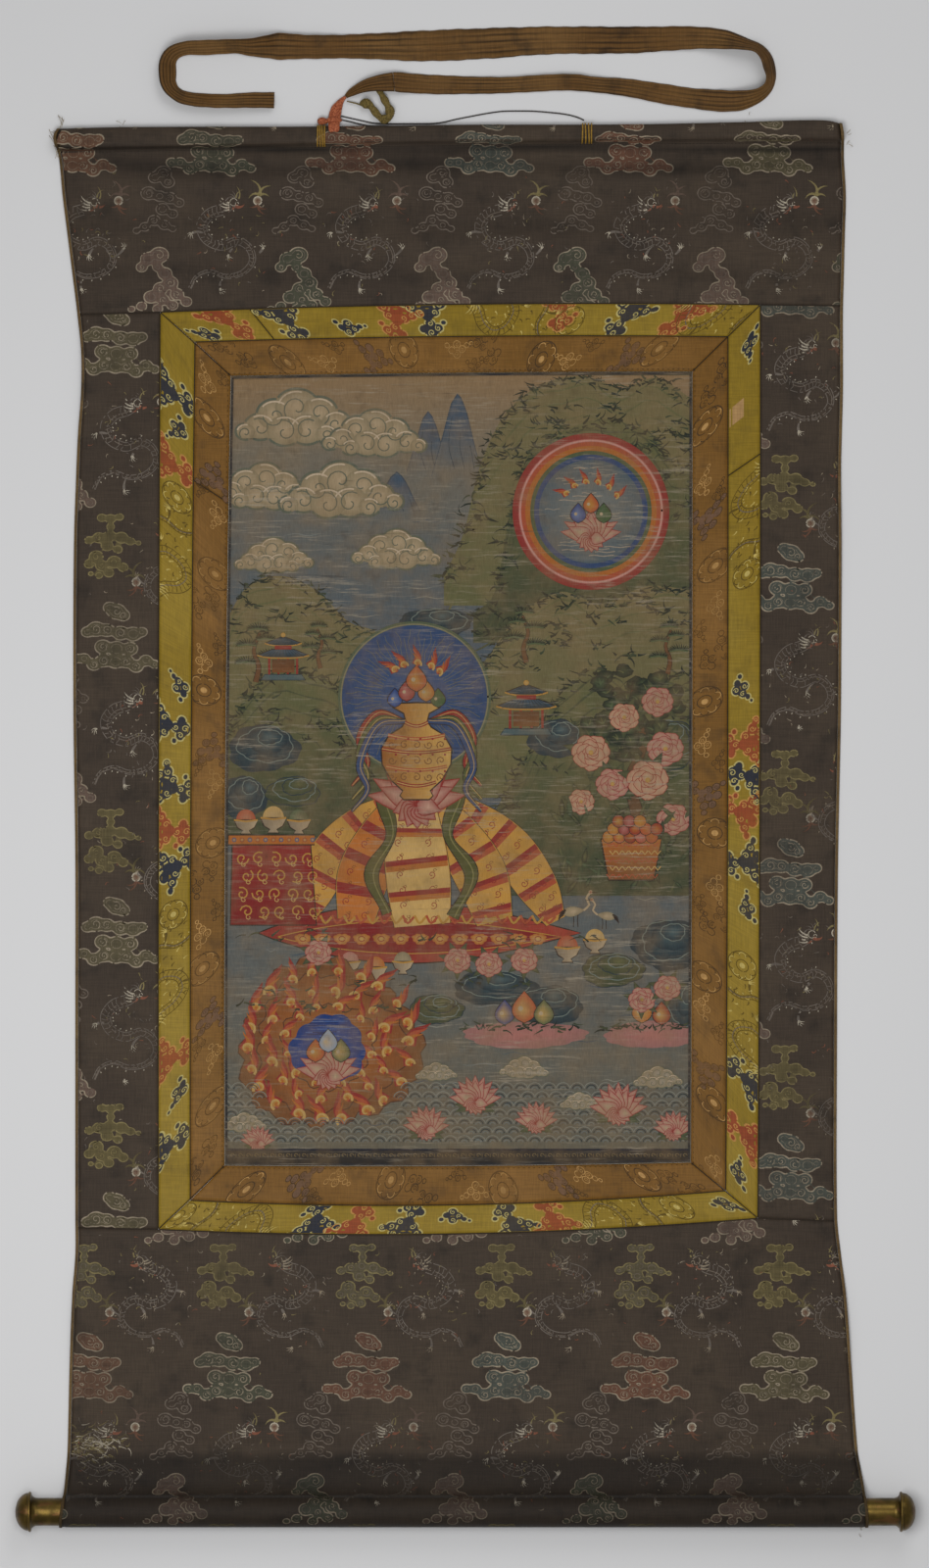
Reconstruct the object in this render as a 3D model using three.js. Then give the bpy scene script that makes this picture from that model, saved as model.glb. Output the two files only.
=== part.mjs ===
// Thangka: a painting on cotton, framed in silk and mounted in brocade between a top bar and a roller.
// It lies face up. Millimetres, X to its right, Y towards the top bar, Z up out of the surface.
import * as THREE from 'three';
import { mergeVertices } from 'three/addons/utils/BufferGeometryUtils.js';

// Driving sizes of the cloth
const CLOTH = 1.3;            // thickness of the lined brocade
const CANVAS = 1.1;           // thickness of the primed cotton
const GAP = 0.3;              // space between pieces that are sewn edge to edge
const BINDING_WIDTH = 3;
const BINDING_PROUD = 0.6;    // how far the binding stands above the brocade

// Driving sizes of the roller and its brass caps
const ROLLER_Y = -746.4;
const KNOB_RADIUS = 20.5;
const NECK_RADIUS = 14.1;
const TENON_RADIUS = 10;
const TENON_LENGTH = 22;
const CAP_TIP = 458;          // centre of the scroll to the tip of a cap
const CAP_MOUTH = 402;        // centre of the scroll to the open end of a cap
const ROUND_SIDES = 28;
const AXIS_Z = KNOB_RADIUS * Math.cos(Math.PI / ROUND_SIDES);   // a flat of each rim is on the surface

// The two outer edges of the cloth, from the top bar down to the roller
const SELVEDGE = [
  { y: 668, left: -413, right: 384 },
  { y: 654, left: -420, right: 386 },
  { y: 634, left: -415, right: 386 },
  { y: 594, left: -411, right: 388 },
  { y: 554, left: -406, right: 387 },
  { y: 514, left: -401, right: 386 },
  { y: 474, left: -396, right: 385 },
  { y: 434, left: -392, right: 385 },
  { y: 394, left: -392, right: 385 },
  { y: 354, left: -395, right: 384 },
  { y: 314, left: -397, right: 383 },
  { y: 234, left: -399.5, right: 383.5 },
  { y: 74, left: -400, right: 383 },
  { y: -86, left: -398, right: 380 },
  { y: -246, left: -398, right: 379 },
  { y: -446, left: -398, right: 379 },
  { y: -486, left: -398, right: 383 },
  { y: -526, left: -401, right: 388 },
  { y: -606, left: -404, right: 394 },
  { y: -686, left: -406, right: 400 },
  { y: -706, left: -407.5, right: 403.5 },
  { y: -728, left: -409.4, right: 407 },
  { y: -760, left: -413.2, right: 409.6 },
  { y: -840, left: -413.4, right: 409.8 },
];

// The far edge of the top bar and the stitched crease below it
const TOP_BAR = [
  { x: -425, edge: 662, crease: 640 },
  { x: -350, edge: 664, crease: 641.2 },
  { x: -150, edge: 664.6, crease: 645.4 },
  { x: 0, edge: 666.4, crease: 647.5 },
  { x: 165, edge: 666.8, crease: 649 },
  { x: 280, edge: 669, crease: 649.8 },
  { x: 368, edge: 671, crease: 650 },
  { x: 390, edge: 666, crease: 650 },
];

// Section of the top bar in its sleeve, from the crease to the far edge
const BAR_DEPTH = 21;
const BAR_SECTION = [
  { deep: 0, under: 0, over: 1.6 },
  { deep: 0.6, under: 0, over: 4.4 },
  { deep: 1.8, under: 0, over: 7.4 },
  { deep: 4, under: 0, over: 9 },
  { deep: 7.5, under: 0, over: 9.5 },
  { deep: 13.5, under: 0, over: 9.5 },
  { deep: 17, under: 0.2, over: 8.9 },
  { deep: 19.2, under: 1, over: 7.8 },
  { deep: 20.5, under: 2.3, over: 6.6 },
  { deep: 21, under: 3.6, over: 5.4 },
];

// The three seams round the painting, from the outside in, and how far each side bows outwards
const SEAMS = [
  {
    topLeft: [-311.6, 475.4], topRight: [300.9, 483],
    bottomRight: [298.3, -449], bottomLeft: [-313.5, -460.3],
    bow: { top: 4.2, right: 1, bottom: 10.2, left: 0.8 },
  },
  {
    topLeft: [-276, 445], topRight: [267.9, 450.4],
    bottomRight: [265.6, -421], bottomLeft: [-280.8, -430.8],
    bow: { top: 3, right: 0.8, bottom: 9.5, left: 1.6 },
  },
  {
    topLeft: [-239.3, 410.2], topRight: [231.3, 414.7],
    bottomRight: [229.7, -392], bottomLeft: [-245.6, -395],
    bow: { top: 1, right: 0.5, bottom: 2, left: 2.4 },
  },
];
const SIDES = {
  top: ['topLeft', 'topRight'],
  right: ['topRight', 'bottomRight'],
  bottom: ['bottomRight', 'bottomLeft'],
  left: ['bottomLeft', 'topLeft'],
};

// Where a strip is pieced from two lengths, as a share of its side
const PIECED = { yellow_top: 0.149, yellow_right: 0.163, orange_left: 0.839 };

// Where the seams of the side panels meet the outer edges
const SIDE_SEAMS = { topLeft: 473, topRight: 482, bottomLeft: -459, bottomRight: -452 };

// Soft folds across the cloth: a long low ridge each
const FOLDS = [
  { from: -400, to: 380, y: 611, slope: 0.012, bow: 0, height: 2.2, reach: 16 },
  { from: 190, to: 372, y: 612, slope: 0, bow: 3, height: 1.6, reach: 13 },
  { from: -90, to: 190, y: 547, slope: 0.005, bow: 0, height: 1.8, reach: 17 },
  { from: 95, to: 330, y: 499, slope: 0, bow: 7, height: 1.6, reach: 12 },
  { from: 215, to: 372, y: -473, slope: 0.06, bow: 0, height: 1.4, reach: 8 },
  { from: -380, to: 370, y: -668, slope: 0, bow: 0, height: 1.2, reach: 16 },
];

// Places where an outer edge lifts off the surface
const EDGE_LIFTS = [
  { side: 'left', y: 400, length: 110, height: 3, inward: 60 },
  { side: 'left', y: -560, length: 90, height: 2.4, inward: 70 },
  { side: 'right', y: 250, length: 120, height: 2.2, inward: 50 },
  { side: 'right', y: -560, length: 80, height: 3.4, inward: 60 },
];

// The lower sleeve: where the cloth leaves the surface and how it goes round the roller
const SLEEVE_INNER = NECK_RADIUS + GAP;
const SLEEVE_RISE = 46;       // length along the surface over which the cloth climbs to the roller
const SLEEVE_EASE = 18;       // how far the climb stays low
const SLEEVE_TURN = 300;      // degrees round the roller
const SLEEVE_TAIL = 9.5;      // straight end that is sewn to the back of the cloth

const palette = {
  brocade: new THREE.MeshStandardMaterial({ color: 0x40362f, roughness: 0.62 }),
  yellow: new THREE.MeshStandardMaterial({ color: 0x7a6420, roughness: 0.55 }),
  orange: new THREE.MeshStandardMaterial({ color: 0x70502a, roughness: 0.6 }),
  canvas: new THREE.MeshStandardMaterial({ color: 0x4f5c4a, roughness: 0.85 }),
  binding: new THREE.MeshStandardMaterial({ color: 0x54422c, roughness: 0.7 }),
  wood: new THREE.MeshStandardMaterial({ color: 0x7a5a3c, roughness: 0.7 }),
  brass: new THREE.MeshStandardMaterial({ color: 0x7d6a3a, roughness: 0.35, metalness: 1 }),
  ribbon: new THREE.MeshStandardMaterial({ color: 0x5f452e, roughness: 0.6 }),
  wrapping: new THREE.MeshStandardMaterial({ color: 0x9a5238, roughness: 0.6 }),
  olive: new THREE.MeshStandardMaterial({ color: 0x5c512a, roughness: 0.8 }),
  lashing: new THREE.MeshStandardMaterial({ color: 0x8a6c28, roughness: 0.6 }),
  cord: new THREE.MeshStandardMaterial({ color: 0x2b2724, roughness: 0.7 }),
};

const scroll = new THREE.Group();

// Value of a table's column, smooth between its rows, which run along the column named by
function read(table, by, column, at) {
  const down = table[0][by] > table[table.length - 1][by] ? -1 : 1;
  let k = 0;
  while (k < table.length - 2 && (at - table[k + 1][by]) * down > 0) k += 1;
  const a = table[k];
  const b = table[k + 1];
  const before = table[Math.max(k - 1, 0)];
  const after = table[Math.min(k + 2, table.length - 1)];
  const t = THREE.MathUtils.clamp((at - a[by]) / (b[by] - a[by]), 0, 1);
  const span = b[by] - a[by];
  const startSlope = (b[column] - before[column]) / (b[by] - before[by] || span);
  const endSlope = (after[column] - a[column]) / (after[by] - a[by] || span);
  return hermite(a[column], b[column], startSlope * span, endSlope * span, t);
}

function hermite(a, b, startSlope, endSlope, t) {
  const t2 = t * t;
  const t3 = t2 * t;
  const places = a * (2 * t3 - 3 * t2 + 1) + b * (3 * t2 - 2 * t3);
  const slopes = startSlope * (t3 - 2 * t2 + t) + endSlope * (t3 - t2);
  return places + slopes;
}

function smooth(t) {
  const u = THREE.MathUtils.clamp(t, 0, 1);
  return u * u * (3 - 2 * u);
}

// A closed mesh from positions and triangles, turned so that its faces point out
function solid(name, material, positions, triangles) {
  let geometry = new THREE.BufferGeometry();
  geometry.setAttribute('position', new THREE.Float32BufferAttribute(positions, 3));
  let volume = 0;
  const corner = (k) => new THREE.Vector3().fromArray(positions, 3 * k);
  for (let k = 0; k < triangles.length; k += 3) {
    const [a, b, c] = [corner(triangles[k]), corner(triangles[k + 1]), corner(triangles[k + 2])];
    volume += a.dot(b.cross(c));
  }
  geometry.setIndex(volume < 0 ? [...triangles].reverse() : triangles);
  geometry = mergeVertices(geometry, 1e-4);
  geometry.computeVertexNormals();
  const mesh = new THREE.Mesh(geometry, material);
  mesh.name = name;
  scroll.add(mesh);
  return mesh;
}

// A solid from one of the library's own shapes, its doubled points joined
function welded(name, material, geometry) {
  geometry.deleteAttribute('normal');
  geometry.deleteAttribute('uv');
  const merged = mergeVertices(geometry, 1e-3);
  const triangles = [];
  const index = merged.index.array;
  for (let k = 0; k < index.length; k += 3) {
    const [a, b, c] = [index[k], index[k + 1], index[k + 2]];
    if (a !== b && b !== c && a !== c) triangles.push(a, b, c);
  }
  return solid(name, material, Array.from(merged.attributes.position.array), triangles);
}

// A sheet: rows of cells, each with a point on its low face and one on its high face
function sheet(name, material, rows) {
  const across = rows[0].length;
  const layer = rows.length * across;
  const positions = [];
  for (const face of ['low', 'high']) {
    for (const cell of rows.flat()) positions.push(cell[face].x, cell[face].y, cell[face].z);
  }
  const triangles = [];
  const quad = (a, b, c, d) => triangles.push(a, b, c, a, c, d);
  const rim = [];
  for (let j = 0; j < rows.length - 1; j += 1) {
    for (let i = 0; i < across - 1; i += 1) {
      const a = j * across + i;
      quad(a, a + across, a + across + 1, a + 1);
      quad(layer + a, layer + a + 1, layer + a + across + 1, layer + a + across);
    }
  }
  for (let i = 0; i < across - 1; i += 1) rim.push(i);
  for (let j = 0; j < rows.length - 1; j += 1) rim.push(j * across + across - 1);
  for (let i = across - 1; i > 0; i -= 1) rim.push((rows.length - 1) * across + i);
  for (let j = rows.length - 1; j > 0; j -= 1) rim.push(j * across);
  rim.forEach((a, k) => {
    const b = rim[(k + 1) % rim.length];
    quad(a, b, layer + b, layer + a);
  });
  return solid(name, material, positions, triangles);
}

// A sweep of oval rings along stations, closed at both ends
function sweep(name, material, stations, sides) {
  const curve = new THREE.CatmullRomCurve3(stations.map((s) => new THREE.Vector3(s.x, s.y, s.z)));
  const positions = [];
  const triangles = [];
  stations.forEach((station, j) => {
    const along = curve.getTangent(j / (stations.length - 1));
    const across = new THREE.Vector3(0, 0, 1).cross(along).normalize();
    const up = along.clone().cross(across);
    for (let k = 0; k < sides; k += 1) {
      const angle = (k / sides) * 2 * Math.PI;
      const point = new THREE.Vector3(station.x, station.y, station.z)
        .addScaledVector(across, station.wide * Math.cos(angle))
        .addScaledVector(up, station.tall * Math.sin(angle));
      positions.push(point.x, point.y, point.z);
    }
  });
  const last = (stations.length - 1) * sides;
  for (let k = 0; k < sides; k += 1) {
    const next = (k + 1) % sides;
    for (let j = 0; j < stations.length - 1; j += 1) {
      const a = j * sides;
      triangles.push(a + k, a + next, a + sides + next, a + k, a + sides + next, a + sides + k);
    }
    if (k > 0 && next > 0) triangles.push(0, next, k, last, last + k, last + next);
  }
  return solid(name, material, positions, triangles);
}

// Height of the underside of the cloth over the surface
function rest(x, y) {
  let height = 0;
  for (const fold of FOLDS) {
    const middle = (fold.from + fold.to) / 2;
    const half = (fold.to - fold.from) / 2;
    const share = (x - middle) / half;
    const crest = fold.y + fold.slope * (x - middle) + fold.bow * (1 - share * share);
    const away = Math.abs(y - crest) / fold.reach;
    if (Math.abs(share) < 1 && away < 1) {
      const fade = smooth((1 - Math.abs(share)) * 3);
      height += fold.height * fade * Math.cos((away * Math.PI) / 2) ** 2;
    }
  }
  for (const lift of EDGE_LIFTS) {
    const edge = read(SELVEDGE, 'y', lift.side, y);
    const inward = lift.side === 'left' ? x - edge : edge - x;
    const along = Math.abs(y - lift.y) / lift.length;
    if (along < 1) {
      height += lift.height * Math.cos((along * Math.PI) / 2) ** 2 * smooth(1 - inward / lift.inward);
    }
  }
  return height;
}

// Middle line of the cloth beyond the surface: up to the roller, round it, and back to the crease
const middleRadius = SLEEVE_INNER + CLOTH / 2;
const climb = new THREE.CubicBezierCurve(
  new THREE.Vector2(ROLLER_Y + middleRadius + SLEEVE_RISE, CLOTH / 2),
  new THREE.Vector2(ROLLER_Y + middleRadius + SLEEVE_EASE, CLOTH / 2),
  new THREE.Vector2(ROLLER_Y + middleRadius, AXIS_Z / 4),
  new THREE.Vector2(ROLLER_Y + middleRadius, AXIS_Z),
);
const SLEEVE_START = ROLLER_Y + middleRadius + SLEEVE_RISE;

function sleeveLine() {
  const line = [];
  const climbSteps = 7;
  const turnSteps = 18;
  for (let k = 1; k <= climbSteps; k += 1) {
    const t = k / climbSteps;
    const along = climb.getTangent(t);
    line.push({ point: climb.getPoint(t), normal: new THREE.Vector2(along.y, -along.x) });
  }
  for (let k = 1; k <= turnSteps; k += 1) {
    const angle = THREE.MathUtils.degToRad((SLEEVE_TURN * k) / turnSteps);
    const normal = new THREE.Vector2(Math.cos(angle), Math.sin(angle));
    const centre = new THREE.Vector2(ROLLER_Y, AXIS_Z);
    line.push({ point: centre.addScaledVector(normal, middleRadius), normal });
  }
  const end = line[line.length - 1];
  const tail = new THREE.Vector2(-end.normal.y, end.normal.x);
  line.push({ point: end.point.clone().addScaledVector(tail, SLEEVE_TAIL), normal: end.normal });
  return line;
}

// Where the bar's sleeve lies at a share of its depth
function barSection(share) {
  const rows = BAR_SECTION.map((row) => ({ ...row, share: row.deep / BAR_DEPTH }));
  const under = Math.max(read(rows, 'share', 'under', share), 0);
  return { under, over: read(rows, 'share', 'over', share) };
}

// The low and high point of the cloth over a place in plan, on the surface or on the top bar
function laid(x, y, thickness, proud = 0) {
  const crease = read(TOP_BAR, 'x', 'crease', x);
  const edge = read(TOP_BAR, 'x', 'edge', x);
  let under = rest(x, y);
  let over = under + thickness;
  if (y > crease) {
    const section = barSection((y - crease) / (edge - crease));
    under = section.under;
    over = section.over;
  }
  return { low: new THREE.Vector3(x, y, under), high: new THREE.Vector3(x, y, over + proud) };
}

// A closed outline in plan, moved inwards by half the gap, so that neighbours stay apart
function offsetLoop(outline) {
  const turn = Math.sign(THREE.ShapeUtils.area(outline));
  const inside = (a, b) => {
    const edge = b.clone().sub(a).normalize();
    return new THREE.Vector2(-edge.y, edge.x).multiplyScalar(turn);
  };
  return outline.map((point, k) => {
    const before = inside(outline[(k + outline.length - 1) % outline.length], point);
    const after = inside(point, outline[(k + 1) % outline.length]);
    return point.clone().addScaledVector(before.clone().add(after), GAP / 2 / (1 + before.dot(after)));
  });
}

// A grid of plan points with its outline moved in
function drawIn(rows) {
  const across = rows[0].length;
  const loop = [];
  for (let i = 0; i < across - 1; i += 1) loop.push([0, i]);
  for (let j = 0; j < rows.length - 1; j += 1) loop.push([j, across - 1]);
  for (let i = across - 1; i > 0; i -= 1) loop.push([rows.length - 1, i]);
  for (let j = rows.length - 1; j > 0; j -= 1) loop.push([j, 0]);
  const moved = offsetLoop(loop.map(([j, i]) => rows[j][i]));
  loop.forEach(([j, i], k) => rows[j][i].copy(moved[k]));
  return rows;
}

// A point on one side of a seam, at a share of its length
function onSeam(seam, side, share) {
  const [from, to] = SIDES[side].map((corner) => new THREE.Vector2(...SEAMS[seam][corner]));
  const line = to.clone().sub(from);
  const outwards = new THREE.Vector2(-line.y, line.x).normalize();
  const bow = SEAMS[seam].bow[side] * 4 * share * (1 - share);
  return from.addScaledVector(line, share).addScaledVector(outwards, bow);
}

const PLACES = { top: 12, right: 20, bottom: 12, left: 20 };

function places(side, from = 0, to = 1) {
  const shares = [from];
  for (let k = 0; k <= PLACES[side]; k += 1) {
    const share = k / PLACES[side];
    if (share > from && share < to) shares.push(share);
  }
  shares.push(to);
  return shares;
}

// One strip of a frame between two seams, mitred at the corners
function strip(name, material, side, seam, from = 0, to = 1) {
  const outer = places(side, from, to).map((share) => onSeam(seam, side, share));
  const inner = places(side, from, to).map((share) => onSeam(seam + 1, side, share));
  const middle = outer.map((point, k) => point.clone().lerp(inner[k], 0.5));
  const plan = drawIn([outer, middle, inner]);
  sheet(name, material, plan.map((row) => row.map((p) => laid(p.x, p.y, CLOTH))));
}

function frames() {
  [['yellow', 0], ['orange', 1]].forEach(([colour, seam]) => {
    Object.keys(SIDES).forEach((side) => {
      const name = `${colour}_${side}`;
      const cut = PIECED[name];
      if (cut) {
        strip(`${name}_1`, palette[colour], side, seam, 0, cut);
        strip(`${name}_2`, palette[colour], side, seam, cut, 1);
      } else {
        strip(name, palette[colour], side, seam);
      }
    });
  });
}

// The painted cotton lies flat inside the innermost seam
function painting() {
  const inner = SEAMS.length - 1;
  const along = (side) => places(side).slice(1).map((share) => onSeam(inner, side, share));
  const outline = Object.keys(SIDES).flatMap(along);
  const shape = new THREE.Shape(offsetLoop(outline));
  const plate = new THREE.ExtrudeGeometry(shape, { depth: CANVAS, bevelEnabled: false });
  welded('canvas', palette.canvas, plate);
}

function inset(side, y) {
  return read(SELVEDGE, 'y', side, y) + (side === 'left' ? BINDING_WIDTH : -BINDING_WIDTH);
}

// Columns of the top and bottom panels: the plan points of the seam below or above them
function seamColumns(side) {
  const corners = side === 'top' ? ['topLeft', 'topRight'] : ['bottomLeft', 'bottomRight'];
  const [left, right] = corners.map((corner) => new THREE.Vector2(...SEAMS[0][corner]));
  const start = new THREE.Vector2(inset('left', SIDE_SEAMS[corners[0]]), SIDE_SEAMS[corners[0]]);
  const end = new THREE.Vector2(inset('right', SIDE_SEAMS[corners[1]]), SIDE_SEAMS[corners[1]]);
  const shares = places(side);
  const middle = shares.map((share) => onSeam(0, side, side === 'top' ? share : 1 - share));
  return [start, start.clone().lerp(left, 0.5), ...middle, right.clone().lerp(end, 0.5), end];
}

// A plan point at a share of the cloth's width
function acrossPanel(share, y) {
  return new THREE.Vector2(THREE.MathUtils.lerp(inset('left', y), inset('right', y), share), y);
}

function widthShares(columns) {
  return columns.map((p) => (p.x - inset('left', p.y)) / (inset('right', p.y) - inset('left', p.y)));
}

// Levels of one column of the top panel, from the seam up to the crease and over the bar
const TOP_STEPS = 16;
function topLevels(x, seam) {
  const crease = read(TOP_BAR, 'x', 'crease', x);
  const edge = read(TOP_BAR, 'x', 'edge', x);
  const levels = [];
  for (let j = 0; j <= TOP_STEPS; j += 1) {
    levels.push(THREE.MathUtils.lerp(seam, crease, j / TOP_STEPS));
  }
  for (const row of BAR_SECTION.slice(1)) {
    levels.push(THREE.MathUtils.lerp(crease, edge, row.deep / BAR_DEPTH));
  }
  return levels;
}

const BOTTOM_STEPS = 14;
function bottomLevels(seam) {
  const levels = [];
  for (let j = 0; j <= BOTTOM_STEPS; j += 1) {
    levels.push(THREE.MathUtils.lerp(seam, SLEEVE_START, j / BOTTOM_STEPS));
  }
  return levels;
}

function sideLevels(side) {
  const [upper, lower] = side === 'left' ? ['topLeft', 'bottomLeft'] : ['topRight', 'bottomRight'];
  const downs = places(side).map((share) => (side === 'left' ? 1 - share : share)).sort((a, b) => a - b);
  return downs.map((down) => THREE.MathUtils.lerp(SIDE_SEAMS[upper], SIDE_SEAMS[lower], down));
}

function topPanel() {
  const columns = seamColumns('top');
  const shares = widthShares(columns);
  const barY = TOP_BAR[0].crease;
  const levels = columns.map((p, i) => topLevels(acrossPanel(shares[i], barY).x, p.y));
  const rows = levels[0].map((_, j) => columns.map((p, i) => acrossPanel(shares[i], levels[i][j])));
  const plan = drawIn(rows);
  sheet('panel_top', palette.brocade, plan.map((row) => row.map((p) => laid(p.x, p.y, CLOTH))));
}

function sidePanel(side) {
  const levels = sideLevels(side);
  const shares = places(side);
  const seam = (side === 'left' ? [...shares].reverse() : shares).map((share) => onSeam(0, side, share));
  const rows = levels.map((y, j) => {
    const outer = new THREE.Vector2(inset(side, y), y);
    return [0, 0.3, 0.65, 1].map((k) => outer.clone().lerp(seam[j], k));
  });
  sheet(`panel_${side}`, palette.brocade, drawIn(rows).map((row) => row.map((p) => laid(p.x, p.y, CLOTH))));
}

// Cells of the lower sleeve at one place across the cloth
function sleeveCells(xAt, proud) {
  return sleeveLine().map(({ point, normal }) => {
    const x = xAt(point.x);
    const low = point.clone().addScaledVector(normal, -CLOTH / 2);
    const high = point.clone().addScaledVector(normal, CLOTH / 2 + proud);
    return { low: new THREE.Vector3(x, low.x, low.y), high: new THREE.Vector3(x, high.x, high.y) };
  });
}

function bottomPanel() {
  const columns = seamColumns('bottom');
  const shares = widthShares(columns);
  const levels = columns.map((p) => bottomLevels(p.y));
  const rows = levels[0].map((_, j) => columns.map((p, i) => acrossPanel(shares[i], levels[i][j])));
  const flat = drawIn(rows).map((row) => row.map((p) => laid(p.x, p.y, CLOTH)));
  const turned = shares.map((share) => {
    const width = (y) => inset('right', y) - inset('left', y) - GAP;
    return sleeveCells((y) => inset('left', y) + GAP / 2 + share * width(y), 0);
  });
  for (let k = 0; k < turned[0].length; k += 1) flat.push(turned.map((column) => column[k]));
  sheet('panel_bottom', palette.brocade, flat);
}

// The narrow binding along an outer edge, over the bar's end, down the edge and round the roller
function binding(side) {
  const inwards = side === 'left' ? 1 : -1;
  const [upper, lower] = side === 'left' ? ['topLeft', 'bottomLeft'] : ['topRight', 'bottomRight'];
  const widths = [0, BINDING_WIDTH - GAP / 2];
  const edgeAt = (y) => read(SELVEDGE, 'y', side, y);
  const levels = [
    ...topLevels(inset(side, TOP_BAR[0].crease), SIDE_SEAMS[upper]).reverse().slice(0, -1),
    ...sideLevels(side).slice(0, -1),
    ...bottomLevels(SIDE_SEAMS[lower]),
  ];
  const rows = levels.map((y) => widths.map((w) => laid(edgeAt(y) + inwards * w, y, CLOTH, BINDING_PROUD)));
  const turned = widths.map((w) => sleeveCells((y) => edgeAt(y) + inwards * w, BINDING_PROUD));
  for (let k = 0; k < turned[0].length; k += 1) rows.push(turned.map((column) => column[k]));
  sheet(`binding_${side}`, palette.binding, rows);
}

// A turned piece from radius and length pairs, lying along X
function turned(name, material, profile, flip = 1) {
  const points = profile.map(([radius, along]) => new THREE.Vector2(radius, along));
  const lathe = new THREE.LatheGeometry(points, ROUND_SIDES, Math.PI / ROUND_SIDES);
  lathe.rotateZ((-flip * Math.PI) / 2);
  lathe.translate(0, ROLLER_Y, AXIS_Z);
  return welded(name, material, lathe);
}

// The wooden roller, with a tenon at each end that goes into a brass cap
function roller() {
  const shoulder = CAP_MOUTH - GAP;
  const end = shoulder + TENON_LENGTH;
  turned('roller', palette.wood, [
    [0, -end], [TENON_RADIUS, -end], [TENON_RADIUS, -shoulder], [NECK_RADIUS, -shoulder],
    [NECK_RADIUS, shoulder], [TENON_RADIUS, shoulder], [TENON_RADIUS, end], [0, end],
  ]);
}

// A brass cap: a neck over the tenon, a hollow shoulder, a thin rim and a low dome
function cap(name, flip) {
  const rim = CAP_TIP - 15.4;
  const depth = CAP_MOUTH + TENON_LENGTH + 2 * GAP;
  const bore = TENON_RADIUS + GAP;
  const profile = [
    [0, depth], [bore, depth], [bore, CAP_MOUTH], [NECK_RADIUS, CAP_MOUTH], [NECK_RADIUS, rim - 6.4],
    [NECK_RADIUS + 0.7, rim - 4], [NECK_RADIUS + 2.6, rim - 2], [KNOB_RADIUS - 1.2, rim - 0.9],
    [KNOB_RADIUS, rim], [KNOB_RADIUS, rim + 1.2], [KNOB_RADIUS - 0.9, rim + 1.8],
  ];
  const domeSteps = 6;
  const domeFoot = rim + 1.8;
  for (let k = 1; k <= domeSteps; k += 1) {
    const angle = (k / domeSteps) * (Math.PI / 2);
    profile.push([(KNOB_RADIUS - 0.9) * Math.cos(angle), domeFoot + (CAP_TIP - domeFoot) * Math.sin(angle)]);
  }
  profile[profile.length - 1][0] = 0;
  turned(name, palette.brass, profile, flip);
}

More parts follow.
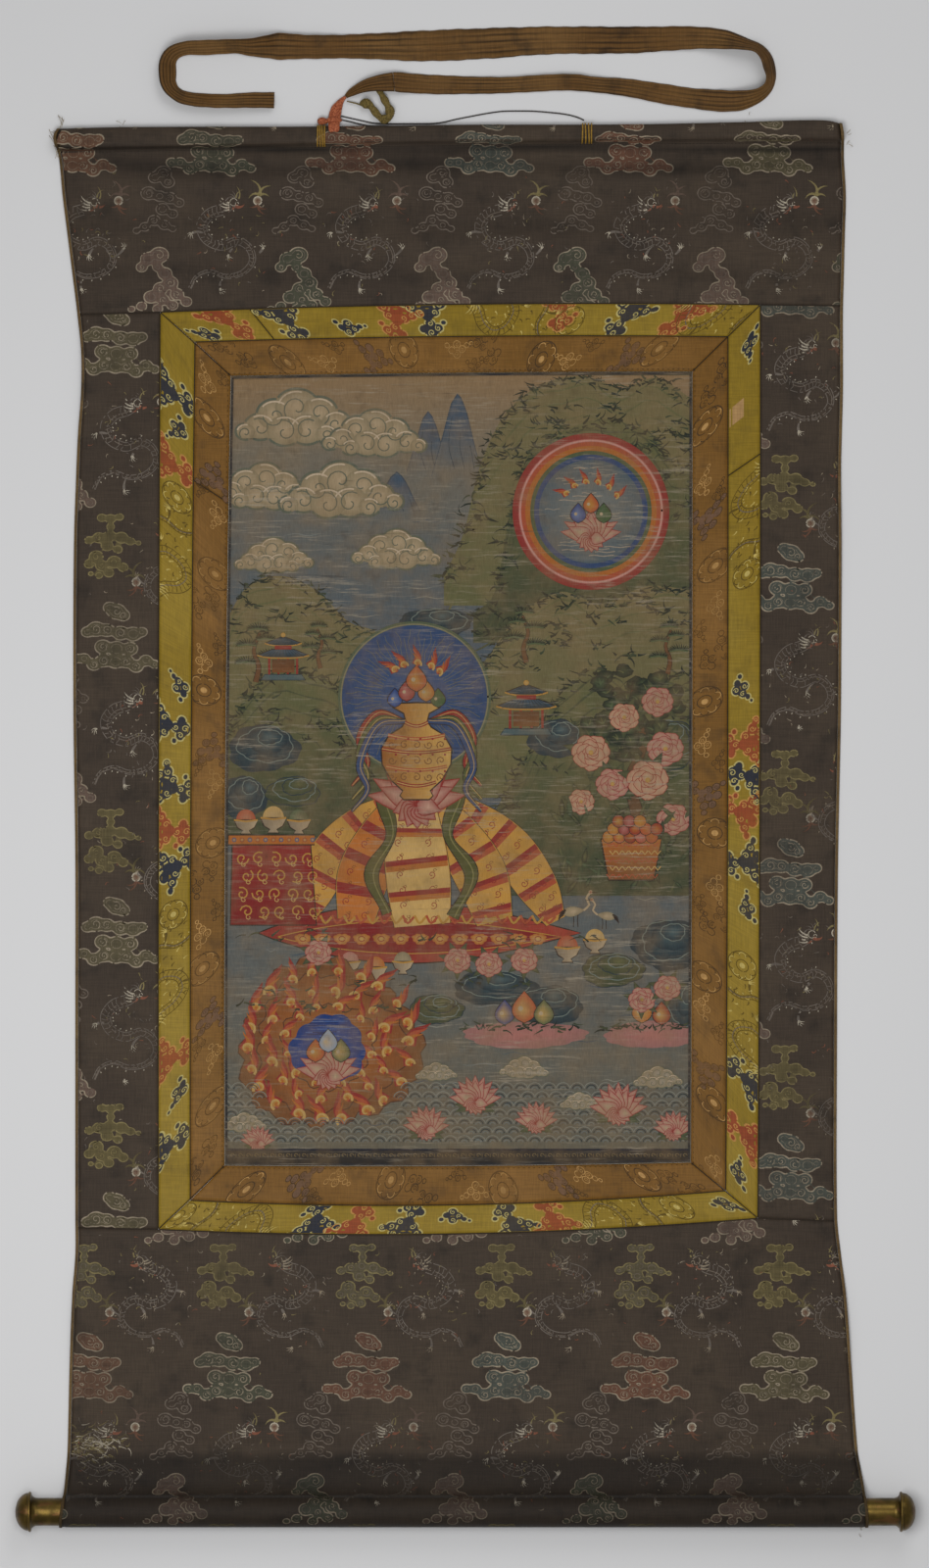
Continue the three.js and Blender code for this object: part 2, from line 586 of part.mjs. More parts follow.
// The silk tie, as it lies: middle line, its true width, how far it leans onto one edge, and its lift
const TIE_THICKNESS = 2;
const TIE_JOIN = 4;           // row at which the short first length is sewn to the long one
const TIE = [
  { x: -122, y: 695.2, width: 4, lean: 0, lift: 1.6 },
  { x: -116, y: 699.5, width: 8, lean: 0, lift: 3 },
  { x: -104, y: 705, width: 12, lean: 0, lift: 5.8 },
  { x: -91, y: 708, width: 16, lean: 0, lift: 7 },
  { x: -73, y: 710, width: 20, lean: 0, lift: 4.6 },
  { x: -50, y: 708.5, width: 20, lean: 0, lift: 1 },
  { x: -20, y: 707.3, width: 19, lean: 0, lift: 0 },
  { x: 37, y: 707, width: 16.5, lean: 8, lift: 0 },
  { x: 101, y: 710, width: 17, lean: 14, lift: 0 },
  { x: 133, y: 707.5, width: 16, lean: 10, lift: 0 },
  { x: 165, y: 704.5, width: 18, lean: 0, lift: 0 },
  { x: 197, y: 699, width: 20, lean: 0, lift: 0 },
  { x: 229, y: 694, width: 20.5, lean: 0, lift: 0 },
  { x: 261, y: 691, width: 22, lean: 6, lift: 0 },
  { x: 281, y: 691.5, width: 21, lean: 22, lift: 0 },
  { x: 297, y: 696, width: 19, lean: 48, lift: 0 },
  { x: 307.5, y: 704, width: 19, lean: 60, lift: 0 },
  { x: 310.5, y: 714, width: 20, lean: 60, lift: 0 },
  { x: 309, y: 724, width: 20, lean: 52, lift: 0 },
  { x: 306, y: 734, width: 20, lean: 52, lift: 0 },
  { x: 298, y: 743, width: 20, lean: 56, lift: 0 },
  { x: 285, y: 747.5, width: 21, lean: 50, lift: 0 },
  { x: 261, y: 753, width: 22, lean: 22, lift: 0 },
  { x: 229, y: 755, width: 23.4, lean: 5, lift: 0 },
  { x: 165, y: 753, width: 27, lean: 0, lift: 0 },
  { x: 85, y: 752.6, width: 28, lean: 0, lift: 0 },
  { x: 21, y: 749.5, width: 31, lean: 0, lift: 0 },
  { x: -43, y: 747, width: 31, lean: 0, lift: 0 },
  { x: -107, y: 746.5, width: 25, lean: 0, lift: 0 },
  { x: -155, y: 746, width: 24, lean: -10, lift: 0 },
  { x: -187, y: 746.5, width: 27, lean: -8, lift: 0 },
  { x: -203, y: 746, width: 24, lean: -24, lift: 0 },
  { x: -219, y: 745.5, width: 22, lean: -40, lift: 0 },
  { x: -235, y: 746.5, width: 20, lean: -50, lift: 0 },
  { x: -267, y: 745, width: 20, lean: -46, lift: 0 },
  { x: -284, y: 744.5, width: 19, lean: -50, lift: 0 },
  { x: -297, y: 740, width: 19, lean: -44, lift: 0 },
  { x: -303.5, y: 731, width: 20, lean: -34, lift: 0 },
  { x: -304, y: 718, width: 20, lean: -30, lift: 0 },
  { x: -303, y: 708, width: 19, lean: -36, lift: 0 },
  { x: -297, y: 699, width: 18, lean: -40, lift: 0 },
  { x: -283, y: 692.5, width: 18, lean: -36, lift: 0 },
  { x: -251, y: 690, width: 18, lean: -34, lift: 0 },
  { x: -219, y: 691, width: 18, lean: -26, lift: 0 },
  { x: -195, y: 691, width: 18, lean: -20, lift: 0 },
];
const PLEATS = [0, 0.8, 0.1, 0.7, 0];   // height of the lengthwise creases across the tie

function tieCells(station, along) {
  const across = new THREE.Vector3(-along.y, along.x, 0).normalize();
  const lean = THREE.MathUtils.degToRad(station.lean);
  const flat = across.clone().multiplyScalar(Math.cos(lean)).add(new THREE.Vector3(0, 0, Math.sin(lean)));
  const up = across.clone().multiplyScalar(-Math.sin(lean)).add(new THREE.Vector3(0, 0, Math.cos(lean)));
  const half = station.width / 2;
  const rise = station.lift + half * Math.abs(Math.sin(lean));
  const middle = new THREE.Vector3(station.x, station.y, rise);
  return PLEATS.map((pleat, k) => {
    const side = half * ((2 * k) / (PLEATS.length - 1) - 1);
    const low = middle.clone().addScaledVector(flat, side).addScaledVector(up, pleat);
    return { low, high: low.clone().addScaledVector(up, TIE_THICKNESS) };
  });
}

function tie() {
  const curve = new THREE.CatmullRomCurve3(TIE.map((s) => new THREE.Vector3(s.x, s.y, 0)));
  const cells = TIE.map((station, j) => tieCells(station, curve.getTangent(j / (TIE.length - 1))));
  const head = cells.slice(0, TIE_JOIN + 1);
  const tail = cells.slice(TIE_JOIN);
  const back = new THREE.Vector3().subVectors(TIE[TIE_JOIN], TIE[TIE_JOIN + 1]).setZ(0).setLength(GAP);
  head[TIE_JOIN] = head[TIE_JOIN].map(({ low, high }) => ({
    low: low.clone().add(back),
    high: high.clone().add(back),
  }));
  sheet('tie_head', palette.ribbon, head);
  sheet('tie', palette.ribbon, tail);
}

// The orange silk that binds the tie and the hanging cord to the bar
const WRAPPING = [
  { x: -134, y: 658.5, z: 11, wide: 3.4, tall: 0.7 },
  { x: -134, y: 660, z: 11.1, wide: 5.2, tall: 1.1 },
  { x: -134, y: 663, z: 10.8, wide: 5.6, tall: 1.2 },
  { x: -134, y: 666.4, z: 9, wide: 5.8, tall: 1.3 },
  { x: -134, y: 669, z: 6.4, wide: 6, tall: 1.8 },
  { x: -133.6, y: 672.5, z: 4.6, wide: 6.2, tall: 3 },
  { x: -133, y: 677, z: 4, wide: 6, tall: 3.4 },
  { x: -131.6, y: 682, z: 3.6, wide: 5.6, tall: 3 },
  { x: -129, y: 687, z: 3.2, wide: 4, tall: 2.6 },
  { x: -126, y: 691.5, z: 2.8, wide: 2.4, tall: 1.8 },
  { x: -122.4, y: 694.9, z: 2.6, wide: 1.4, tall: 1 },
];
const KNOT = [
  { x: -150.2, y: 669.4, z: 3.6, wide: 1, tall: 1 },
  { x: -149.4, y: 669.6, z: 3.8, wide: 2.6, tall: 2.6 },
  { x: -146.8, y: 670, z: 4.1, wide: 3.4, tall: 3.6 },
  { x: -143.8, y: 670, z: 4.1, wide: 3.4, tall: 3.6 },
  { x: -141.6, y: 669.8, z: 3.8, wide: 2.6, tall: 2.6 },
  { x: -140.4, y: 669.8, z: 3.6, wide: 1, tall: 1 },
];

// The knotted olive cord that hangs from the bar, lying over the hanging cord
const OLIVE = [
  { x: -90, y: 706, z: 2.2, wide: 1.6, tall: 1.4 },
  { x: -88.6, y: 703, z: 2.8, wide: 3, tall: 2.5 },
  { x: -85, y: 696, z: 3.2, wide: 3.2, tall: 2.9 },
  { x: -80.5, y: 688, z: 3.8, wide: 3.6, tall: 3.4 },
  { x: -77, y: 680.5, z: 4.4, wide: 4.2, tall: 4 },
  { x: -77.5, y: 674.5, z: 6.4, wide: 4.2, tall: 4 },
  { x: -83, y: 671.6, z: 6.8, wide: 4, tall: 4 },
  { x: -89, y: 675.5, z: 5, wide: 3.7, tall: 3.4 },
  { x: -93.6, y: 681.4, z: 3.8, wide: 3.4, tall: 3.2 },
  { x: -97.6, y: 686, z: 4.4, wide: 4.2, tall: 4 },
  { x: -101.8, y: 688, z: 4.8, wide: 4.8, tall: 4.4 },
  { x: -105.6, y: 688.4, z: 4, wide: 3.2, tall: 3 },
  { x: -107, y: 688.4, z: 3.6, wide: 1.2, tall: 1.2 },
];

// The black hanging cord is double: one strand lies in an arc, one under the bar's far edge
const CORD_DIAMETER = 1.4;
const CORD_SIDES = 8;
const FRONT_STRAND = [
  [-127, 675.6], [-118, 673.4], [-106, 670.8], [-94, 668.3], [-82, 667.6], [-66, 667.6], [-50, 667.7],
  [-33, 667.9], [-22, 669.3], [-11, 671.8], [5, 675], [21, 678], [37, 680.2], [53, 680.6], [69, 680.4],
  [85, 679.2], [101, 677.4], [113, 674.6], [121, 671.2],
];
const BACK_STRAND = [
  [-127, 671.6], [-118, 669.8], [-108, 667.4], [-98, 665.6], [-82, 665.1], [-60, 665.3], [-30, 665.7],
  [0, 665.9], [30, 666], [60, 666.1], [85, 666.1], [105, 666.2], [115.4, 666.2],
];

function strand(name, route, steps) {
  const path = new THREE.CatmullRomCurve3(route.map(([x, y]) => new THREE.Vector3(x, y, CORD_DIAMETER / 2)));
  const section = new THREE.Shape();
  for (let k = 0; k < CORD_SIDES; k += 1) {
    const angle = ((k + 0.5) / CORD_SIDES) * 2 * Math.PI;
    const radius = CORD_DIAMETER / 2;
    const draw = k === 0 ? 'moveTo' : 'lineTo';
    section[draw](radius * Math.cos(angle), radius * Math.sin(angle));
  }
  const tube = new THREE.ExtrudeGeometry(section, { steps, extrudePath: path, curveSegments: 1 });
  return welded(name, palette.cord, tube);
}

// Four turns of yellow thread round the bar, from the crease over to the far edge
const LASHINGS = { left: -147, right: 124 };
const LASHING_RIDGES = 4;
const LASHING_WIDTH = 10;
const LASHING_RIDGE = 1.2;
const LASHING_GROOVE = 0.7;

function lashing(name, x) {
  const crease = read(TOP_BAR, 'x', 'crease', x);
  const edge = read(TOP_BAR, 'x', 'edge', x);
  const scale = (edge - crease) / BAR_DEPTH;
  const path = [[crease - 0.2, 2.2]];
  for (const row of BAR_SECTION.slice(1)) path.push([crease + row.deep * scale, row.over]);
  for (const row of BAR_SECTION.slice(-2).reverse()) path.push([crease + row.deep * scale, row.under]);
  const line = path.map(([y, z]) => new THREE.Vector2(y, z));
  const rows = line.map((point, k) => {
    const before = line[Math.max(k - 1, 0)];
    const after = line[Math.min(k + 1, line.length - 1)];
    const along = after.clone().sub(before).normalize();
    const out = new THREE.Vector2(-along.y, along.x);
    const cells = [];
    for (let i = 0; i <= 2 * LASHING_RIDGES; i += 1) {
      const thick = i % 2 === 1 ? LASHING_RIDGE : LASHING_GROOVE;
      const across = x + LASHING_WIDTH * (i / (2 * LASHING_RIDGES) - 0.5);
      const low = point.clone().addScaledVector(out, 1.4 * GAP);
      const high = point.clone().addScaledVector(out, 1.4 * GAP + thick);
      cells.push({
        low: new THREE.Vector3(across, low.x, low.y),
        high: new THREE.Vector3(across, high.x, high.y),
      });
    }
    return cells;
  });
  sheet(name, palette.lashing, rows);
}

topPanel();
sidePanel('left');
sidePanel('right');
bottomPanel();
frames();
painting();
binding('left');
binding('right');
roller();
cap('cap_left', -1);
cap('cap_right', 1);
tie();
sweep('wrapping', palette.wrapping, WRAPPING, 12);
sweep('knot', palette.wrapping, KNOT, 12);
sweep('olive_cord', palette.olive, OLIVE, 12);
strand('hanging_cord_front', FRONT_STRAND, 40);
strand('hanging_cord_back', BACK_STRAND, 24);
lashing('lashing_left', LASHINGS.left);
lashing('lashing_right', LASHINGS.right);

export default scroll;
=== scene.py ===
# Thangka: a painting on cotton in a double silk frame, mounted in brocade between a top bar and a
# roller. It lies face up on a pale table. Sizes are millimetres until a mesh is made.
import math
import random

import bmesh
import bpy
import numpy as np
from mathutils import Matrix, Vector
from mathutils.geometry import tessellate_polygon


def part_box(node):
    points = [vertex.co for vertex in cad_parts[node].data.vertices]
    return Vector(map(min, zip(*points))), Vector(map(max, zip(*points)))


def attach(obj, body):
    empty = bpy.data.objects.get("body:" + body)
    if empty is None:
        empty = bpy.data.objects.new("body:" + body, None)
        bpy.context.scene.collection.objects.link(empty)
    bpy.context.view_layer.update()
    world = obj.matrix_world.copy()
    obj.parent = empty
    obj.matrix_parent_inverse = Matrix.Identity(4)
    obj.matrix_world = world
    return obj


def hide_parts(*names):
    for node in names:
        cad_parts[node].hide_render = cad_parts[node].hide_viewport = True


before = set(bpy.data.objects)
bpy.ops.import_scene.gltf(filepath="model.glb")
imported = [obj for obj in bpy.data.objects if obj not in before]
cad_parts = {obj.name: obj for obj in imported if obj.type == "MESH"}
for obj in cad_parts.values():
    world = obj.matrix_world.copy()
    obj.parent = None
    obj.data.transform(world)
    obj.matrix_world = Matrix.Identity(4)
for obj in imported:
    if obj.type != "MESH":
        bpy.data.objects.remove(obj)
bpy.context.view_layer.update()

MM = 0.001

# Camera, table and light. The camera looks straight down through a long lens, the table is a pale
# grey sheet, and one soft light comes from the roller's side, with a weaker one across from it.
PICTURE_MIDDLE = (-1 * MM, -6 * MM)
PICTURE_HEIGHT = 1600 * MM
FILM_HEIGHT = 36
LENS = 150
TABLE_HALF = 9.0
TABLE_COLOUR = (0.575, 0.575, 0.58, 1)
ROOM_LIGHT = 0.42
# Name, place, size and power of each light
LIGHTS = [("key", (-0.35, -0.45, 2.1), 1.2, 28), ("fill", (0.9, 2.4, 2.6), 1.8, 26)]

eye = bpy.data.cameras.new("camera")
eye.sensor_fit = "VERTICAL"
eye.sensor_height = FILM_HEIGHT
eye.lens = LENS
eye.clip_end = 100
camera = bpy.data.objects.new("camera", eye)
camera.location = (*PICTURE_MIDDLE, PICTURE_HEIGHT * LENS / FILM_HEIGHT)
bpy.context.collection.objects.link(camera)
bpy.context.scene.camera = camera
bpy.context.scene.view_settings.view_transform = "Standard"


def node(tree, kind, inputs=None, **settings):
    """A node with its settings, its inputs given as values or as sockets of other nodes."""
    made = tree.nodes.new(kind)
    for key, value in settings.items():
        setattr(made, key, value)
    for key, value in (inputs or {}).items():
        if isinstance(value, bpy.types.NodeSocket):
            tree.links.new(value, made.inputs[key])
        else:
            made.inputs[key].default_value = value
    return made


def new_material(name, roughness, specular=0.3, metallic=0.0):
    """A material with its tree and its one shader."""
    made = bpy.data.materials.new(name)
    made.use_nodes = True
    shader = made.node_tree.nodes["Principled BSDF"]
    shader.inputs["Roughness"].default_value = roughness
    shader.inputs["Specular IOR Level"].default_value = specular
    shader.inputs["Metallic"].default_value = metallic
    return made, made.node_tree, shader


for lamp_name, place, size, power in LIGHTS:
    lamp = bpy.data.lights.new(lamp_name, "AREA")
    lamp.size = size
    lamp.energy = power
    holder = bpy.data.objects.new(lamp_name, lamp)
    holder.location = place
    holder.rotation_euler = (-Vector(place)).to_track_quat("-Z", "Y").to_euler()
    bpy.context.collection.objects.link(holder)
world = bpy.data.worlds.new("room")
world.use_nodes = True
world.node_tree.nodes["Background"].inputs["Color"].default_value = (ROOM_LIGHT, ROOM_LIGHT, ROOM_LIGHT, 1)
bpy.context.scene.world = world

table_mesh = bpy.data.meshes.new("table")
table_mesh.from_pydata(
    [(x * TABLE_HALF, y * TABLE_HALF, 0) for x, y in ((-1, -1), (1, -1), (1, 1), (-1, 1))], [], [(0, 1, 2, 3)])
table = bpy.data.objects.new("table", table_mesh)
bpy.context.collection.objects.link(table)
table_finish, _, table_shader = new_material("table", 0.9, specular=0.1)
table_shader.inputs["Base Color"].default_value = TABLE_COLOUR
table_mesh.materials.append(table_finish)

# The hanging cord: one length of thin black cord, laid double from the wrapping to the right-hand
# lashing. The near strand lies in a low arc on the table, the far one along the bar's far edge.
CORD_DIAMETER = 1.4
CORD_TWIST = 3.4
TINY = 1e-9
FRONT_STRAND = [
    (-127, 675.6), (-118, 673.4), (-106, 670.8), (-94, 668.3), (-82, 667.6), (-66, 667.6), (-50, 667.7),
    (-33, 667.9), (-22, 669.3), (-11, 671.8), (5, 675), (21, 678), (37, 680.2), (53, 680.6), (69, 680.4),
    (85, 679.2), (101, 677.4), (113, 674.6), (121, 671.2),
]
BACK_STRAND = [
    (-127, 671.6), (-118, 669.8), (-108, 667.4), (-98, 665.6), (-82, 665.1), (-60, 665.3), (-30, 665.7),
    (0, 665.9), (30, 666), (60, 666.1), (85, 666.1), (105, 666.2), (115.4, 666.2),
]


def through(points, step):
    """A smooth line through the points, about one step between its own."""
    points = np.asarray(points, float)
    ends = np.vstack([2 * points[0] - points[1], points, 2 * points[-1] - points[-2]])
    line = []
    for a, b, c, d in zip(ends, ends[1:], ends[2:], ends[3:]):
        count = max(int(np.linalg.norm(c - b) / step), 1)
        for k in range(count):
            t = k / count
            line.append(0.5 * (2 * b + (c - a) * t + (2 * a - 5 * b + 4 * c - d) * t ** 2
                               + (3 * b - a - 3 * c + d) * t ** 3))
    line.append(points[-1])
    return np.array(line)


def heading(line):
    """The direction of a line at each of its points."""
    along = np.gradient(line, axis=0)
    return along / np.maximum(np.linalg.norm(along, axis=1, keepdims=True), TINY)


def run_along(line):
    """The length of a line up to each of its points."""
    return np.concatenate([[0], np.cumsum(np.linalg.norm(np.diff(line, axis=0), axis=1))])


def crosswise(line):
    """The directions level across a line and up from it, at each of its points."""
    along = heading(line)
    across = np.cross((0.0, 0.0, 1.0), along)
    across[np.linalg.norm(across, axis=1) < 1e-6] = (1.0, 0.0, 0.0)
    across /= np.linalg.norm(across, axis=1, keepdims=True)
    return across, np.cross(along, across)


def round_faces(rings, sides):
    """The faces between rings of points that follow each other."""
    return [(j * sides + k, j * sides + (k + 1) % sides, (j + 1) * sides + (k + 1) % sides, (j + 1) * sides + k)
            for j in range(rings - 1) for k in range(sides)]


def tube(line, wide, tall, sides=8, plies=0, lay=0.0, groove=0.0):
    """A closed tube round a line: points and faces, with the plies of a twisted cord if asked."""
    count = len(line)
    across, up = crosswise(line)
    run = run_along(line)
    angle = np.arange(sides) / sides * 2 * math.pi
    size = np.ones((count, sides))
    if plies:
        turn = angle[None, :] - run[:, None] / lay * 2 * math.pi / plies
        size -= groove * (0.5 - 0.5 * np.cos(plies * turn))
    wide = np.broadcast_to(wide, count)[:, None]
    tall = np.broadcast_to(tall, count)[:, None]
    points = (line[:, None, :] + across[:, None, :] * (wide * size * np.cos(angle))[:, :, None]
              + up[:, None, :] * (tall * size * np.sin(angle))[:, :, None]).reshape(-1, 3)
    faces = round_faces(count, sides)
    faces.append(tuple(range(sides))[::-1])
    faces.append(tuple((count - 1) * sides + k for k in range(sides)))
    return points, faces


def joined(parts):
    """Several lots of points and faces as one lot."""
    points, faces, start = [], [], 0
    for some_points, some_faces in parts:
        points.append(some_points)
        faces += [tuple(start + k for k in face) for face in some_faces]
        start += len(some_points)
    return np.concatenate(points), faces


def make(name, shape, finish, attributes=None):
    """A piece of the scroll in the scene: its mesh, finish, body and material slot."""
    points, faces = shape
    mesh = bpy.data.meshes.new(name)
    mesh.from_pydata((np.asarray(points) * MM).tolist(), [], [list(map(int, face)) for face in faces])
    for key, (kind, values) in (attributes or {}).items():
        field = mesh.attributes.new(key, kind, "POINT").data
        values = np.asarray(values, np.float32)
        field.foreach_set({"FLOAT_COLOR": "color", "FLOAT": "value"}.get(kind, "vector"), values.ravel())
    mesh.polygons.foreach_set("use_smooth", [True] * len(mesh.polygons))
    mesh.materials.append(finish)
    mesh.validate()
    piece = bpy.data.objects.new(name, mesh)
    bpy.context.collection.objects.link(piece)
    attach(piece, "root")
    return piece


def chart(red, green, blue):
    """A colour as the shader wants it, from its 0 to 255 values on a chart."""
    values = np.array([red, green, blue]) / 255
    return tuple(np.where(values <= 0.04045, values / 12.92, ((values + 0.055) / 1.055) ** 2.4))


def fibre_finish(name, dark, light, roughness=0.75, scale=900.0):
    """Spun thread: two close colours along fine uneven fibres."""
    made, tree, shader = new_material(name, roughness, specular=0.15)
    spot = node(tree, "ShaderNodeTexCoord")
    fibres = node(tree, "ShaderNodeTexNoise", {"Vector": spot.outputs["Object"], "Scale": scale, "Detail": 3.0})
    ramp = node(tree, "ShaderNodeValToRGB", {"Fac": fibres.outputs["Fac"]})
    ramp.color_ramp.elements[0].position = 0.3
    ramp.color_ramp.elements[1].position = 0.7
    ramp.color_ramp.elements[0].color = (*dark, 1)
    ramp.color_ramp.elements[1].color = (*light, 1)
    bump = node(tree, "ShaderNodeBump", {"Height": fibres.outputs["Fac"], "Strength": 0.4, "Distance": 0.0003})
    tree.links.new(ramp.outputs["Color"], shader.inputs["Base Color"])
    tree.links.new(bump.outputs["Normal"], shader.inputs["Normal"])
    return made


cord_finish = fibre_finish("black_cord", chart(34, 30, 28), chart(62, 55, 50))
for cord_name, route in (("hanging_cord_front", FRONT_STRAND), ("hanging_cord_back", BACK_STRAND)):
    middle = through([(x, y, CORD_DIAMETER / 2 + 0.05) for x, y in route], 1.0)
    shape = tube(middle, CORD_DIAMETER / 2, CORD_DIAMETER / 2, sides=10, plies=2, lay=CORD_TWIST, groove=0.16)
    strand = make(cord_name + "_twisted", shape, cord_finish)
    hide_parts(cord_name)

# The brocade mount: a top panel that goes round the wooden bar, two side panels, and a bottom panel
# that goes round the roller, of one dark brown silk woven with clouds and dragons. The panels are
# sewn edge to edge round the silk frame, and lie on the table with a few soft folds.
CLOTH = 1.3
GAP = 0.3
WEAVE_STEP = 4.0
BINDING_WIDTH = 3.0
BINDING_PROUD = 0.6
ROLLER_Y = -746.4
KNOB_RADIUS = 20.5
NECK_RADIUS = 14.1
CAP_TIP = 458
CAP_MOUTH = 402
AXIS_Z = KNOB_RADIUS * math.cos(math.pi / 28)
SLEEVE_RISE = 46
SLEEVE_EASE = 18
SLEEVE_TURN = 300
SLEEVE_TAIL = 9.5
# Height along the cloth, left edge, right edge
SELVEDGE = np.array([
    (668, -413, 384), (654, -420, 386), (634, -415, 386), (594, -411, 388), (554, -406, 387), (514, -401, 386),
    (474, -396, 385), (434, -392, 385), (394, -392, 385), (354, -395, 384), (314, -397, 383),
    (234, -399.5, 383.5), (74, -400, 383), (-86, -398, 380), (-246, -398, 379), (-446, -398, 379),
    (-486, -398, 383), (-526, -401, 388), (-606, -404, 394), (-686, -406, 400), (-706, -407.5, 403.5),
    (-728, -409.4, 407), (-760, -413.2, 409.6), (-840, -413.4, 409.8)])
# Place across, far edge of the top bar, stitched crease below it
TOP_BAR = np.array([
    (-425, 662, 640), (-350, 664, 641.2), (-150, 664.6, 645.4), (0, 666.4, 647.5), (165, 666.8, 649),
    (280, 669, 649.8), (368, 671, 650), (390, 666, 650)])
# Depth from the crease, underside, top of the bar in its sleeve
BAR_SECTION = np.array([
    (0, 0, 1.6), (0.6, 0, 4.4), (1.8, 0, 7.4), (4, 0, 9), (7.5, 0, 9.5), (13.5, 0, 9.5), (17, 0.2, 8.9),
    (19.2, 1, 7.8), (20.5, 2.3, 6.6), (21, 3.6, 5.4)])
BAR_DEPTH = 21
# From, to, height along the cloth, slope, bow, how high, how far it reaches
FOLDS = [
    (-400, 380, 611, 0.012, 0, 2.2, 16), (190, 372, 612, 0, 3, 1.6, 13), (-90, 190, 547, 0.005, 0, 1.8, 17),
    (95, 330, 499, 0, 7, 1.6, 12), (215, 372, -473, 0.06, 0, 1.4, 8), (-380, 370, -668, 0, 0, 1.2, 16),
    (-330, -60, 632, 0.02, 0, 0.7, 6), (90, 350, 628, -0.015, 0, 0.9, 8), (-250, 60, 575, -0.02, 2, 0.6, 9),
    (-360, -120, -690, 0.01, 0, 0.6, 7), (60, 350, -694, -0.012, 0, 0.7, 7),
    (-300, 240, -640, 0.004, 3, 0.5, 11),
]
# Edge column, height along the cloth, length, how high, how far in
EDGE_LIFTS = [(1, 400, 110, 3, 60), (1, -560, 90, 2.4, 70), (2, 250, 120, 2.2, 50), (2, -560, 80, 3.4, 60)]
# Corners of the three seams from top left clockwise, and the bow of the top, right, bottom and left
SEAMS = [
    ([(-311.6, 475.4), (300.9, 483), (298.3, -449), (-313.5, -460.3)], (4.2, 1, 10.2, 0.8)),
    ([(-276, 445), (267.9, 450.4), (265.6, -421), (-280.8, -430.8)], (3, 0.8, 9.5, 1.6)),
    ([(-239.3, 410.2), (231.3, 414.7), (229.7, -392), (-245.6, -395)], (1, 0.5, 2, 2.4)),
]
TOP, RIGHT, BOTTOM, LEFT = range(4)
# Sizes that set how many rows and columns the meshes of the cloth have
FRAME_WIDE = 612
BESIDE_FRAME = 85
SIDE_WIDE = 88
SIDE_LONG = 930
TOP_REACH = 165
BOTTOM_REACH = 235
BINDING_LONG = 1330
# Share of the cloth's thickness by which its upper edge is rounded down at a seam
EDGE_SUNK = 0.35
SIDE_SEAMS = {LEFT: (473, -459), RIGHT: (482, -452)}


def read(table, column, at):
    """Value of a table's column, smooth between its rows, which run along its first column."""
    rows = table if table[0, 0] < table[-1, 0] else table[::-1]
    knots, values = rows[:, 0], rows[:, column]
    slopes = np.empty_like(values)
    slopes[1:-1] = (values[2:] - values[:-2]) / (knots[2:] - knots[:-2])
    slopes[0] = (values[1] - values[0]) / (knots[1] - knots[0])
    slopes[-1] = (values[-1] - values[-2]) / (knots[-1] - knots[-2])
    at = np.asarray(at, float)
    k = np.clip(np.searchsorted(knots, at) - 1, 0, len(knots) - 2)
    span = knots[k + 1] - knots[k]
    t = np.clip((at - knots[k]) / span, 0, 1)
    return (values[k] * (2 * t ** 3 - 3 * t ** 2 + 1) + slopes[k] * span * (t ** 3 - 2 * t ** 2 + t)
            + values[k + 1] * (3 * t ** 2 - 2 * t ** 3) + slopes[k + 1] * span * (t ** 3 - t ** 2))


def ease(t):
    """From 0 to 1 without a corner."""
    t = np.clip(t, 0, 1)
    return t * t * (3 - 2 * t)


def rest(x, y):
    """Height of the cloth's underside over the table."""
    x, y = np.broadcast_arrays(np.asarray(x, float), np.asarray(y, float))
    height = 0.10 * (1 + np.sin(x / 23 + 1.7 * np.sin(y / 61)) * np.cos(y / 31 + np.sin(x / 47)))
    for start, end, level, slope, bow, high, reach in FOLDS:
        middle = (start + end) / 2
        share = (x - middle) / ((end - start) / 2)
        crest = level + slope * (x - middle) + bow * (1 - share ** 2)
        away = np.clip(np.abs(y - crest) / reach, 0, 1)
        height = height + high * ease((1 - np.abs(share)) * 3) * np.cos(away * math.pi / 2) ** 2
    for side, level, length, high, inward in EDGE_LIFTS:
        edge = read(SELVEDGE, side, y)
        reach = np.abs(x - edge) / inward
        along = np.clip(np.abs(y - level) / length, 0, 1)
        height = height + high * np.cos(along * math.pi / 2) ** 2 * ease(1 - reach)
    return height


def on_seam(seam, side, share):
    """A point on one side of a seam at a share of its length, clockwise from the top left."""
    corners, bows = SEAMS[seam]
    start, end = np.array(corners[side], float), np.array(corners[(side + 1) % 4], float)
    line = end - start
    outward = np.array([-line[1], line[0]]) / np.linalg.norm(line)
    share = np.asarray(share, float)[..., None]
    return start + line * share + outward * bows[side] * 4 * share * (1 - share)


def inset(side, y):
    """The seam of the binding: a binding's width in from the outer edge."""
    return read(SELVEDGE, 1, y) + BINDING_WIDTH if side == LEFT else read(SELVEDGE, 2, y) - BINDING_WIDTH


def spread(x, y, proud=0.0):
    """Low and high points of cloth laid over places in plan, on the table or on the top bar."""
    crease, edge = read(TOP_BAR, 2, x), read(TOP_BAR, 1, x)
    low = rest(x, y)
    high = low + CLOTH
    deep = np.clip((y - crease) / (edge - crease), 0, 1) * BAR_DEPTH
    bar = y > crease
    low = np.where(bar, np.maximum(read(BAR_SECTION, 1, deep), 0), low)
    high = np.where(bar, read(BAR_SECTION, 2, deep), high)
    return np.stack([x, y, low], -1), np.stack([x, y, high + proud], -1)


MIDDLE_RADIUS = NECK_RADIUS + GAP + CLOTH / 2
SLEEVE_START = ROLLER_Y + MIDDLE_RADIUS + SLEEVE_RISE


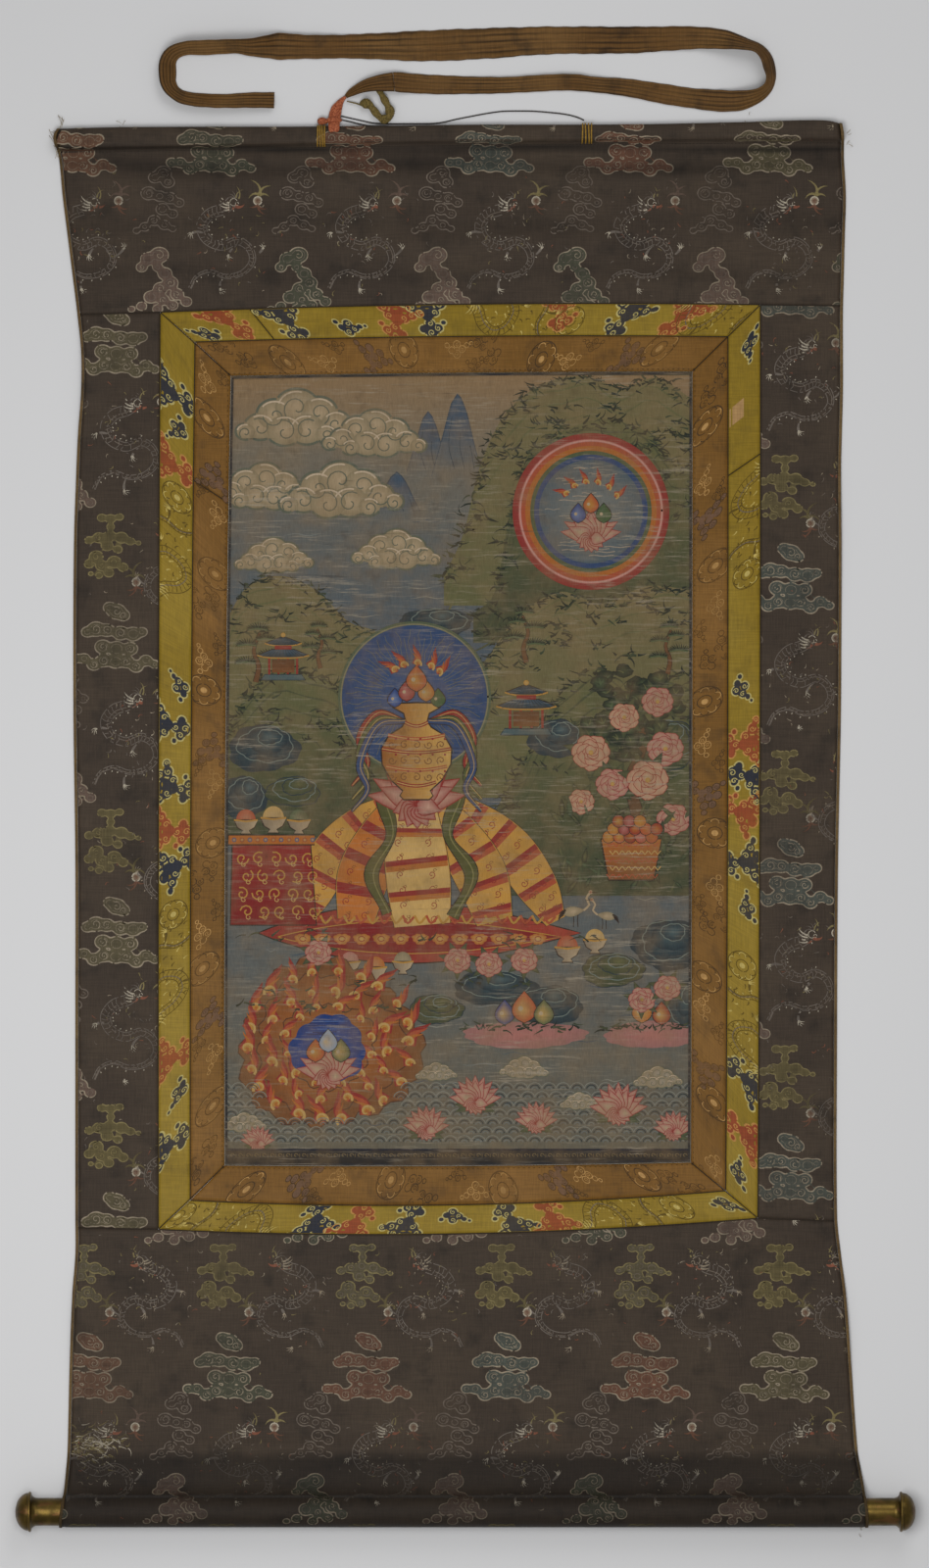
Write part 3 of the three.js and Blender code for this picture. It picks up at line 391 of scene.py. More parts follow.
def sleeve_line():
    """Places, outward directions and run of the cloth's middle line from the table round the roller."""
    y0 = ROLLER_Y + MIDDLE_RADIUS
    a, b, c, d = (np.array(p) for p in (
        (y0 + SLEEVE_RISE, CLOTH / 2), (y0 + SLEEVE_EASE, CLOTH / 2), (y0, AXIS_Z / 4), (y0, AXIS_Z)))
    t = np.linspace(0, 1, 15)[:, None]
    climb = a * (1 - t) ** 3 + 3 * b * t * (1 - t) ** 2 + 3 * c * t ** 2 * (1 - t) + d * t ** 3
    turn = np.radians(np.linspace(0, SLEEVE_TURN, 49)[1:])
    out = np.stack([np.cos(turn), np.sin(turn)], 1)
    round_it = np.array([ROLLER_Y, AXIS_Z]) + out * MIDDLE_RADIUS
    tail = round_it[-1] + np.array([-out[-1][1], out[-1][0]]) * SLEEVE_TAIL
    line = np.vstack([climb, round_it, tail])
    along = heading(line)
    return line, np.stack([along[:, 1], -along[:, 0]], 1), run_along(line)


SLEEVE_LINE, SLEEVE_OUT, SLEEVE_RUN = sleeve_line()


def ring(rows, across):
    """Places of a grid's outline in order, as rows and columns."""
    j = [0] * (across - 1) + list(range(rows - 1)) + [rows - 1] * (across - 1) + list(range(rows - 1, 0, -1))
    i = list(range(across - 1)) + [across - 1] * (rows - 1) + list(range(across - 1, 0, -1)) + [0] * (rows - 1)
    return np.array(j), np.array(i)


def drawn_in(plan):
    """The grid with its outline moved in by half a gap, so that neighbours stay apart."""
    j, i = ring(*plan.shape[:2])
    loop = plan[j, i]
    following = np.roll(loop, -1, axis=0)
    area = np.sum(loop[:, 0] * following[:, 1] - loop[:, 1] * following[:, 0])
    edge = following - loop
    edge /= np.maximum(np.linalg.norm(edge, axis=1, keepdims=True), 1e-9)
    inside = np.stack([-edge[:, 1], edge[:, 0]], 1) * np.sign(area)
    before = np.roll(inside, 1, axis=0)
    plan[j, i] = loop + (before + inside) * (GAP / 2 / (1 + (before * inside).sum(1)))[:, None]
    return plan


def sheet_shape(low, high, sunk=EDGE_SUNK):
    """A closed sheet from grids of low and high points, its upper edge rounded down to the seam."""
    rows, across = low.shape[:2]
    high = high.copy()
    j, i = ring(rows, across)
    high[j, i] += (low[j, i] - high[j, i]) * sunk
    index = np.arange(rows * across).reshape(rows, across)
    top = index + rows * across
    corner = [index[:-1, :-1], index[:-1, 1:], index[1:, 1:], index[1:, :-1]]
    faces = np.stack([c.ravel() for c in corner], 1)
    upper = np.stack([(c + rows * across).ravel() for c in corner[::-1]], 1)
    rim = index[j, i]
    beyond = np.roll(rim, -1)
    wall = np.stack([beyond, rim, rim + rows * across, beyond + rows * across], 1)
    points = np.concatenate([low.reshape(-1, 3), high.reshape(-1, 3)])
    every = np.concatenate([faces, upper, wall])
    a, b, c = points[upper[0][:3]]
    if np.cross(b - a, c - b)[2] < 0:
        every = every[:, ::-1]
    return points, every.tolist()


def lerp(a, b, t):
    """What lies between a and b at a share of the way."""
    a = np.asarray(a, float)
    return a + (b - a) * t


def seam_row(side):
    """Plan points along the seam of the top or bottom panel, from edge to edge of the cloth."""
    first, last = (SIDE_SEAMS[s][0 if side == TOP else 1] for s in (LEFT, RIGHT))
    start, end = np.array([inset(LEFT, first), first]), np.array([inset(RIGHT, last), last])
    shares = np.linspace(0, 1, int(FRAME_WIDE / WEAVE_STEP) + 1)
    middle = on_seam(0, side, shares if side == TOP else 1 - shares)
    outer = np.linspace(0, 1, int(BESIDE_FRAME / WEAVE_STEP), endpoint=False)[:, None]
    return np.vstack([lerp(start, middle[0], outer), middle, lerp(end, middle[-1], outer)[::-1]])


def width_shares(points):
    """The share of the cloth's width at which each point lies."""
    left = inset(LEFT, points[:, 1])
    return (points[:, 0] - left) / (inset(RIGHT, points[:, 1]) - left)


def across_cloth(shares, y):
    """Points at shares of the cloth's width."""
    return np.stack([lerp(inset(LEFT, y), inset(RIGHT, y), shares), y], -1)


def top_grid():
    """Low and high points of the top panel, and how far along the cloth each row is."""
    seam = seam_row(TOP)
    shares = width_shares(seam)
    x = across_cloth(shares, np.full(len(shares), TOP_BAR[0, 2]))[:, 0]
    crease, edge = read(TOP_BAR, 2, x), read(TOP_BAR, 1, x)
    steps = np.linspace(0, 1, int(TOP_REACH / WEAVE_STEP) + 1)[:, None]
    levels = lerp(seam[:, 1], crease, steps)
    deep = np.concatenate([np.linspace(0, BAR_DEPTH, 19)[1:-1], BAR_SECTION[1:3, 0], BAR_SECTION[-2:, 0]])
    deep = np.sort(deep)[:, None]
    levels = np.vstack([levels, lerp(crease, edge, deep / BAR_DEPTH)])
    plan = drawn_in(across_cloth(shares, levels))
    return spread(plan[..., 0], plan[..., 1])


def side_grid(side):
    """Low and high points of a side panel."""
    levels = np.linspace(0, 1, int(SIDE_LONG / WEAVE_STEP) + 1)
    y = lerp(*SIDE_SEAMS[side], levels)
    outer = np.stack([inset(side, y), y], -1)
    seam = on_seam(0, side, levels if side == RIGHT else 1 - levels)
    steps = np.linspace(0, 1, int(SIDE_WIDE / WEAVE_STEP) + 1)[None, :, None]
    plan = drawn_in(lerp(outer[:, None, :], seam[:, None, :], steps))
    return spread(plan[..., 0], plan[..., 1])


def bottom_grid():
    """The bottom panel on the table, then up to the roller, round it and back to the crease."""
    seam = seam_row(BOTTOM)
    shares = width_shares(seam)
    steps = np.linspace(0, 1, int(BOTTOM_REACH / WEAVE_STEP) + 1)[:, None]
    plan = drawn_in(across_cloth(shares, lerp(seam[:, 1], SLEEVE_START, steps)))
    low, high = spread(plan[..., 0], plan[..., 1])
    y = SLEEVE_LINE[1:, 0]
    inner = [across_cloth(s, y)[:, 0] + GAP / 2 - GAP * s for s in shares]
    x = np.stack(inner, 1)
    layers = []
    for offset in (-CLOTH / 2, CLOTH / 2):
        point = SLEEVE_LINE[1:] + SLEEVE_OUT[1:] * offset
        point = np.broadcast_to(point[:, None, :], (*x.shape, 2))
        layers.append(np.concatenate([x[..., None], point], -1))
    return np.vstack([low, layers[0]]), np.vstack([high, layers[1]])


def new_group(name, inputs, outputs):
    """A shader node group with its sockets, and its input and output nodes."""
    group = bpy.data.node_groups.new(name, "ShaderNodeTree")
    for key, kind, value in inputs:
        socket = group.interface.new_socket(key, in_out="INPUT", socket_type=kind)
        if value is not None:
            socket.default_value = value
    for key, kind in outputs:
        group.interface.new_socket(key, in_out="OUTPUT", socket_type=kind)
    return group, group.nodes.new("NodeGroupInput"), group.nodes.new("NodeGroupOutput")


def maths(tree, operation, first, second=0.0, third=0.0):
    """The result of one maths node."""
    return node(tree, "ShaderNodeMath", {0: first, 1: second, 2: third}, operation=operation).outputs[0]


def blend(tree, share, first, second, kind="MIX"):
    """The colour between two colours, or their product or screen."""
    mix = node(tree, "ShaderNodeMix", data_type="RGBA", blend_type=kind)
    for socket, value in ((mix.inputs[0], share), (mix.inputs[6], first), (mix.inputs[7], second)):
        if isinstance(value, bpy.types.NodeSocket):
            tree.links.new(value, socket)
        elif hasattr(value, "__len__"):
            socket.default_value = (*value[:3], 1)
        else:
            socket.default_value = value
    return mix.outputs[2]


def noise(tree, vector, scale, detail=4.0, stretch=(1, 1, 1), roughness=0.55):
    """Noise in metres, stretched along an axis where its factor is small."""
    place = node(tree, "ShaderNodeMapping", {"Vector": vector, "Scale": stretch})
    return node(tree, "ShaderNodeTexNoise", {
        "Vector": place.outputs[0], "Scale": scale, "Detail": detail, "Roughness": roughness}).outputs["Fac"]


def between(tree, value, low, high):
    """0 below low, 1 above high."""
    return node(tree, "ShaderNodeMapRange", {"Value": value, "From Min": low, "From Max": high},
                interpolation_type="SMOOTHSTEP").outputs[0]


def weave_group():
    """Ribs along the cloth, finer threads across it, and slubs in both: a height and a tone."""
    group, given, gives = new_group(
        "weave", [("Vector", "NodeSocketVector", None), ("Rib", "NodeSocketFloat", 0.0014),
                  ("Thread", "NodeSocketFloat", 0.0006), ("Uneven", "NodeSocketFloat", 0.5)],
        [("Height", "NodeSocketFloat"), ("Tone", "NodeSocketFloat")])
    vector = given.outputs["Vector"]
    drift = noise(group, vector, 60.0, 2.0)
    part = node(group, "ShaderNodeSeparateXYZ", {0: vector})
    waves = []
    for axis, pitch in ((0, "Rib"), (1, "Thread")):
        turns = maths(group, "DIVIDE", part.outputs[axis], given.outputs[pitch])
        turns = maths(group, "ADD", turns, maths(group, "MULTIPLY", drift, 1.6))
        wave = maths(group, "SINE", maths(group, "MULTIPLY", turns, 2 * math.pi))
        waves.append(maths(group, "MULTIPLY_ADD", wave, 0.5, 0.5))
    slub_down = noise(group, vector, 900.0, 2.0, (1, 0.06, 1))
    slub_across = noise(group, vector, 700.0, 2.0, (0.05, 1, 1))
    height = maths(group, "ADD", maths(group, "MULTIPLY", waves[0], 0.6),
                   maths(group, "MULTIPLY", waves[1], 0.4))
    uneven = maths(group, "ADD", slub_down, slub_across)
    tone = maths(group, "MULTIPLY_ADD", maths(group, "SUBTRACT", uneven, 1.0), given.outputs["Uneven"], 0.5)
    tone = maths(group, "MULTIPLY_ADD", maths(group, "SUBTRACT", height, 0.5), 0.22, tone)
    group.links.new(maths(group, "MULTIPLY_ADD", uneven, 0.4, height), gives.inputs["Height"])
    group.links.new(tone, gives.inputs["Tone"])
    return group


def ageing_group():
    """Fading, grime and rubbed places over a colour: broad patches, small stains and pale scuffs."""
    group, given, gives = new_group(
        "ageing", [("Vector", "NodeSocketVector", None), ("Color", "NodeSocketColor", None),
                   ("Fade", "NodeSocketColor", None), ("Fading", "NodeSocketFloat", 0.4),
                   ("Grime", "NodeSocketFloat", 0.4), ("Scuffs", "NodeSocketFloat", 0.2)],
        [("Color", "NodeSocketColor")])
    vector = given.outputs["Vector"]
    patch = between(group, noise(group, vector, 9.0, 3.0), 0.38, 0.68)
    colour = blend(group, maths(group, "MULTIPLY", patch, given.outputs["Fading"]), given.outputs["Color"],
                   given.outputs["Fade"])
    stain = between(group, noise(group, vector, 34.0, 5.0), 0.50, 0.74)
    colour = blend(group, maths(group, "MULTIPLY", stain, given.outputs["Grime"]), colour,
                   (0.012, 0.010, 0.008))
    scuff = between(group, noise(group, vector, 240.0, 3.0, (1, 0.5, 1)), 0.62, 0.80)
    colour = blend(group, maths(group, "MULTIPLY", scuff, given.outputs["Scuffs"]), colour,
                   given.outputs["Fade"])
    group.links.new(colour, gives.inputs["Color"])
    return group


WEAVE = weave_group()
AGEING = ageing_group()


def woven_finish(name, colour, fade, rib, thread, uneven, fading, grime, scuffs, roughness, depth, sheen=0.0):
    """Cloth: its own colour, or else each thread's dye, aged, with the weave as tone and relief, and painted
    shade.
    """
    made, tree, shader = new_material(name, roughness, 0.10)
    spot = node(tree, "ShaderNodeAttribute", attribute_name="cloth").outputs["Vector"]
    weave = node(tree, "ShaderNodeGroup", node_tree=WEAVE)
    ageing = node(tree, "ShaderNodeGroup", node_tree=AGEING)
    for group, values in ((weave, {"Rib": rib, "Thread": thread, "Uneven": uneven}),
                          (ageing, {"Fade": (*fade, 1), "Fading": fading, "Grime": grime, "Scuffs": scuffs})):
        tree.links.new(spot, group.inputs["Vector"])
        for key, value in values.items():
            group.inputs[key].default_value = value
    if colour is None:
        dye = node(tree, "ShaderNodeAttribute", attribute_name="dye").outputs["Color"]
        tree.links.new(dye, ageing.inputs["Color"])
    else:
        ageing.inputs["Color"].default_value = (*colour, 1)
    tone = maths(tree, "MULTIPLY_ADD", weave.outputs["Tone"], 1.1, 0.45)
    # Painted shade: the sheet's shade attribute darkens the tone
    painted_shade = node(tree, "ShaderNodeAttribute", attribute_name="painted_shade").outputs["Fac"]
    tone = maths(tree, "MULTIPLY", tone, maths(tree, "SUBTRACT", 1.0, painted_shade))
    shade = node(tree, "ShaderNodeCombineColor", {0: tone, 1: tone, 2: tone}).outputs[0]
    tree.links.new(blend(tree, 1.0, ageing.outputs["Color"], shade, "MULTIPLY"), shader.inputs["Base Color"])
    bump = node(tree, "ShaderNodeBump", {"Height": weave.outputs["Height"], "Strength": 0.6, "Distance": depth})
    tree.links.new(bump.outputs["Normal"], shader.inputs["Normal"])
    if sheen:
        shader.inputs["Sheen Weight"].default_value = sheen
        shader.inputs["Sheen Roughness"].default_value = 0.4
    return made


BROCADE_DARK = chart(55, 46, 38)
BROCADE_WORN = chart(70, 59, 47)
brocade = woven_finish("brocade", BROCADE_DARK, BROCADE_WORN, 0.0014, 0.0006, 0.55, 0.45, 0.5, 0.5, 0.55,
                       0.0002,
                       sheen=0.05)


def cloth_places(low, high):
    """Where each point of a sheet is on the flat cloth, in metres, for its weave."""
    rows, across = low.shape[:2]
    middle = (low + high) / 2
    steps = np.linalg.norm(np.diff(middle[:, :, 1:], axis=0), axis=2)
    run = np.concatenate([np.zeros((1, across)), np.cumsum(steps, axis=0)])
    down = middle[:1, :, 1] + np.sign(middle[-1, 0, 1] - middle[0, 0, 1]) * run
    place = np.stack([middle[..., 0], down, np.zeros_like(down)], -1).reshape(-1, 3) * MM
    return np.concatenate([place, place])


# Painted shade on the brocade, darkest in its hollows and round the roller: y on the flat cloth, half height
# and how much darker
HOLLOW_SHADES = [(642.5, 3.6, 0.80), (625, 9, 0.46), (566, 10, 0.20), (514, 8, 0.18), (-697, 8, 0.20),
           (-724, 9, 0.40), (-734, 5, 0.62)]
# Painted shade over the whole sleeve round the roller
SLEEVE_SHADE = 0.55


def painted_shade_at(plan):
    """How much painted shade darkens the brocade at places on the flat cloth."""
    u, v = plan[:, 0], plan[:, 1]
    painted_shade = SLEEVE_SHADE * ease((SLEEVE_START - v) / 10)
    for k, (middle, half, strength) in enumerate(HOLLOW_SHADES):
        sway = 0.4 * half * np.sin(u / 67 + 2 * k)
        patchy = 0.78 + 0.22 * np.sin(u / 41 + 3 * k)
        painted_shade = np.maximum(painted_shade, strength * patchy * np.exp(-((v - middle - sway) / half) ** 2))
    return painted_shade


def sew_sheet(name, low, high, finish, slot, sunk=EDGE_SUNK):
    """A sheet of cloth with its places on the cloth, and painted shade on brocade and binding, as attributes.
    """
    places = cloth_places(low, high)
    painted_shade = painted_shade_at(places[:, :2] / MM) if slot in ("brocade", "binding") else np.zeros(len(places))
    return make(name, sheet_shape(low, high, sunk), finish,
                {"cloth": ("FLOAT_VECTOR", places), "painted_shade": ("FLOAT", painted_shade)})


# Width and length of each panel as it was cut, and its area where it isn't a rectangle
PANELS = {
    "panel_top": (top_grid, (0.805, 0.225), 0.166),
    "panel_left": (lambda: side_grid(LEFT), (0.094, 0.935), 0.079),
    "panel_right": (lambda: side_grid(RIGHT), (0.086, 0.935), 0.075),
    "panel_bottom": (bottom_grid, (0.818, 0.400), 0.309),
}
for panel_name, (grid, *_) in PANELS.items():
    sew_sheet(panel_name + "_brocade", *grid(), brocade, "brocade")
    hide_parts(panel_name)

# The binding: a narrow strip of golden brown silk, folded over each outer edge of the brocade from
# the top bar down and round the roller.
binding_finish = woven_finish("binding_silk", chart(84, 66, 40), chart(112, 92, 58), 0.0011, 0.0007, 0.8, 0.5,
                              0.6,
                              0.6, 0.6, 0.0002)


def binding_grid(side):
    """Low and high points of a binding, from the far edge of the bar round to the sleeve's seam."""
    x0 = float(inset(side, TOP_BAR[0, 2]))
    crease, edge = float(read(TOP_BAR, 2, x0)), float(read(TOP_BAR, 1, x0))
    deep = np.array(sorted({*np.linspace(0, BAR_DEPTH, 15), *BAR_SECTION[1:, 0]}))
    over = crease + (edge - crease) * deep / BAR_DEPTH
    y = np.concatenate([over[::-1], np.linspace(crease, SLEEVE_START, int(BINDING_LONG / WEAVE_STEP))[1:]])
    inward = 1 if side == LEFT else -1
    widths = np.array([0, 0.6, 1.5, 2.4, BINDING_WIDTH - GAP / 2]) * inward
    crown = np.array([-0.45, -0.05, 0.0, -0.02, -0.12])
    column = 1 if side == LEFT else 2
    lows, highs = [], []
    for width, rise in zip(widths, crown):
        low, high = spread(read(SELVEDGE, column, y) + width, y, BINDING_PROUD + rise)
        turned_x = read(SELVEDGE, column, SLEEVE_LINE[1:, 0]) + width
        for layers, flat, offset in ((lows, low, -CLOTH / 2), (highs, high, CLOTH / 2 + BINDING_PROUD + rise)):
            point = SLEEVE_LINE[1:] + SLEEVE_OUT[1:] * offset
            layers.append(np.vstack([flat, np.concatenate([turned_x[:, None], point], 1)]))
    return np.stack(lows, 1), np.stack(highs, 1)


for side, side_name in ((LEFT, "left"), (RIGHT, "right")):
    strip = sew_sheet(f"binding_{side_name}_silk", *binding_grid(side), binding_finish, "binding", sunk=0.0)
    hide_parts(f"binding_{side_name}")

# The silk frame: an outer yellow and an inner orange strip on each side of the painting, mitred at
# the corners. Three of the strips are pieced from two lengths.
YELLOW = chart(120, 98, 26)
YELLOW_WORN = chart(138, 116, 44)
ORANGE = chart(102, 71, 28)
ORANGE_WORN = chart(122, 88, 44)
yellow_silk = woven_finish("yellow_silk", YELLOW, YELLOW_WORN, 0.0009, 0.0011, 0.55, 0.5, 0.22, 0.4, 0.45,
                           0.00012,
                           sheen=0.05)
orange_silk = woven_finish("orange_silk", ORANGE, ORANGE_WORN, 0.0009, 0.0011, 0.6, 0.55, 0.4, 0.45, 0.5,
                           0.00012)
SIDE_NAMES = {TOP: "top", RIGHT: "right", BOTTOM: "bottom", LEFT: "left"}
PIECED = {"yellow_top": 0.149, "yellow_right": 0.163, "orange_left": 0.839}


def strip_grid(seam, side, start, end):
    """Low and high points of a length of one strip of the frame."""
    length = float(np.linalg.norm(on_seam(seam, side, end) - on_seam(seam, side, start)))
    shares = np.linspace(start, end, max(int(length / WEAVE_STEP), 2) + 1)
    outer, inner = on_seam(seam, side, shares), on_seam(seam + 1, side, shares)
    steps = np.linspace(0, 1, 10)[:, None, None]
    plan = drawn_in(lerp(outer[None], inner[None], steps))
    return spread(plan[..., 0], plan[..., 1])


for seam, (silk, finish) in enumerate((("yellow", yellow_silk), ("orange", orange_silk))):
    for side, side_name in SIDE_NAMES.items():
        whole = f"{silk}_{side_name}"
        cut = PIECED.get(whole)
        lengths = ((0, cut, whole + "_1"), (cut, 1, whole + "_2")) if cut else ((0, 1, whole),)
        for start, end, strip_name in lengths:
            low, high = strip_grid(seam, side, start, end)
            strip = sew_sheet(strip_name + "_silk", low, high, finish, silk + "_silk")
            run = float(run_along((low[0] + low[-1]) / 2)[-1])
            wide = float(np.linalg.norm(low[0] - low[-1], axis=1).mean())
            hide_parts(strip_name)

# The canvas: fine cotton primed with chalk and glue, sewn into the frame on all four sides, and
# stretched by it.
CANVAS = 1.1
canvas_ground, tree, shader = new_material("canvas_ground", 0.85, 0.12)
shader.inputs["Base Color"].default_value = (*chart(92, 84, 64), 1)
down, across = np.linspace(0, 1, 161)[:, None], np.linspace(0, 1, 96)
left, right = on_seam(2, LEFT, 1 - down[:, 0])[:, None], on_seam(2, RIGHT, down[:, 0])[:, None]
top, bottom = on_seam(2, TOP, across), on_seam(2, BOTTOM, 1 - across)
plan = lerp(left, right, across[:, None])
plan = plan + lerp(top - lerp(top[0], top[-1], across[:, None]),
                   bottom - lerp(bottom[0], bottom[-1], across[:, None]),
                   down[..., None])
plan = drawn_in(plan)
canvas_low = np.concatenate([plan, np.zeros((*plan.shape[:2], 1))], -1)
canvas_high = canvas_low + (0, 0, CANVAS)
canvas = sew_sheet("canvas_cotton", canvas_low, canvas_high, canvas_ground, "painted_cotton", sunk=0.3)
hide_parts("canvas")

# The woven figures of the brocade: clouds, flaming pearls and dragons in dull coloured silk, which
# float over the ground weave in one repeat and stand a thread's thickness proud of it.
FIGURE_RISE = 0.10
THREAD_EDGE = 0.07
THREAD_RISE = 0.30


def beside(line, width):
    """The steps from each point of a line to its left edge."""
    along = heading(line)
    return np.stack([-along[:, 1], along[:, 0]], 1) * np.broadcast_to(np.asarray(width) / 2, len(line))[:, None]


class Design:
    """Flat figures gathered for one mesh: points in plan, their rise, their dye and their faces."""

    def __init__(self):
        self.points, self.rises, self.dyes, self.faces = [], [], [], []
        self.count = 0
        self.place = (0.0, 0.0, 1.0, 1.0, 0.0)
        self.worn = 0.0
        self.chance = np.random.default_rng(8)

    def at(self, x, y, size=1.0, flip=1.0, turn=0.0):
        self.place = (x, y, size, flip, math.radians(turn))
        return self

    def placed(self, points):
        """The points sized, flipped, turned and moved to where the design is."""
        x, y, size, flip, turn = self.place
        cos, sin = math.cos(turn), math.sin(turn)
        return np.asarray(points, float) * (size * flip, size) @ np.array([(cos, sin), (-sin, cos)]) + (x, y)

    def add(self, points, rises, dyes, faces):
        points = self.placed(points)
        faces = np.asarray(faces, int) + self.count
        self.points.append(points)
        self.rises.append(np.broadcast_to(rises, len(points)))
        self.dyes.append(np.broadcast_to(np.asarray(dyes, float), (len(points), 3)))
        self.faces.append(faces if self.place[3] > 0 else faces[:, ::-1])
        self.count += len(points)

    def ribbon(self, line, width, dye, ridge=True):
        """A line of thread or paint: raised along its middle, or flat."""
        line = np.asarray(line, float)
        count = len(line)
        side = beside(line, width)
        k = np.arange(count - 1)
        if self.worn:
            k = k[self.chance.random(count - 1) >= self.worn]
        if ridge:
            points = np.concatenate([line + side, line, line - side])
            rises = np.repeat([THREAD_EDGE, THREAD_RISE, THREAD_EDGE], count)
            lanes = (0, count)
        else:
            points = np.concatenate([line + side, line - side])
            rises = 0.0
            lanes = (0,)
        quads = [np.stack([k + s, k + s + count, k + s + count + 1, k + s + 1], 1) for s in lanes]
        if np.ndim(dye) == 2:
            dye = np.concatenate([dye] * (len(points) // count))
        self.add(points, rises, dye, np.concatenate(quads))

    def fan(self, outline, dye, middle=None, centre=None, rise=FIGURE_RISE):
        """A filled round shape, its middle of another dye if asked."""
        outline = np.asarray(outline, float)
        count = len(outline)
        k = np.arange(count)
        hub = outline.mean(0) if centre is None else np.asarray(centre, float)
        dyes = np.concatenate([np.broadcast_to(dye, (count, 3)), [dye if middle is None else middle]])
        self.add(np.concatenate([outline, hub[None]]), rise, dyes,
                 np.stack([k, (k + 1) % count, np.full(count, count), np.full(count, count)], 1))

    def gathered(self):
        faces = [tuple(dict.fromkeys(face)) for face in np.concatenate(self.faces).tolist()]
        return (np.concatenate(self.points), np.concatenate(self.rises), np.concatenate(self.dyes), faces)


def circle(x, y, radius, steps=14, start=0.0, turn=2 * math.pi, oval=1.0):
    """Points round a circle or part of it."""
    angle = start + np.linspace(0, turn, steps, endpoint=turn < 6.28)
    return np.stack([x + radius * np.cos(angle), y + radius * oval * np.sin(angle)], 1)


def looped(outline):
    """The outline with its first point again at its end."""
    return np.vstack([outline, outline[:1]])


def spiral(x, y, radius, turns=1.25, start=0.0, flip=1, steps=16):
    """A line that winds inwards, as in a curl."""
    t = np.linspace(0, 1, steps)
    angle = start + flip * t * turns * 2 * math.pi
    reach = radius * (1 - 0.85 * t)
    return np.stack([x + reach * np.cos(angle), y + reach * np.sin(angle)], 1)


def runs(mask):
    """First and last place of each run of true values."""
    edges = np.flatnonzero(np.diff(np.concatenate([[0], mask.astype(int), [0]])))
    return list(zip(edges[::2], edges[1::2]))


LUMP_OVAL = 0.84


def cloud(design, lumps, fill, line, width=1.1, curls=0.6, ridge=True, middle=None):
    """A scalloped cloud: round lumps, a line round the outside of them all, and a curl in each."""
    lumps = np.array(lumps, float)
    for k, (x, y, radius) in enumerate(lumps):
        if fill is not None:
            design.fan(circle(x, y, radius, 14, oval=LUMP_OVAL), fill, middle, rise=FIGURE_RISE + 0.002 * k)
    for k, (x, y, radius) in enumerate(lumps):
        others = np.delete(lumps, k, 0)
        steps = max(int(radius * 2.6), 12)
        rim = circle(x, y, radius, steps + 1, start=0.7 * k, oval=LUMP_OVAL)
        rim[-1] = rim[0]
        gap = np.hypot(rim[:, None, 0] - others[:, 0], (rim[:, None, 1] - others[:, 1]) / LUMP_OVAL)
        outside = (gap > others[:, 2] - 0.2).all(1)
        for start, end in runs(outside):
            if end - start > 2:
                design.ribbon(rim[start:end], width, line, ridge)
        if curls and radius > 4 and k % 3 != 1:
            flip = 1 if x < lumps[:, 0].mean() else -1
            design.ribbon(spiral(x, y, radius * curls, 1.2, 2.1 + k, flip, 12), width * 0.7, line, ridge)


# Clouds of lumps that run into each other, on a grid on which their outline is found
GRID = 1.25
SWELL = 1.1
MELT = 1.1
FOLD_INSET = 3.1
FOLD_WEAR = 2.5
CURL_SHARE = 0.6
CLOUD_MARGIN = 13
FULL_DEPTH = 6
LEAST_SLOPE = 0.3
CLOUD_FORMS = {}


def closed_lines(field, xs, ys):
    """The closed lines on which a field over a grid is zero, with its higher side on their left."""
    inside = field > 0
    onward, crossing = {}, {}
    mixed = inside[:-1, :-1].astype(int) + inside[1:, :-1] + inside[:-1, 1:] + inside[1:, 1:]
    for i, j in zip(*np.nonzero((mixed > 0) & (mixed < 4))):
        corners = [(i, j), (i, j + 1), (i + 1, j + 1), (i + 1, j)]
        ends = []
        for a, b in zip(corners, corners[1:] + corners[:1]):
            if inside[a] != inside[b]:
                share = field[a] / (field[a] - field[b])
                edge = (min(a, b), max(a, b))
                crossing[edge] = lerp(xs[a[1]], xs[b[1]], share), lerp(ys[a[0]], ys[b[0]], share)
                ends.append((inside[a], edge))
        for k, (leaving, edge) in enumerate(ends):
            if leaving:
                onward[edge] = ends[(k + 1) % len(ends)][1]
    lines = []
    while onward:
        edge = next(iter(onward))
        line = []
        while edge in onward:
            line.append(crossing[edge])
            edge = onward.pop(edge)
        line = np.array(line)
        line = (np.roll(line, 1, 0) + 2 * line + np.roll(line, -1, 0)) / 4
        line = line[::2] if len(line) > 16 else line
        lines.append(looped(line))
    return lines


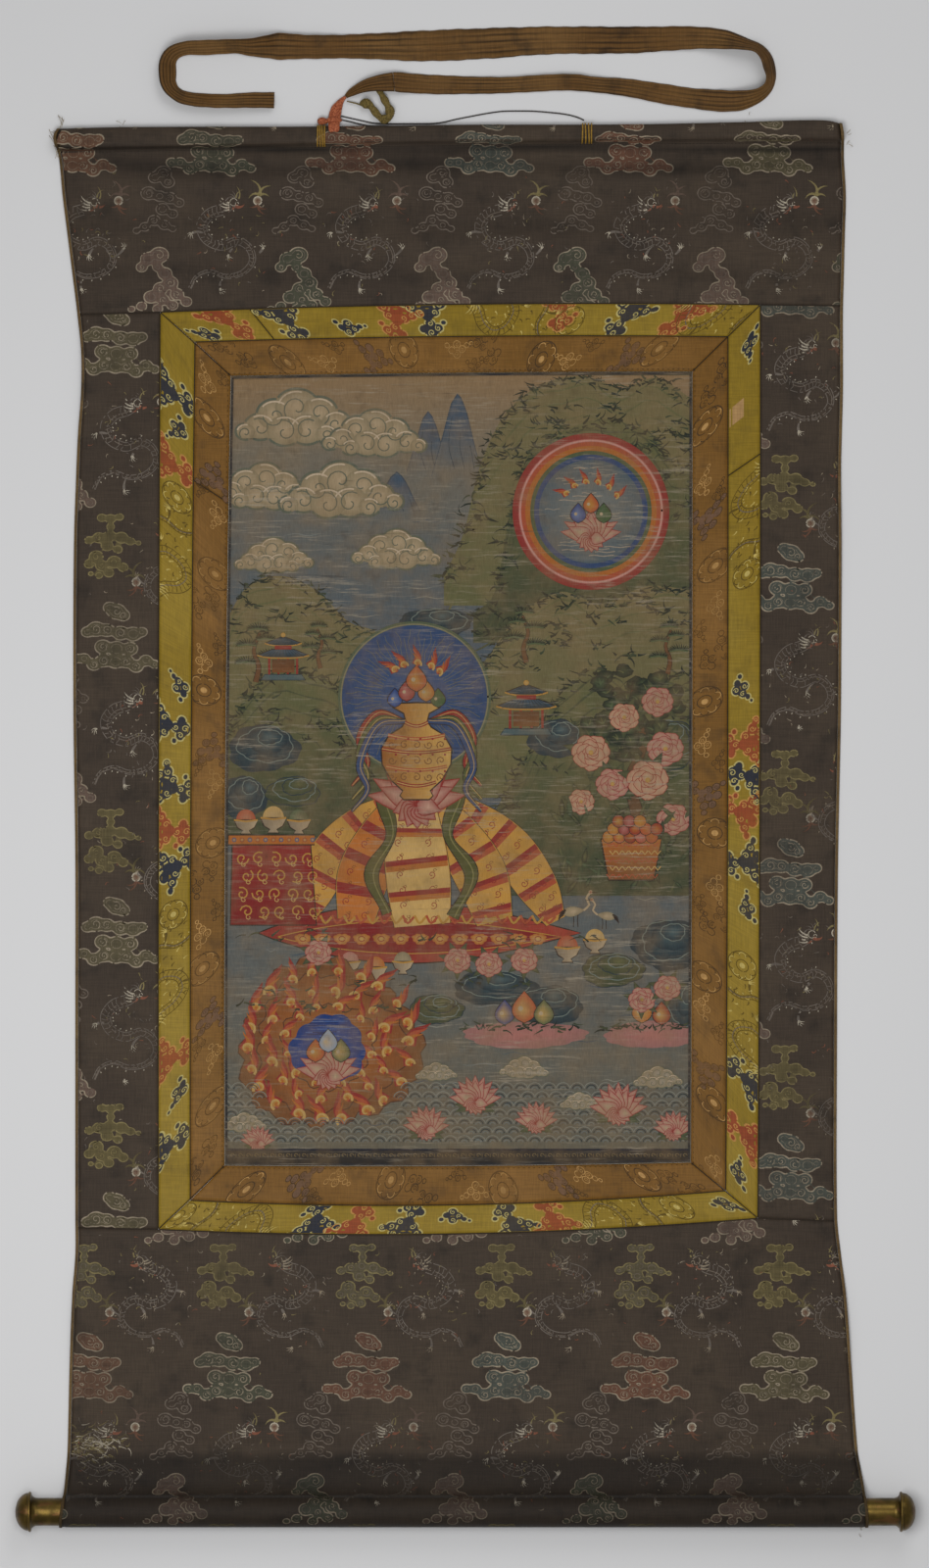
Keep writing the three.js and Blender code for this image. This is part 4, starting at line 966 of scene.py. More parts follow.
def cloud_form(lumps):
    """A cloud's outlines, the folds inside them, and its filling as points, depths and faces."""
    key = tuple(lumps)
    if key not in CLOUD_FORMS:
        lumps = np.array(lumps, float)
        low, high = lumps[:, :2].min(0) - CLOUD_MARGIN, lumps[:, :2].max(0) + CLOUD_MARGIN
        xs, ys = np.arange(low[0], high[0], GRID), np.arange(low[1], high[1], GRID)
        x, y = np.meshgrid(xs, ys)
        reach = lumps[:, 2] * SWELL - np.hypot(x[..., None] - lumps[:, 0],
                                               (y[..., None] - lumps[:, 1]) / LUMP_OVAL)
        field = MELT * np.log(np.exp(reach / MELT).sum(-1))
        depth, x, y = field[::2, ::2], x[::2, ::2], y[::2, ::2]
        slope_y, slope_x = np.gradient(depth, 2 * GRID)
        pull = np.minimum(depth, 0) / np.maximum(slope_x ** 2 + slope_y ** 2, LEAST_SLOPE)
        points = np.stack([(x - pull * slope_x).ravel(), (y - pull * slope_y).ravel()], 1)
        within = depth > 0
        cells = within[:-1, :-1] | within[1:, :-1] | within[:-1, 1:] | within[1:, 1:]
        first = (np.nonzero(cells)[0] * depth.shape[1] + np.nonzero(cells)[1])[:, None]
        faces = first + np.array([0, 1, depth.shape[1] + 1, depth.shape[1]])
        used, faces = np.unique(faces, return_inverse=True)
        CLOUD_FORMS[key] = (closed_lines(field, xs, ys), closed_lines(field - FOLD_INSET, xs, ys), points[used],
                            np.clip(depth.ravel()[used] / FULL_DEPTH, 0, 1), faces.reshape(-1, 4))
    return CLOUD_FORMS[key]


def joined_cloud(design, lumps, fill, line, width, fold):
    """A woven cloud: one ragged outline, a fainter fold inside it, and curls in its larger lumps."""
    rims, folds, points, depth, faces = cloud_form(lumps)
    if fill is not None:
        dyes = np.array(fill) * (1.06 - 0.2 * depth[:, None])
        design.add(points, FIGURE_RISE, dyes, faces)
    for rim in rims:
        turn = np.linspace(0, 2 * math.pi, len(rim))
        design.ribbon(rim, width * (1 + 0.25 * np.sin(9 * turn)), line)
    design.worn = design.worn * FOLD_WEAR
    for inner in folds:
        if len(inner) > 8:
            design.ribbon(inner, 0.7, fold)
    for k, (x, y, radius) in enumerate(lumps):
        if radius > 5.4 and k % 3 != 1:
            curl = spiral(x, y, radius * CURL_SHARE, 1.2, 2.1 + k, 1 if x < 0 else -1, 12)
            design.ribbon(curl, width * 0.65, line)
    design.worn = design.worn / FOLD_WEAR


def tongue(design, x, y, length, width, turn, dye, bend=0.35, ridge=True, steps=6):
    """A tapered curved stroke, as of a flame, a claw or a whisker."""
    t = np.linspace(0, 1, steps)
    angle = math.radians(turn) + bend * t * 2
    line = np.stack([x + length * t * np.cos(angle), y + length * t * np.sin(angle)], 1)
    design.ribbon(line, width * (1 - t) ** 0.7 + 0.15, dye, ridge)


WIDE_CLOUD = [
    (2, 31, 8.5), (-5, 35, 6), (9, 27, 6), (-19, 13, 8), (-28, 10, 5.5), (-8, 12, 7), (6, 9, 7.5), (19, 8, 7.5),
    (28, 10, 5), (-12, -5, 7.5), (2, -7, 8), (16, -7, 7), (-40, -17, 5), (-31, -17, 5.5), (-21, -23, 6.5),
    (-11, -19, 7), (1, -20, 7.5), (12, -20, 7), (22, -25, 6.5), (32, -19, 6), (41, -23, 4.5)]
CROSS_CLOUD = [
    (-10, 31, 4.5), (0, 30, 5), (10, 32, 4), (0, 21, 4), (-1, 11, 6), (-13, 9, 6), (-24, 6, 4.5), (12, 9, 6.5),
    (22, 5, 4.5), (31, 3, 2.5), (-4, 0, 6), (8, -4, 4.5), (-16, -12, 7), (-24, -20, 5), (-10, -22, 6),
    (4, -18, 7), (14, -24, 5), (-2, -30, 5), (-13, -33, 3.5), (-22, -31, 2.5)]
CURL_CLOUD = [
    (4, 31, 8), (-5, 26, 6.5), (9, 21, 6.5), (-12, 9, 7.5), (0, 6, 6), (11, 4, 6.5), (21, -1, 5), (3, -8, 6.5),
    (14, -13, 5), (-6, -20, 6), (5, -25, 5.5), (-16, -27, 5), (-25, -31, 3.5), (14, -29, 3.5)]
LEANING_CLOUD = [
    (6, 28, 9), (-6, 24, 7.5), (-13, 15, 5.5), (4, 15, 5), (12, 8, 7), (18, -2, 7.5), (7, -8, 7), (-3, -17, 7),
    (10, -20, 6), (25, -14, 6.5), (35, -22, 5.5), (20, -26, 5.5), (-13, -27, 5), (-24, -30, 3.5), (4, -30, 5)]
DRAGON_BACK = [
    (16, 10), (6, 2), (-10, -4), (-20, -18), (-14, -34), (4, -42), (22, -36), (36, -44), (40, -60), (28, -74),
    (8, -78), (-10, -72), (-26, -78), (-34, -92)]
DRAGON_CLAWS = [(-30, -26, 200), (12, -52, 250), (52, -46, 60), (2, -92, 280)]
DULL_RED = chart(90, 61, 46)
DULL_OLIVE = chart(76, 69, 50)
DULL_GREEN = chart(62, 62, 49)
DULL_TEAL = chart(64, 67, 60)
DULL_YELLOW = chart(82, 73, 46)
DULL_PINK = chart(86, 70, 60)
PALE_LINE = chart(130, 118, 100)
DIM_LINE = chart(97, 87, 77)
BRIGHT_LINE = chart(158, 149, 132)
GOLD_LINE = chart(112, 101, 66)
SCALE_LINE = chart(98, 90, 82)
MOUTH_RED = chart(116, 70, 52)


def dragon(design, tone, bright, mouth):
    """A dragon: a winding scaled body in fine lines, whiskers, horns, and feet of four claws."""
    back = through(DRAGON_BACK, 2.2)
    along, side = heading(back), beside(back, 2)
    body = 6.4 * np.clip(1.15 - np.linspace(0, 1, len(back)), 0.25, 1)[:, None]
    for lane, dye in ((1, tone), (-1, tone), (0.35, DIM_LINE)):
        design.ribbon(back + side * body * lane, 1.0, dye)
    for k in range(2, len(back) - 2, 2):
        rib = np.array([back[k] + side[k] * body[k] * 0.8, back[k] + along[k] * 1.6,
                        back[k] - side[k] * body[k] * 0.8])
        design.ribbon(rib, 0.8, tone)
        if k % 4 == 2:
            spine = back[k] + side[k] * (body[k] + 1.8)
            design.ribbon([spine, spine + side[k] * 1.6 + along[k] * 0.8], 1.1, bright)
    for x, y, turn in DRAGON_CLAWS:
        for k in range(4):
            tongue(design, x, y, 9 - abs(k - 1.5), 1.3, turn + 24 * (k - 1.5), bright, 0.3)
        tongue(design, x, y, 14, 3.2, turn + 180, tone, -0.2)
    for k in range(4):
        tongue(design, 13, 9 - 2.6 * k, 14 - k, 1.9, 170 + 12 * k, bright, -0.25)
        tongue(design, 19, 14, 10, 0.9, 20 + 35 * k, tone, 0.5)
    tongue(design, 20, 6, 11, 4.6, -50, mouth, 0.5)
    tongue(design, 18, 4, 8, 2.6, -100, mouth, -0.4)
    tongue(design, 24, 14, 15, 1.8, 60, GOLD_LINE, 0.35)
    tongue(design, 21, 15, 13, 1.6, 95, GOLD_LINE, -0.4)
    design.ribbon(circle(18, 10, 4.4, 12, 0.4, 5.0), 0.8, bright)
    design.ribbon(circle(22, 8, 2.0, 8), 0.8, bright)


def pearl(design, crown, tail):
    """A flaming pearl: a pale ring, a forked crown over it and a short red tail below."""
    design.fan(circle(0, 0, 4.6, 12), PALE_LINE, DULL_RED)
    design.ribbon(circle(0, 0, 4.6, 17, turn=6.4), 1.3, BRIGHT_LINE)
    design.ribbon(circle(0.6, -0.4, 2.0, 9, turn=6.4), 0.7, DULL_RED)
    for length, turn, bend in ((20, 62, 0.5), (17, 96, -0.5), (13, 128, 0.6), (11, 40, -0.4)):
        tongue(design, 2, 6, length, 3.4, turn, crown, bend)
    for length, turn, bend in ((15, -98, 0.4), (12, -80, 0.5), (10, -118, -0.4)):
        tongue(design, 0, -4, length, 2.8, turn, tail, bend)


REPEAT_WIDE, REPEAT_HIGH = 142.0, 301.0
CLOUD_WORN, DRAGON_WORN = 0.07, 0.24      # share of the figures' lines that has worn away
CLOUD_DYES = [DULL_RED, DULL_OLIVE, chart(90, 64, 48), DULL_GREEN, DULL_RED, DULL_TEAL]
# Where each panel's repeat starts, and which dye its wide clouds start with
PANEL_REPEAT = {"panel_top": (-118.0, 645.0, 0), "panel_left": (-358.0, 440.0, 3),
                "panel_right": (330.0, 500.0, 1),
                "panel_bottom": (-101.0, -606.0, 0)}
# How far a repeat reaches beyond its middle, and the worn patch by the lower left corner
REACH_SIDE, REACH_BELOW, REACH_ABOVE = 120, 140, 290
WORN_THREADS, WORN_PLACE = 170, (-382, -680)
BAR_RUN = np.concatenate([[0], np.cumsum(np.hypot(np.diff(BAR_SECTION[:, 0]), np.diff(BAR_SECTION[:, 2])))])
SINK_REACH = WEAVE_STEP
EDGE_MARGIN = 0.8
top_line, bottom_line = seam_row(TOP), seam_row(BOTTOM)
left_line, right_line = on_seam(0, LEFT, np.linspace(0, 1, 60)), on_seam(0, RIGHT, np.linspace(1, 0, 60))


def over_seam(line, places, axis):
    """Where a line runs at places on one axis, measured on the other."""
    order = np.argsort(line[:, axis])
    return np.interp(places, line[order, axis], line[order, 1 - axis])


# Left, right, lower and upper limit of each panel, in places on the flat cloth
LIMITS = {
    "panel_top": (lambda v: inset(LEFT, v), lambda v: inset(RIGHT, v), lambda u: over_seam(top_line, u, 0),
                  lambda u: read(TOP_BAR, 2, u) + BAR_RUN[-1]),
    "panel_bottom": (lambda v: inset(LEFT, v), lambda v: inset(RIGHT, v), lambda u: u * 0 + SLEEVE_START - 96,
                     lambda u: over_seam(bottom_line, u, 0)),
    "panel_left": (lambda v: inset(LEFT, v), lambda v: over_seam(left_line, v, 1),
                   lambda u: over_seam(bottom_line, u, 0), lambda u: over_seam(top_line, u, 0)),
    "panel_right": (lambda v: over_seam(right_line, v, 1), lambda v: inset(RIGHT, v),
                    lambda u: over_seam(bottom_line, u, 0), lambda u: over_seam(top_line, u, 0)),
}


def held_within(points, limits):
    """The points held a margin inside the limits, and which of them weren't there."""
    left, right, lower, upper = limits
    u = np.clip(points[:, 0], left(points[:, 1]) + EDGE_MARGIN, right(points[:, 1]) - EDGE_MARGIN)
    v = np.clip(points[:, 1], lower(u) + EDGE_MARGIN, upper(u) - EDGE_MARGIN)
    return u, v, (np.abs(u - points[:, 0]) > 1e-6) | (np.abs(v - points[:, 1]) > 1e-6)


def on_brocade(points, rises, limits):
    """Places on the flat brocade as points on it where it lies, and which of them it doesn't reach."""
    left, right, lower, upper = limits
    u, v, missing = held_within(points, limits)
    crease, edge = read(TOP_BAR, 2, u), read(TOP_BAR, 1, u)
    room = np.minimum.reduce([u - left(v), right(v) - u, v - lower(u), upper(u) - v])
    sink = CLOTH * EDGE_SUNK * np.clip(1 - room / SINK_REACH, 0, 1)
    out = np.stack([u, v, rest(u, v) + CLOTH + rises - sink], 1)
    bar = v > crease
    if bar.any():
        run = v[bar] - crease[bar]
        deep = np.interp(run, BAR_RUN, BAR_SECTION[:, 0])
        slope = np.gradient(BAR_SECTION[:, 2], BAR_SECTION[:, 0])
        steep = np.interp(deep, BAR_SECTION[:, 0], slope)
        lean = 1 / np.sqrt(1 + steep ** 2)
        out[bar, 1] = crease[bar] + (edge[bar] - crease[bar]) * deep / BAR_DEPTH - steep * lean * rises[bar]
        out[bar, 2] = np.interp(deep, BAR_SECTION[:, 0], BAR_SECTION[:, 2]) + lean * rises[bar] + 0.12
    low = v < SLEEVE_START
    if low.any():
        run = SLEEVE_START - v[low]
        for axis in (0, 1):
            line = np.interp(run, SLEEVE_RUN, SLEEVE_LINE[:, axis])
            outward = np.interp(run, SLEEVE_RUN, SLEEVE_OUT[:, axis])
            out[low, 1 + axis] = line + outward * (CLOTH / 2 + rises[low])
    return out, missing


def laid_on(name, design, where, finish, slot):
    """The design as one mesh on the cloth, without what falls beyond the cloth's edges."""
    points, rises, dyes, faces = design.gathered()
    # The brocade's figures take the same painted shade as the cloth under them
    painted_shade = painted_shade_at(points) if slot == "brocade" else np.zeros(len(points))
    points, missing = where(points, rises)
    lost = missing.tolist()
    faces = [face for face in faces if not all(lost[k] for k in face)]
    used = np.unique(np.concatenate([np.array(face) for face in faces]))
    renumber = np.full(len(points), -1)
    renumber[used] = np.arange(len(used))
    renumber = renumber.tolist()
    faces = [tuple(renumber[k] for k in face) for face in faces]
    points = points[used]
    dye = np.concatenate([dyes[used], np.ones((len(used), 1))], 1)
    return make(name, (points, faces), finish,
                {"cloth": ("FLOAT_VECTOR", points * MM), "dye": ("FLOAT_COLOR", dye),
                 "painted_shade": ("FLOAT", painted_shade[used])})


# Broken ends of pale thread left where the dragons have worn
FLECKS = 84
flecks = random.Random(3)


def brocade_repeat(design, x, y, column):
    """One repeat of the brocade, measured from the middle of its wide cloud."""
    fill = CLOUD_DYES[column % len(CLOUD_DYES)]
    design.worn = CLOUD_WORN
    fold = tuple(0.45 * np.array(fill) + 0.55 * np.array(PALE_LINE))
    odd = column % 2
    joined_cloud(design.at(x, y), WIDE_CLOUD, fill, PALE_LINE, 1.3, fold)
    joined_cloud(design.at(x - 52, y - 57, 0.95), CURL_CLOUD, None, DIM_LINE, 1.2, DIM_LINE)
    joined_cloud(design.at(x - 58, y - 138, 0.95), LEANING_CLOUD, DULL_PINK if odd else DULL_GREEN, PALE_LINE,
                 1.2, DIM_LINE)
    joined_cloud(design.at(x - 4, y - 203, 0.92), CROSS_CLOUD, DULL_YELLOW if odd else DULL_OLIVE, GOLD_LINE,
                 1.2,
                 DULL_YELLOW if odd else DIM_LINE)
    design.worn = 0.0
    pearl(design.at(x + 48, y - 56, 0.9), GOLD_LINE if odd else DULL_PINK, DULL_RED)
    pearl(design.at(x + 22, y - 240, 0.9, -1), DULL_YELLOW, DULL_RED)
    design.worn = DRAGON_WORN
    dragon(design.at(x + 8, y - 66, 0.86), SCALE_LINE, BRIGHT_LINE, MOUTH_RED)
    dragon(design.at(x - 74, y - 196, 0.86, -1), SCALE_LINE, PALE_LINE, MOUTH_RED)
    design.worn = 0.0
    for k in range(FLECKS):
        place = (x + 20 + flecks.gauss(0, 27), y - 92 + flecks.gauss(0, 25)) if k % 2 else (
            x - 76 + flecks.gauss(0, 27), y - 216 + flecks.gauss(0, 25))
        tongue(design.at(*place), 0, 0, flecks.uniform(2, 6), 0.8, flecks.uniform(0, 360),
               flecks.choice([SCALE_LINE, DIM_LINE, GOLD_LINE, PALE_LINE, MOUTH_RED]), flecks.uniform(-1, 1),
               True, 4)


brocade_thread = woven_finish("brocade_thread", None, BROCADE_DARK, 0.0014, 0.0006, 0.7, 0.4, 0.35, 0.8, 0.5,
                              0.0002)
for panel_name, (start_x, start_y, first) in PANEL_REPEAT.items():
    limits = LIMITS[panel_name]
    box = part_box(panel_name)
    design = Design()
    for column in range(-5, 6):
        for row in range(-4, 6):
            x, y = start_x + column * REPEAT_WIDE, start_y + row * REPEAT_HIGH
            beside_it = box[0][0] / MM - REACH_SIDE < x < box[1][0] / MM + REACH_SIDE
            if beside_it and box[0][1] / MM - REACH_BELOW < y < box[1][1] / MM + REACH_ABOVE:
                brocade_repeat(design, x, y, column + first + 10)
    if panel_name == "panel_bottom":
        wear = random.Random(4)
        for _ in range(WORN_THREADS):
            x, y = WORN_PLACE[0] + wear.gauss(0, 15), WORN_PLACE[1] + wear.gauss(0, 8)
            tongue(design.at(x, y), 0, 0, wear.uniform(4, 11), 0.9, wear.uniform(-30, 30),
                   wear.choice([GOLD_LINE, DULL_YELLOW, BRIGHT_LINE]), wear.uniform(-0.5, 0.5))
    laid_on(panel_name + "_figures", design, lambda p, r: on_brocade(p, r, limits), brocade_thread, "brocade")

# The woven figures of the silk frames: on the yellow, navy and red clouds with cream edges and gold
# dragons; on the orange, dim clouds, wheels and curls. A strip shows part of each, as it was cut.
STRIP_WIDE = 34.0
STRIP_ENDS, STRIP_SIDES = (0.004, 0.996), (0.03, 0.97)
STRIP_ROUNDED = 9
ORANGE_SPACING = 52
SEAM_LENGTH = {TOP: 612.0, RIGHT: 945.0, BOTTOM: 612.0, LEFT: 945.0}
NAVY = chart(36, 38, 46)
SILK_RED = chart(124, 58, 32)
CREAM_EDGE = chart(160, 148, 92)
GOLD_PALE = chart(168, 150, 84)
GOLD_DIM = chart(132, 110, 40)
GOLD_SHADE = chart(78, 62, 18)
DIM_BROWN = chart(62, 45, 25)
DIM_MAUVE = chart(94, 70, 52)
DIM_LIGHT = chart(158, 122, 72)
HOOKED_CLOUD = [
    (0, 16, 5.5), (-7, 12, 4.4), (7, 12, 4.6), (0, 7, 4.4), (-1, 0, 4.6), (6, -3, 4.4), (-7, -4, 4.8),
    (0, -9, 5), (-14, -9, 4.4), (12, -10, 4.8), (-6, -15, 5), (6, -16, 4.6), (19, -14, 3.4), (-21, -13, 3.2),
    (13, 7, 2.6)]
SHORT_CLOUD = [(0, 6, 5), (-7, 2, 4.2), (7, 1, 4.4), (0, -4, 4.6), (13, -3, 3.2), (-13, -3, 3.0), (19, -5, 2.2)]
# Figures on the yellow strips, as millimetres along and across: c big navy, s small navy, r red, d dragon
YELLOW_FIGURES = {
    TOP: [("s", 24, 26), ("r", 59, 12), ("c", 120, 15), ("s", 182, 22), ("r", 236, 16), ("c", 272, 12),
          ("d", 372, 18), ("r", 412, 6), ("c", 482, 14), ("r", 542, 14), ("d", 590, 16)],
    RIGHT: [("s", 30, 10), ("d", 220, 14), ("s", 392, 20), ("r", 452, 18), ("c", 488, 12), ("r", 524, 22),
            ("c", 580, 18), ("s", 628, 12), ("d", 742, 18), ("c", 808, 14), ("r", 868, 16), ("s", 915, 20)],
    BOTTOM: [("s", 16, 18), ("d", 120, 20), ("r", 205, 18), ("c", 250, 14), ("s", 312, 20), ("c", 360, 16),
             ("r", 415, 14), ("c", 460, 18), ("d", 556, 16)],
    LEFT: [("c", 78, 12), ("s", 128, 22), ("r", 168, 16), ("d", 268, 16), ("c", 372, 20), ("r", 408, 12),
           ("c", 455, 16), ("c", 520, 10), ("s", 562, 22), ("d", 712, 18), ("r", 796, 14), ("s", 838, 18),
           ("c", 872, 14)],
}


def wheel(design, radius, line, light):
    """A round flower of petals inside two rings."""
    design.ribbon(circle(0, 0, radius, 33, turn=6.4), 0.9, line)
    design.ribbon(circle(0, 0, radius * 0.42, 17, turn=6.4), 0.9, line)
    for k in range(10):
        angle = 2 * math.pi * k / 10
        design.ribbon(circle(radius * 0.7 * math.cos(angle), radius * 0.7 * math.sin(angle), radius * 0.24, 9,
                             angle - 1.6, 3.4),
                      0.9, light if k % 2 else line)
    design.fan(circle(0, 0, radius * 0.2, 10), light)


def figure(design, kind, along, across, turn, flip):
    """One figure of the yellow silk."""
    if kind == "d":
        dragon(design.at(along + 46 * flip, across - 6, 0.88, flip, -90 * flip), GOLD_SHADE, GOLD_PALE,
               GOLD_DIM)
        wheel(design.at(along - 52 * flip, across, 1.0), 15, GOLD_SHADE, GOLD_PALE)
        for k in range(26):
            tongue(design.at(along - 40 + 3.4 * k, across + 11 * math.sin(k * 1.7)), 0, 0, 5, 1.5,
                   40 * math.sin(k * 2.3),
                   GOLD_SHADE if k % 3 else GOLD_PALE)
        return
    shape, dye = (SHORT_CLOUD if kind == "s" else HOOKED_CLOUD), (SILK_RED if kind == "r" else NAVY)
    edge = CREAM_EDGE if kind != "r" else chart(160, 116, 60)
    fuller = [(x, y, radius * 1.18) for x, y, radius in shape]
    cloud(design.at(along, across, 1.12 if kind != "s" else 0.95, flip, turn), fuller, dye, edge, 1.6, 0.55)


def on_strip(points, rises, seam, side):
    """Places along and across a strip as points on it where it lies."""
    share, across = points[:, 0] / SEAM_LENGTH[side], points[:, 1] / STRIP_WIDE
    held_share, held_across = np.clip(share, *STRIP_ENDS), np.clip(across, *STRIP_SIDES)
    missing = (share != held_share) | (across != held_across)
    plan = lerp(on_seam(seam, side, held_share), on_seam(seam + 1, side, held_share), held_across[:, None])
    room = np.minimum(held_across, 1 - held_across) * STRIP_ROUNDED
    sink = CLOTH * EDGE_SUNK * np.clip(1 - room, 0, 1)
    return np.concatenate([plan, (rest(plan[:, 0], plan[:, 1]) + CLOTH + rises - sink)[:, None]], 1), missing


yellow_thread_work = woven_finish("yellow_silk_figures", None, YELLOW, 0.0009, 0.0011, 0.6, 0.15, 0.15, 0.25,
                                  0.5,
                                  0.00012)
orange_thread_work = woven_finish("orange_silk_figures", None, ORANGE, 0.0009, 0.0011, 0.6, 0.5, 0.2, 0.6, 0.5,
                                  0.00012)
for side, side_name in SIDE_NAMES.items():
    design = Design()
    for k, (kind, along, across) in enumerate(YELLOW_FIGURES[side]):
        figure(design, kind, along, across, 20 * math.sin(5 * k + side), 1 if (k + side) % 2 else -1)
    if side == RIGHT:
        design.at(0, 0).ribbon([(82, 25), (102, 25)], 15, chart(150, 118, 76))
    laid_on(f"yellow_{side_name}_figures", design, lambda p, r: on_strip(p, r, 0, side), yellow_thread_work,
            "yellow_silk")
    design = Design()
    for k in range(int(SEAM_LENGTH[side] / ORANGE_SPACING)):
        along = 34 + ORANGE_SPACING * k + 10 * math.sin(3 * k + side)
        flip = 1 if k % 2 else -1
        if k % 3 == 0:
            cloud(design.at(along, 17 + 8 * flip, 0.95, flip, 30 * flip), HOOKED_CLOUD,
                  DIM_MAUVE if k % 2 else None, DIM_BROWN, 0.9)
        elif k % 3 == 1:
            wheel(design.at(along, 17 + 5 * flip, 1.0), 17, DIM_BROWN, DIM_LIGHT)
        else:
            cloud(design.at(along, 17 - 6 * flip, 0.9, flip), SHORT_CLOUD, None, DIM_LIGHT, 0.9)
            cloud(design.at(along + 22, 17 + 9 * flip, 0.7, flip), SHORT_CLOUD, None, DIM_BROWN, 0.9)
    laid_on(f"orange_{side_name}_figures", design, lambda p, r: on_strip(p, r, 1, side), orange_thread_work,
            "orange_silk")

# What is painted on it: a made-up mountain landscape with a treasure vase, jewels, flowers and
# offerings. Each shape is a coat of mineral colour that lies a hair above the coats it covers.
COAT = 0.004
CELL = 4.0
CELLS = (140, 220)
CELLS_START = (260, 420)
SMALL_SHAPE = 5
rng = random.Random(11)


class Picture(Design):
    """Paint, shape over shape: each one is lifted just above whatever it covers."""

    def __init__(self):
        super().__init__()
        self.tops = np.zeros(CELLS, int)

    def add(self, points, rises, dyes, faces, solid=True, cover=None):
        super().add(points, rises, dyes, faces)
        covered = self.placed(points if cover is None else cover)
        cells = ((covered + CELLS_START) / CELL).astype(int)
        cells = np.clip(cells, 0, np.array(self.tops.shape) - 2)
        low, high = cells.min(0), cells.max(0)
        if (high - low).max() > SMALL_SHAPE and not solid:
            spots = [(cells[:, 0] + i, cells[:, 1] + j) for i in (0, 1) for j in (0, 1)]
            level = max(self.tops[spot].max() for spot in spots) + 1
            for spot in spots:
                self.tops[spot] = level
        else:
            block = self.tops[low[0]:high[0] + 1, low[1]:high[1] + 1]
            level = block.max() + 1
            block[:] = level
        self.rises[-1] = np.full(len(points), level * COAT)

    def ribbon(self, line, width, dye, ridge=False):
        line = np.asarray(line, float)
        count = len(line)
        side = beside(line, width)
        k = np.arange(count - 1)
        if np.ndim(dye) == 2:
            dye = np.concatenate([dye, dye])
        steps = max(int(np.max(width) / CELL) + 2, 2)
        cover = np.concatenate([line + side * share for share in np.linspace(-1, 1, steps)])
        self.add(np.concatenate([line + side, line - side]), 0.0, dye,
                 np.stack([k, k + count, k + count + 1, k + 1], 1), solid=False, cover=cover)

    def fill(self, outline, dye, line=None, width=0.9):
        """A flat coat inside an outline, its dye one colour or worked out from each place."""
        outline = np.asarray(outline, float)
        triangles = np.array(tessellate_polygon([[Vector((*p, 0)) for p in outline]]))
        a, b, c = (outline[triangles[:, k]] for k in range(3))
        turned_over = (b - a)[:, 0] * (c - a)[:, 1] - (b - a)[:, 1] * (c - a)[:, 0] < 0
        triangles[turned_over] = triangles[turned_over][:, ::-1]
        dyes = dye(outline) if callable(dye) else dye
        self.add(outline, 0.0, dyes, triangles[:, [0, 1, 2, 2]])
        if line is not None:
            self.ribbon(looped(outline), width, line)


def graded(low, low_dye, high, high_dye, axis=1):
    """A dye that changes evenly with height, or across."""
    def dye(points):
        return lerp(low_dye, high_dye, ease((points[:, axis] - low) / (high - low))[:, None])
    return dye


def lobed(x, y, wide, high, lobes, depth=0.12, seed=0.0, steps=64):
    """A round outline with soft uneven lobes."""
    angle = np.linspace(0, 2 * math.pi, steps, endpoint=False)
    reach = 1 + depth * np.abs(np.sin(lobes * angle / 2 + seed)) + depth * 0.6 * np.sin(3 * angle + 2 * seed)
    return np.stack([x + wide * reach * np.cos(angle), y + high * reach * np.sin(angle)], 1)


def petal(length, width, turn, x=0.0, y=0.0, point=0.6, steps=7):
    """The outline of a pointed petal or leaf that grows from a place."""
    t = np.linspace(0, 1, steps)
    half = width / 2 * np.sin(math.pi * t ** point)
    outline = np.concatenate([np.stack([t * length, half], 1), np.stack([t * length, -half], 1)[-2:0:-1]])
    c, s = math.cos(math.radians(turn)), math.sin(math.radians(turn))
    return outline @ np.array([(c, s), (-s, c)]) + (x, y)


SKY_TAN = chart(126, 108, 76)
SKY_PALE = chart(104, 102, 86)
LAKE = chart(84, 92, 88)
LAKE_DEEP = chart(62, 80, 90)
HILL = chart(88, 92, 60)
HILL_WARM = chart(102, 98, 66)
HILL_DARK = chart(62, 70, 50)
LEAF_DARK = chart(38, 46, 38)
LEAF_DIM = chart(56, 66, 48)
CREAM = chart(156, 144, 112)
CREAM_DIM = chart(122, 116, 88)
CLOUD_LINE = chart(84, 92, 76)
PAINT_RED = chart(122, 48, 42)
VERMILION = chart(146, 74, 48)
ROSE = chart(150, 104, 92)
AMBER = chart(150, 94, 42)
GOLD = chart(156, 122, 56)
STRAW = chart(164, 140, 82)
BROWN = chart(106, 72, 42)
DEEP_BLUE = chart(32, 56, 104)
HALO_BLUE = chart(48, 68, 96)
STONE = chart(70, 88, 86)
STONE_DARK = chart(44, 56, 58)
OUTLINE = chart(48, 42, 36)
JADE = chart(76, 90, 62)

picture = Picture()
stroke, dab, coat, stand = picture.ribbon, picture.fan, picture.fill, picture.at


def wash(low, high, low_dye, high_dye):
    """A level band across the whole canvas, blended from one dye to another."""
    x = np.linspace(-250, 238, 40)
    k = np.arange(39)
    points = np.concatenate([np.stack([x, x * 0 + high], 1), np.stack([x, x * 0 + low], 1)])
    picture.add(points, 0.0, np.repeat([high_dye, low_dye], 40, axis=0),
                np.stack([k, k + 40, k + 41, k + 1], 1))


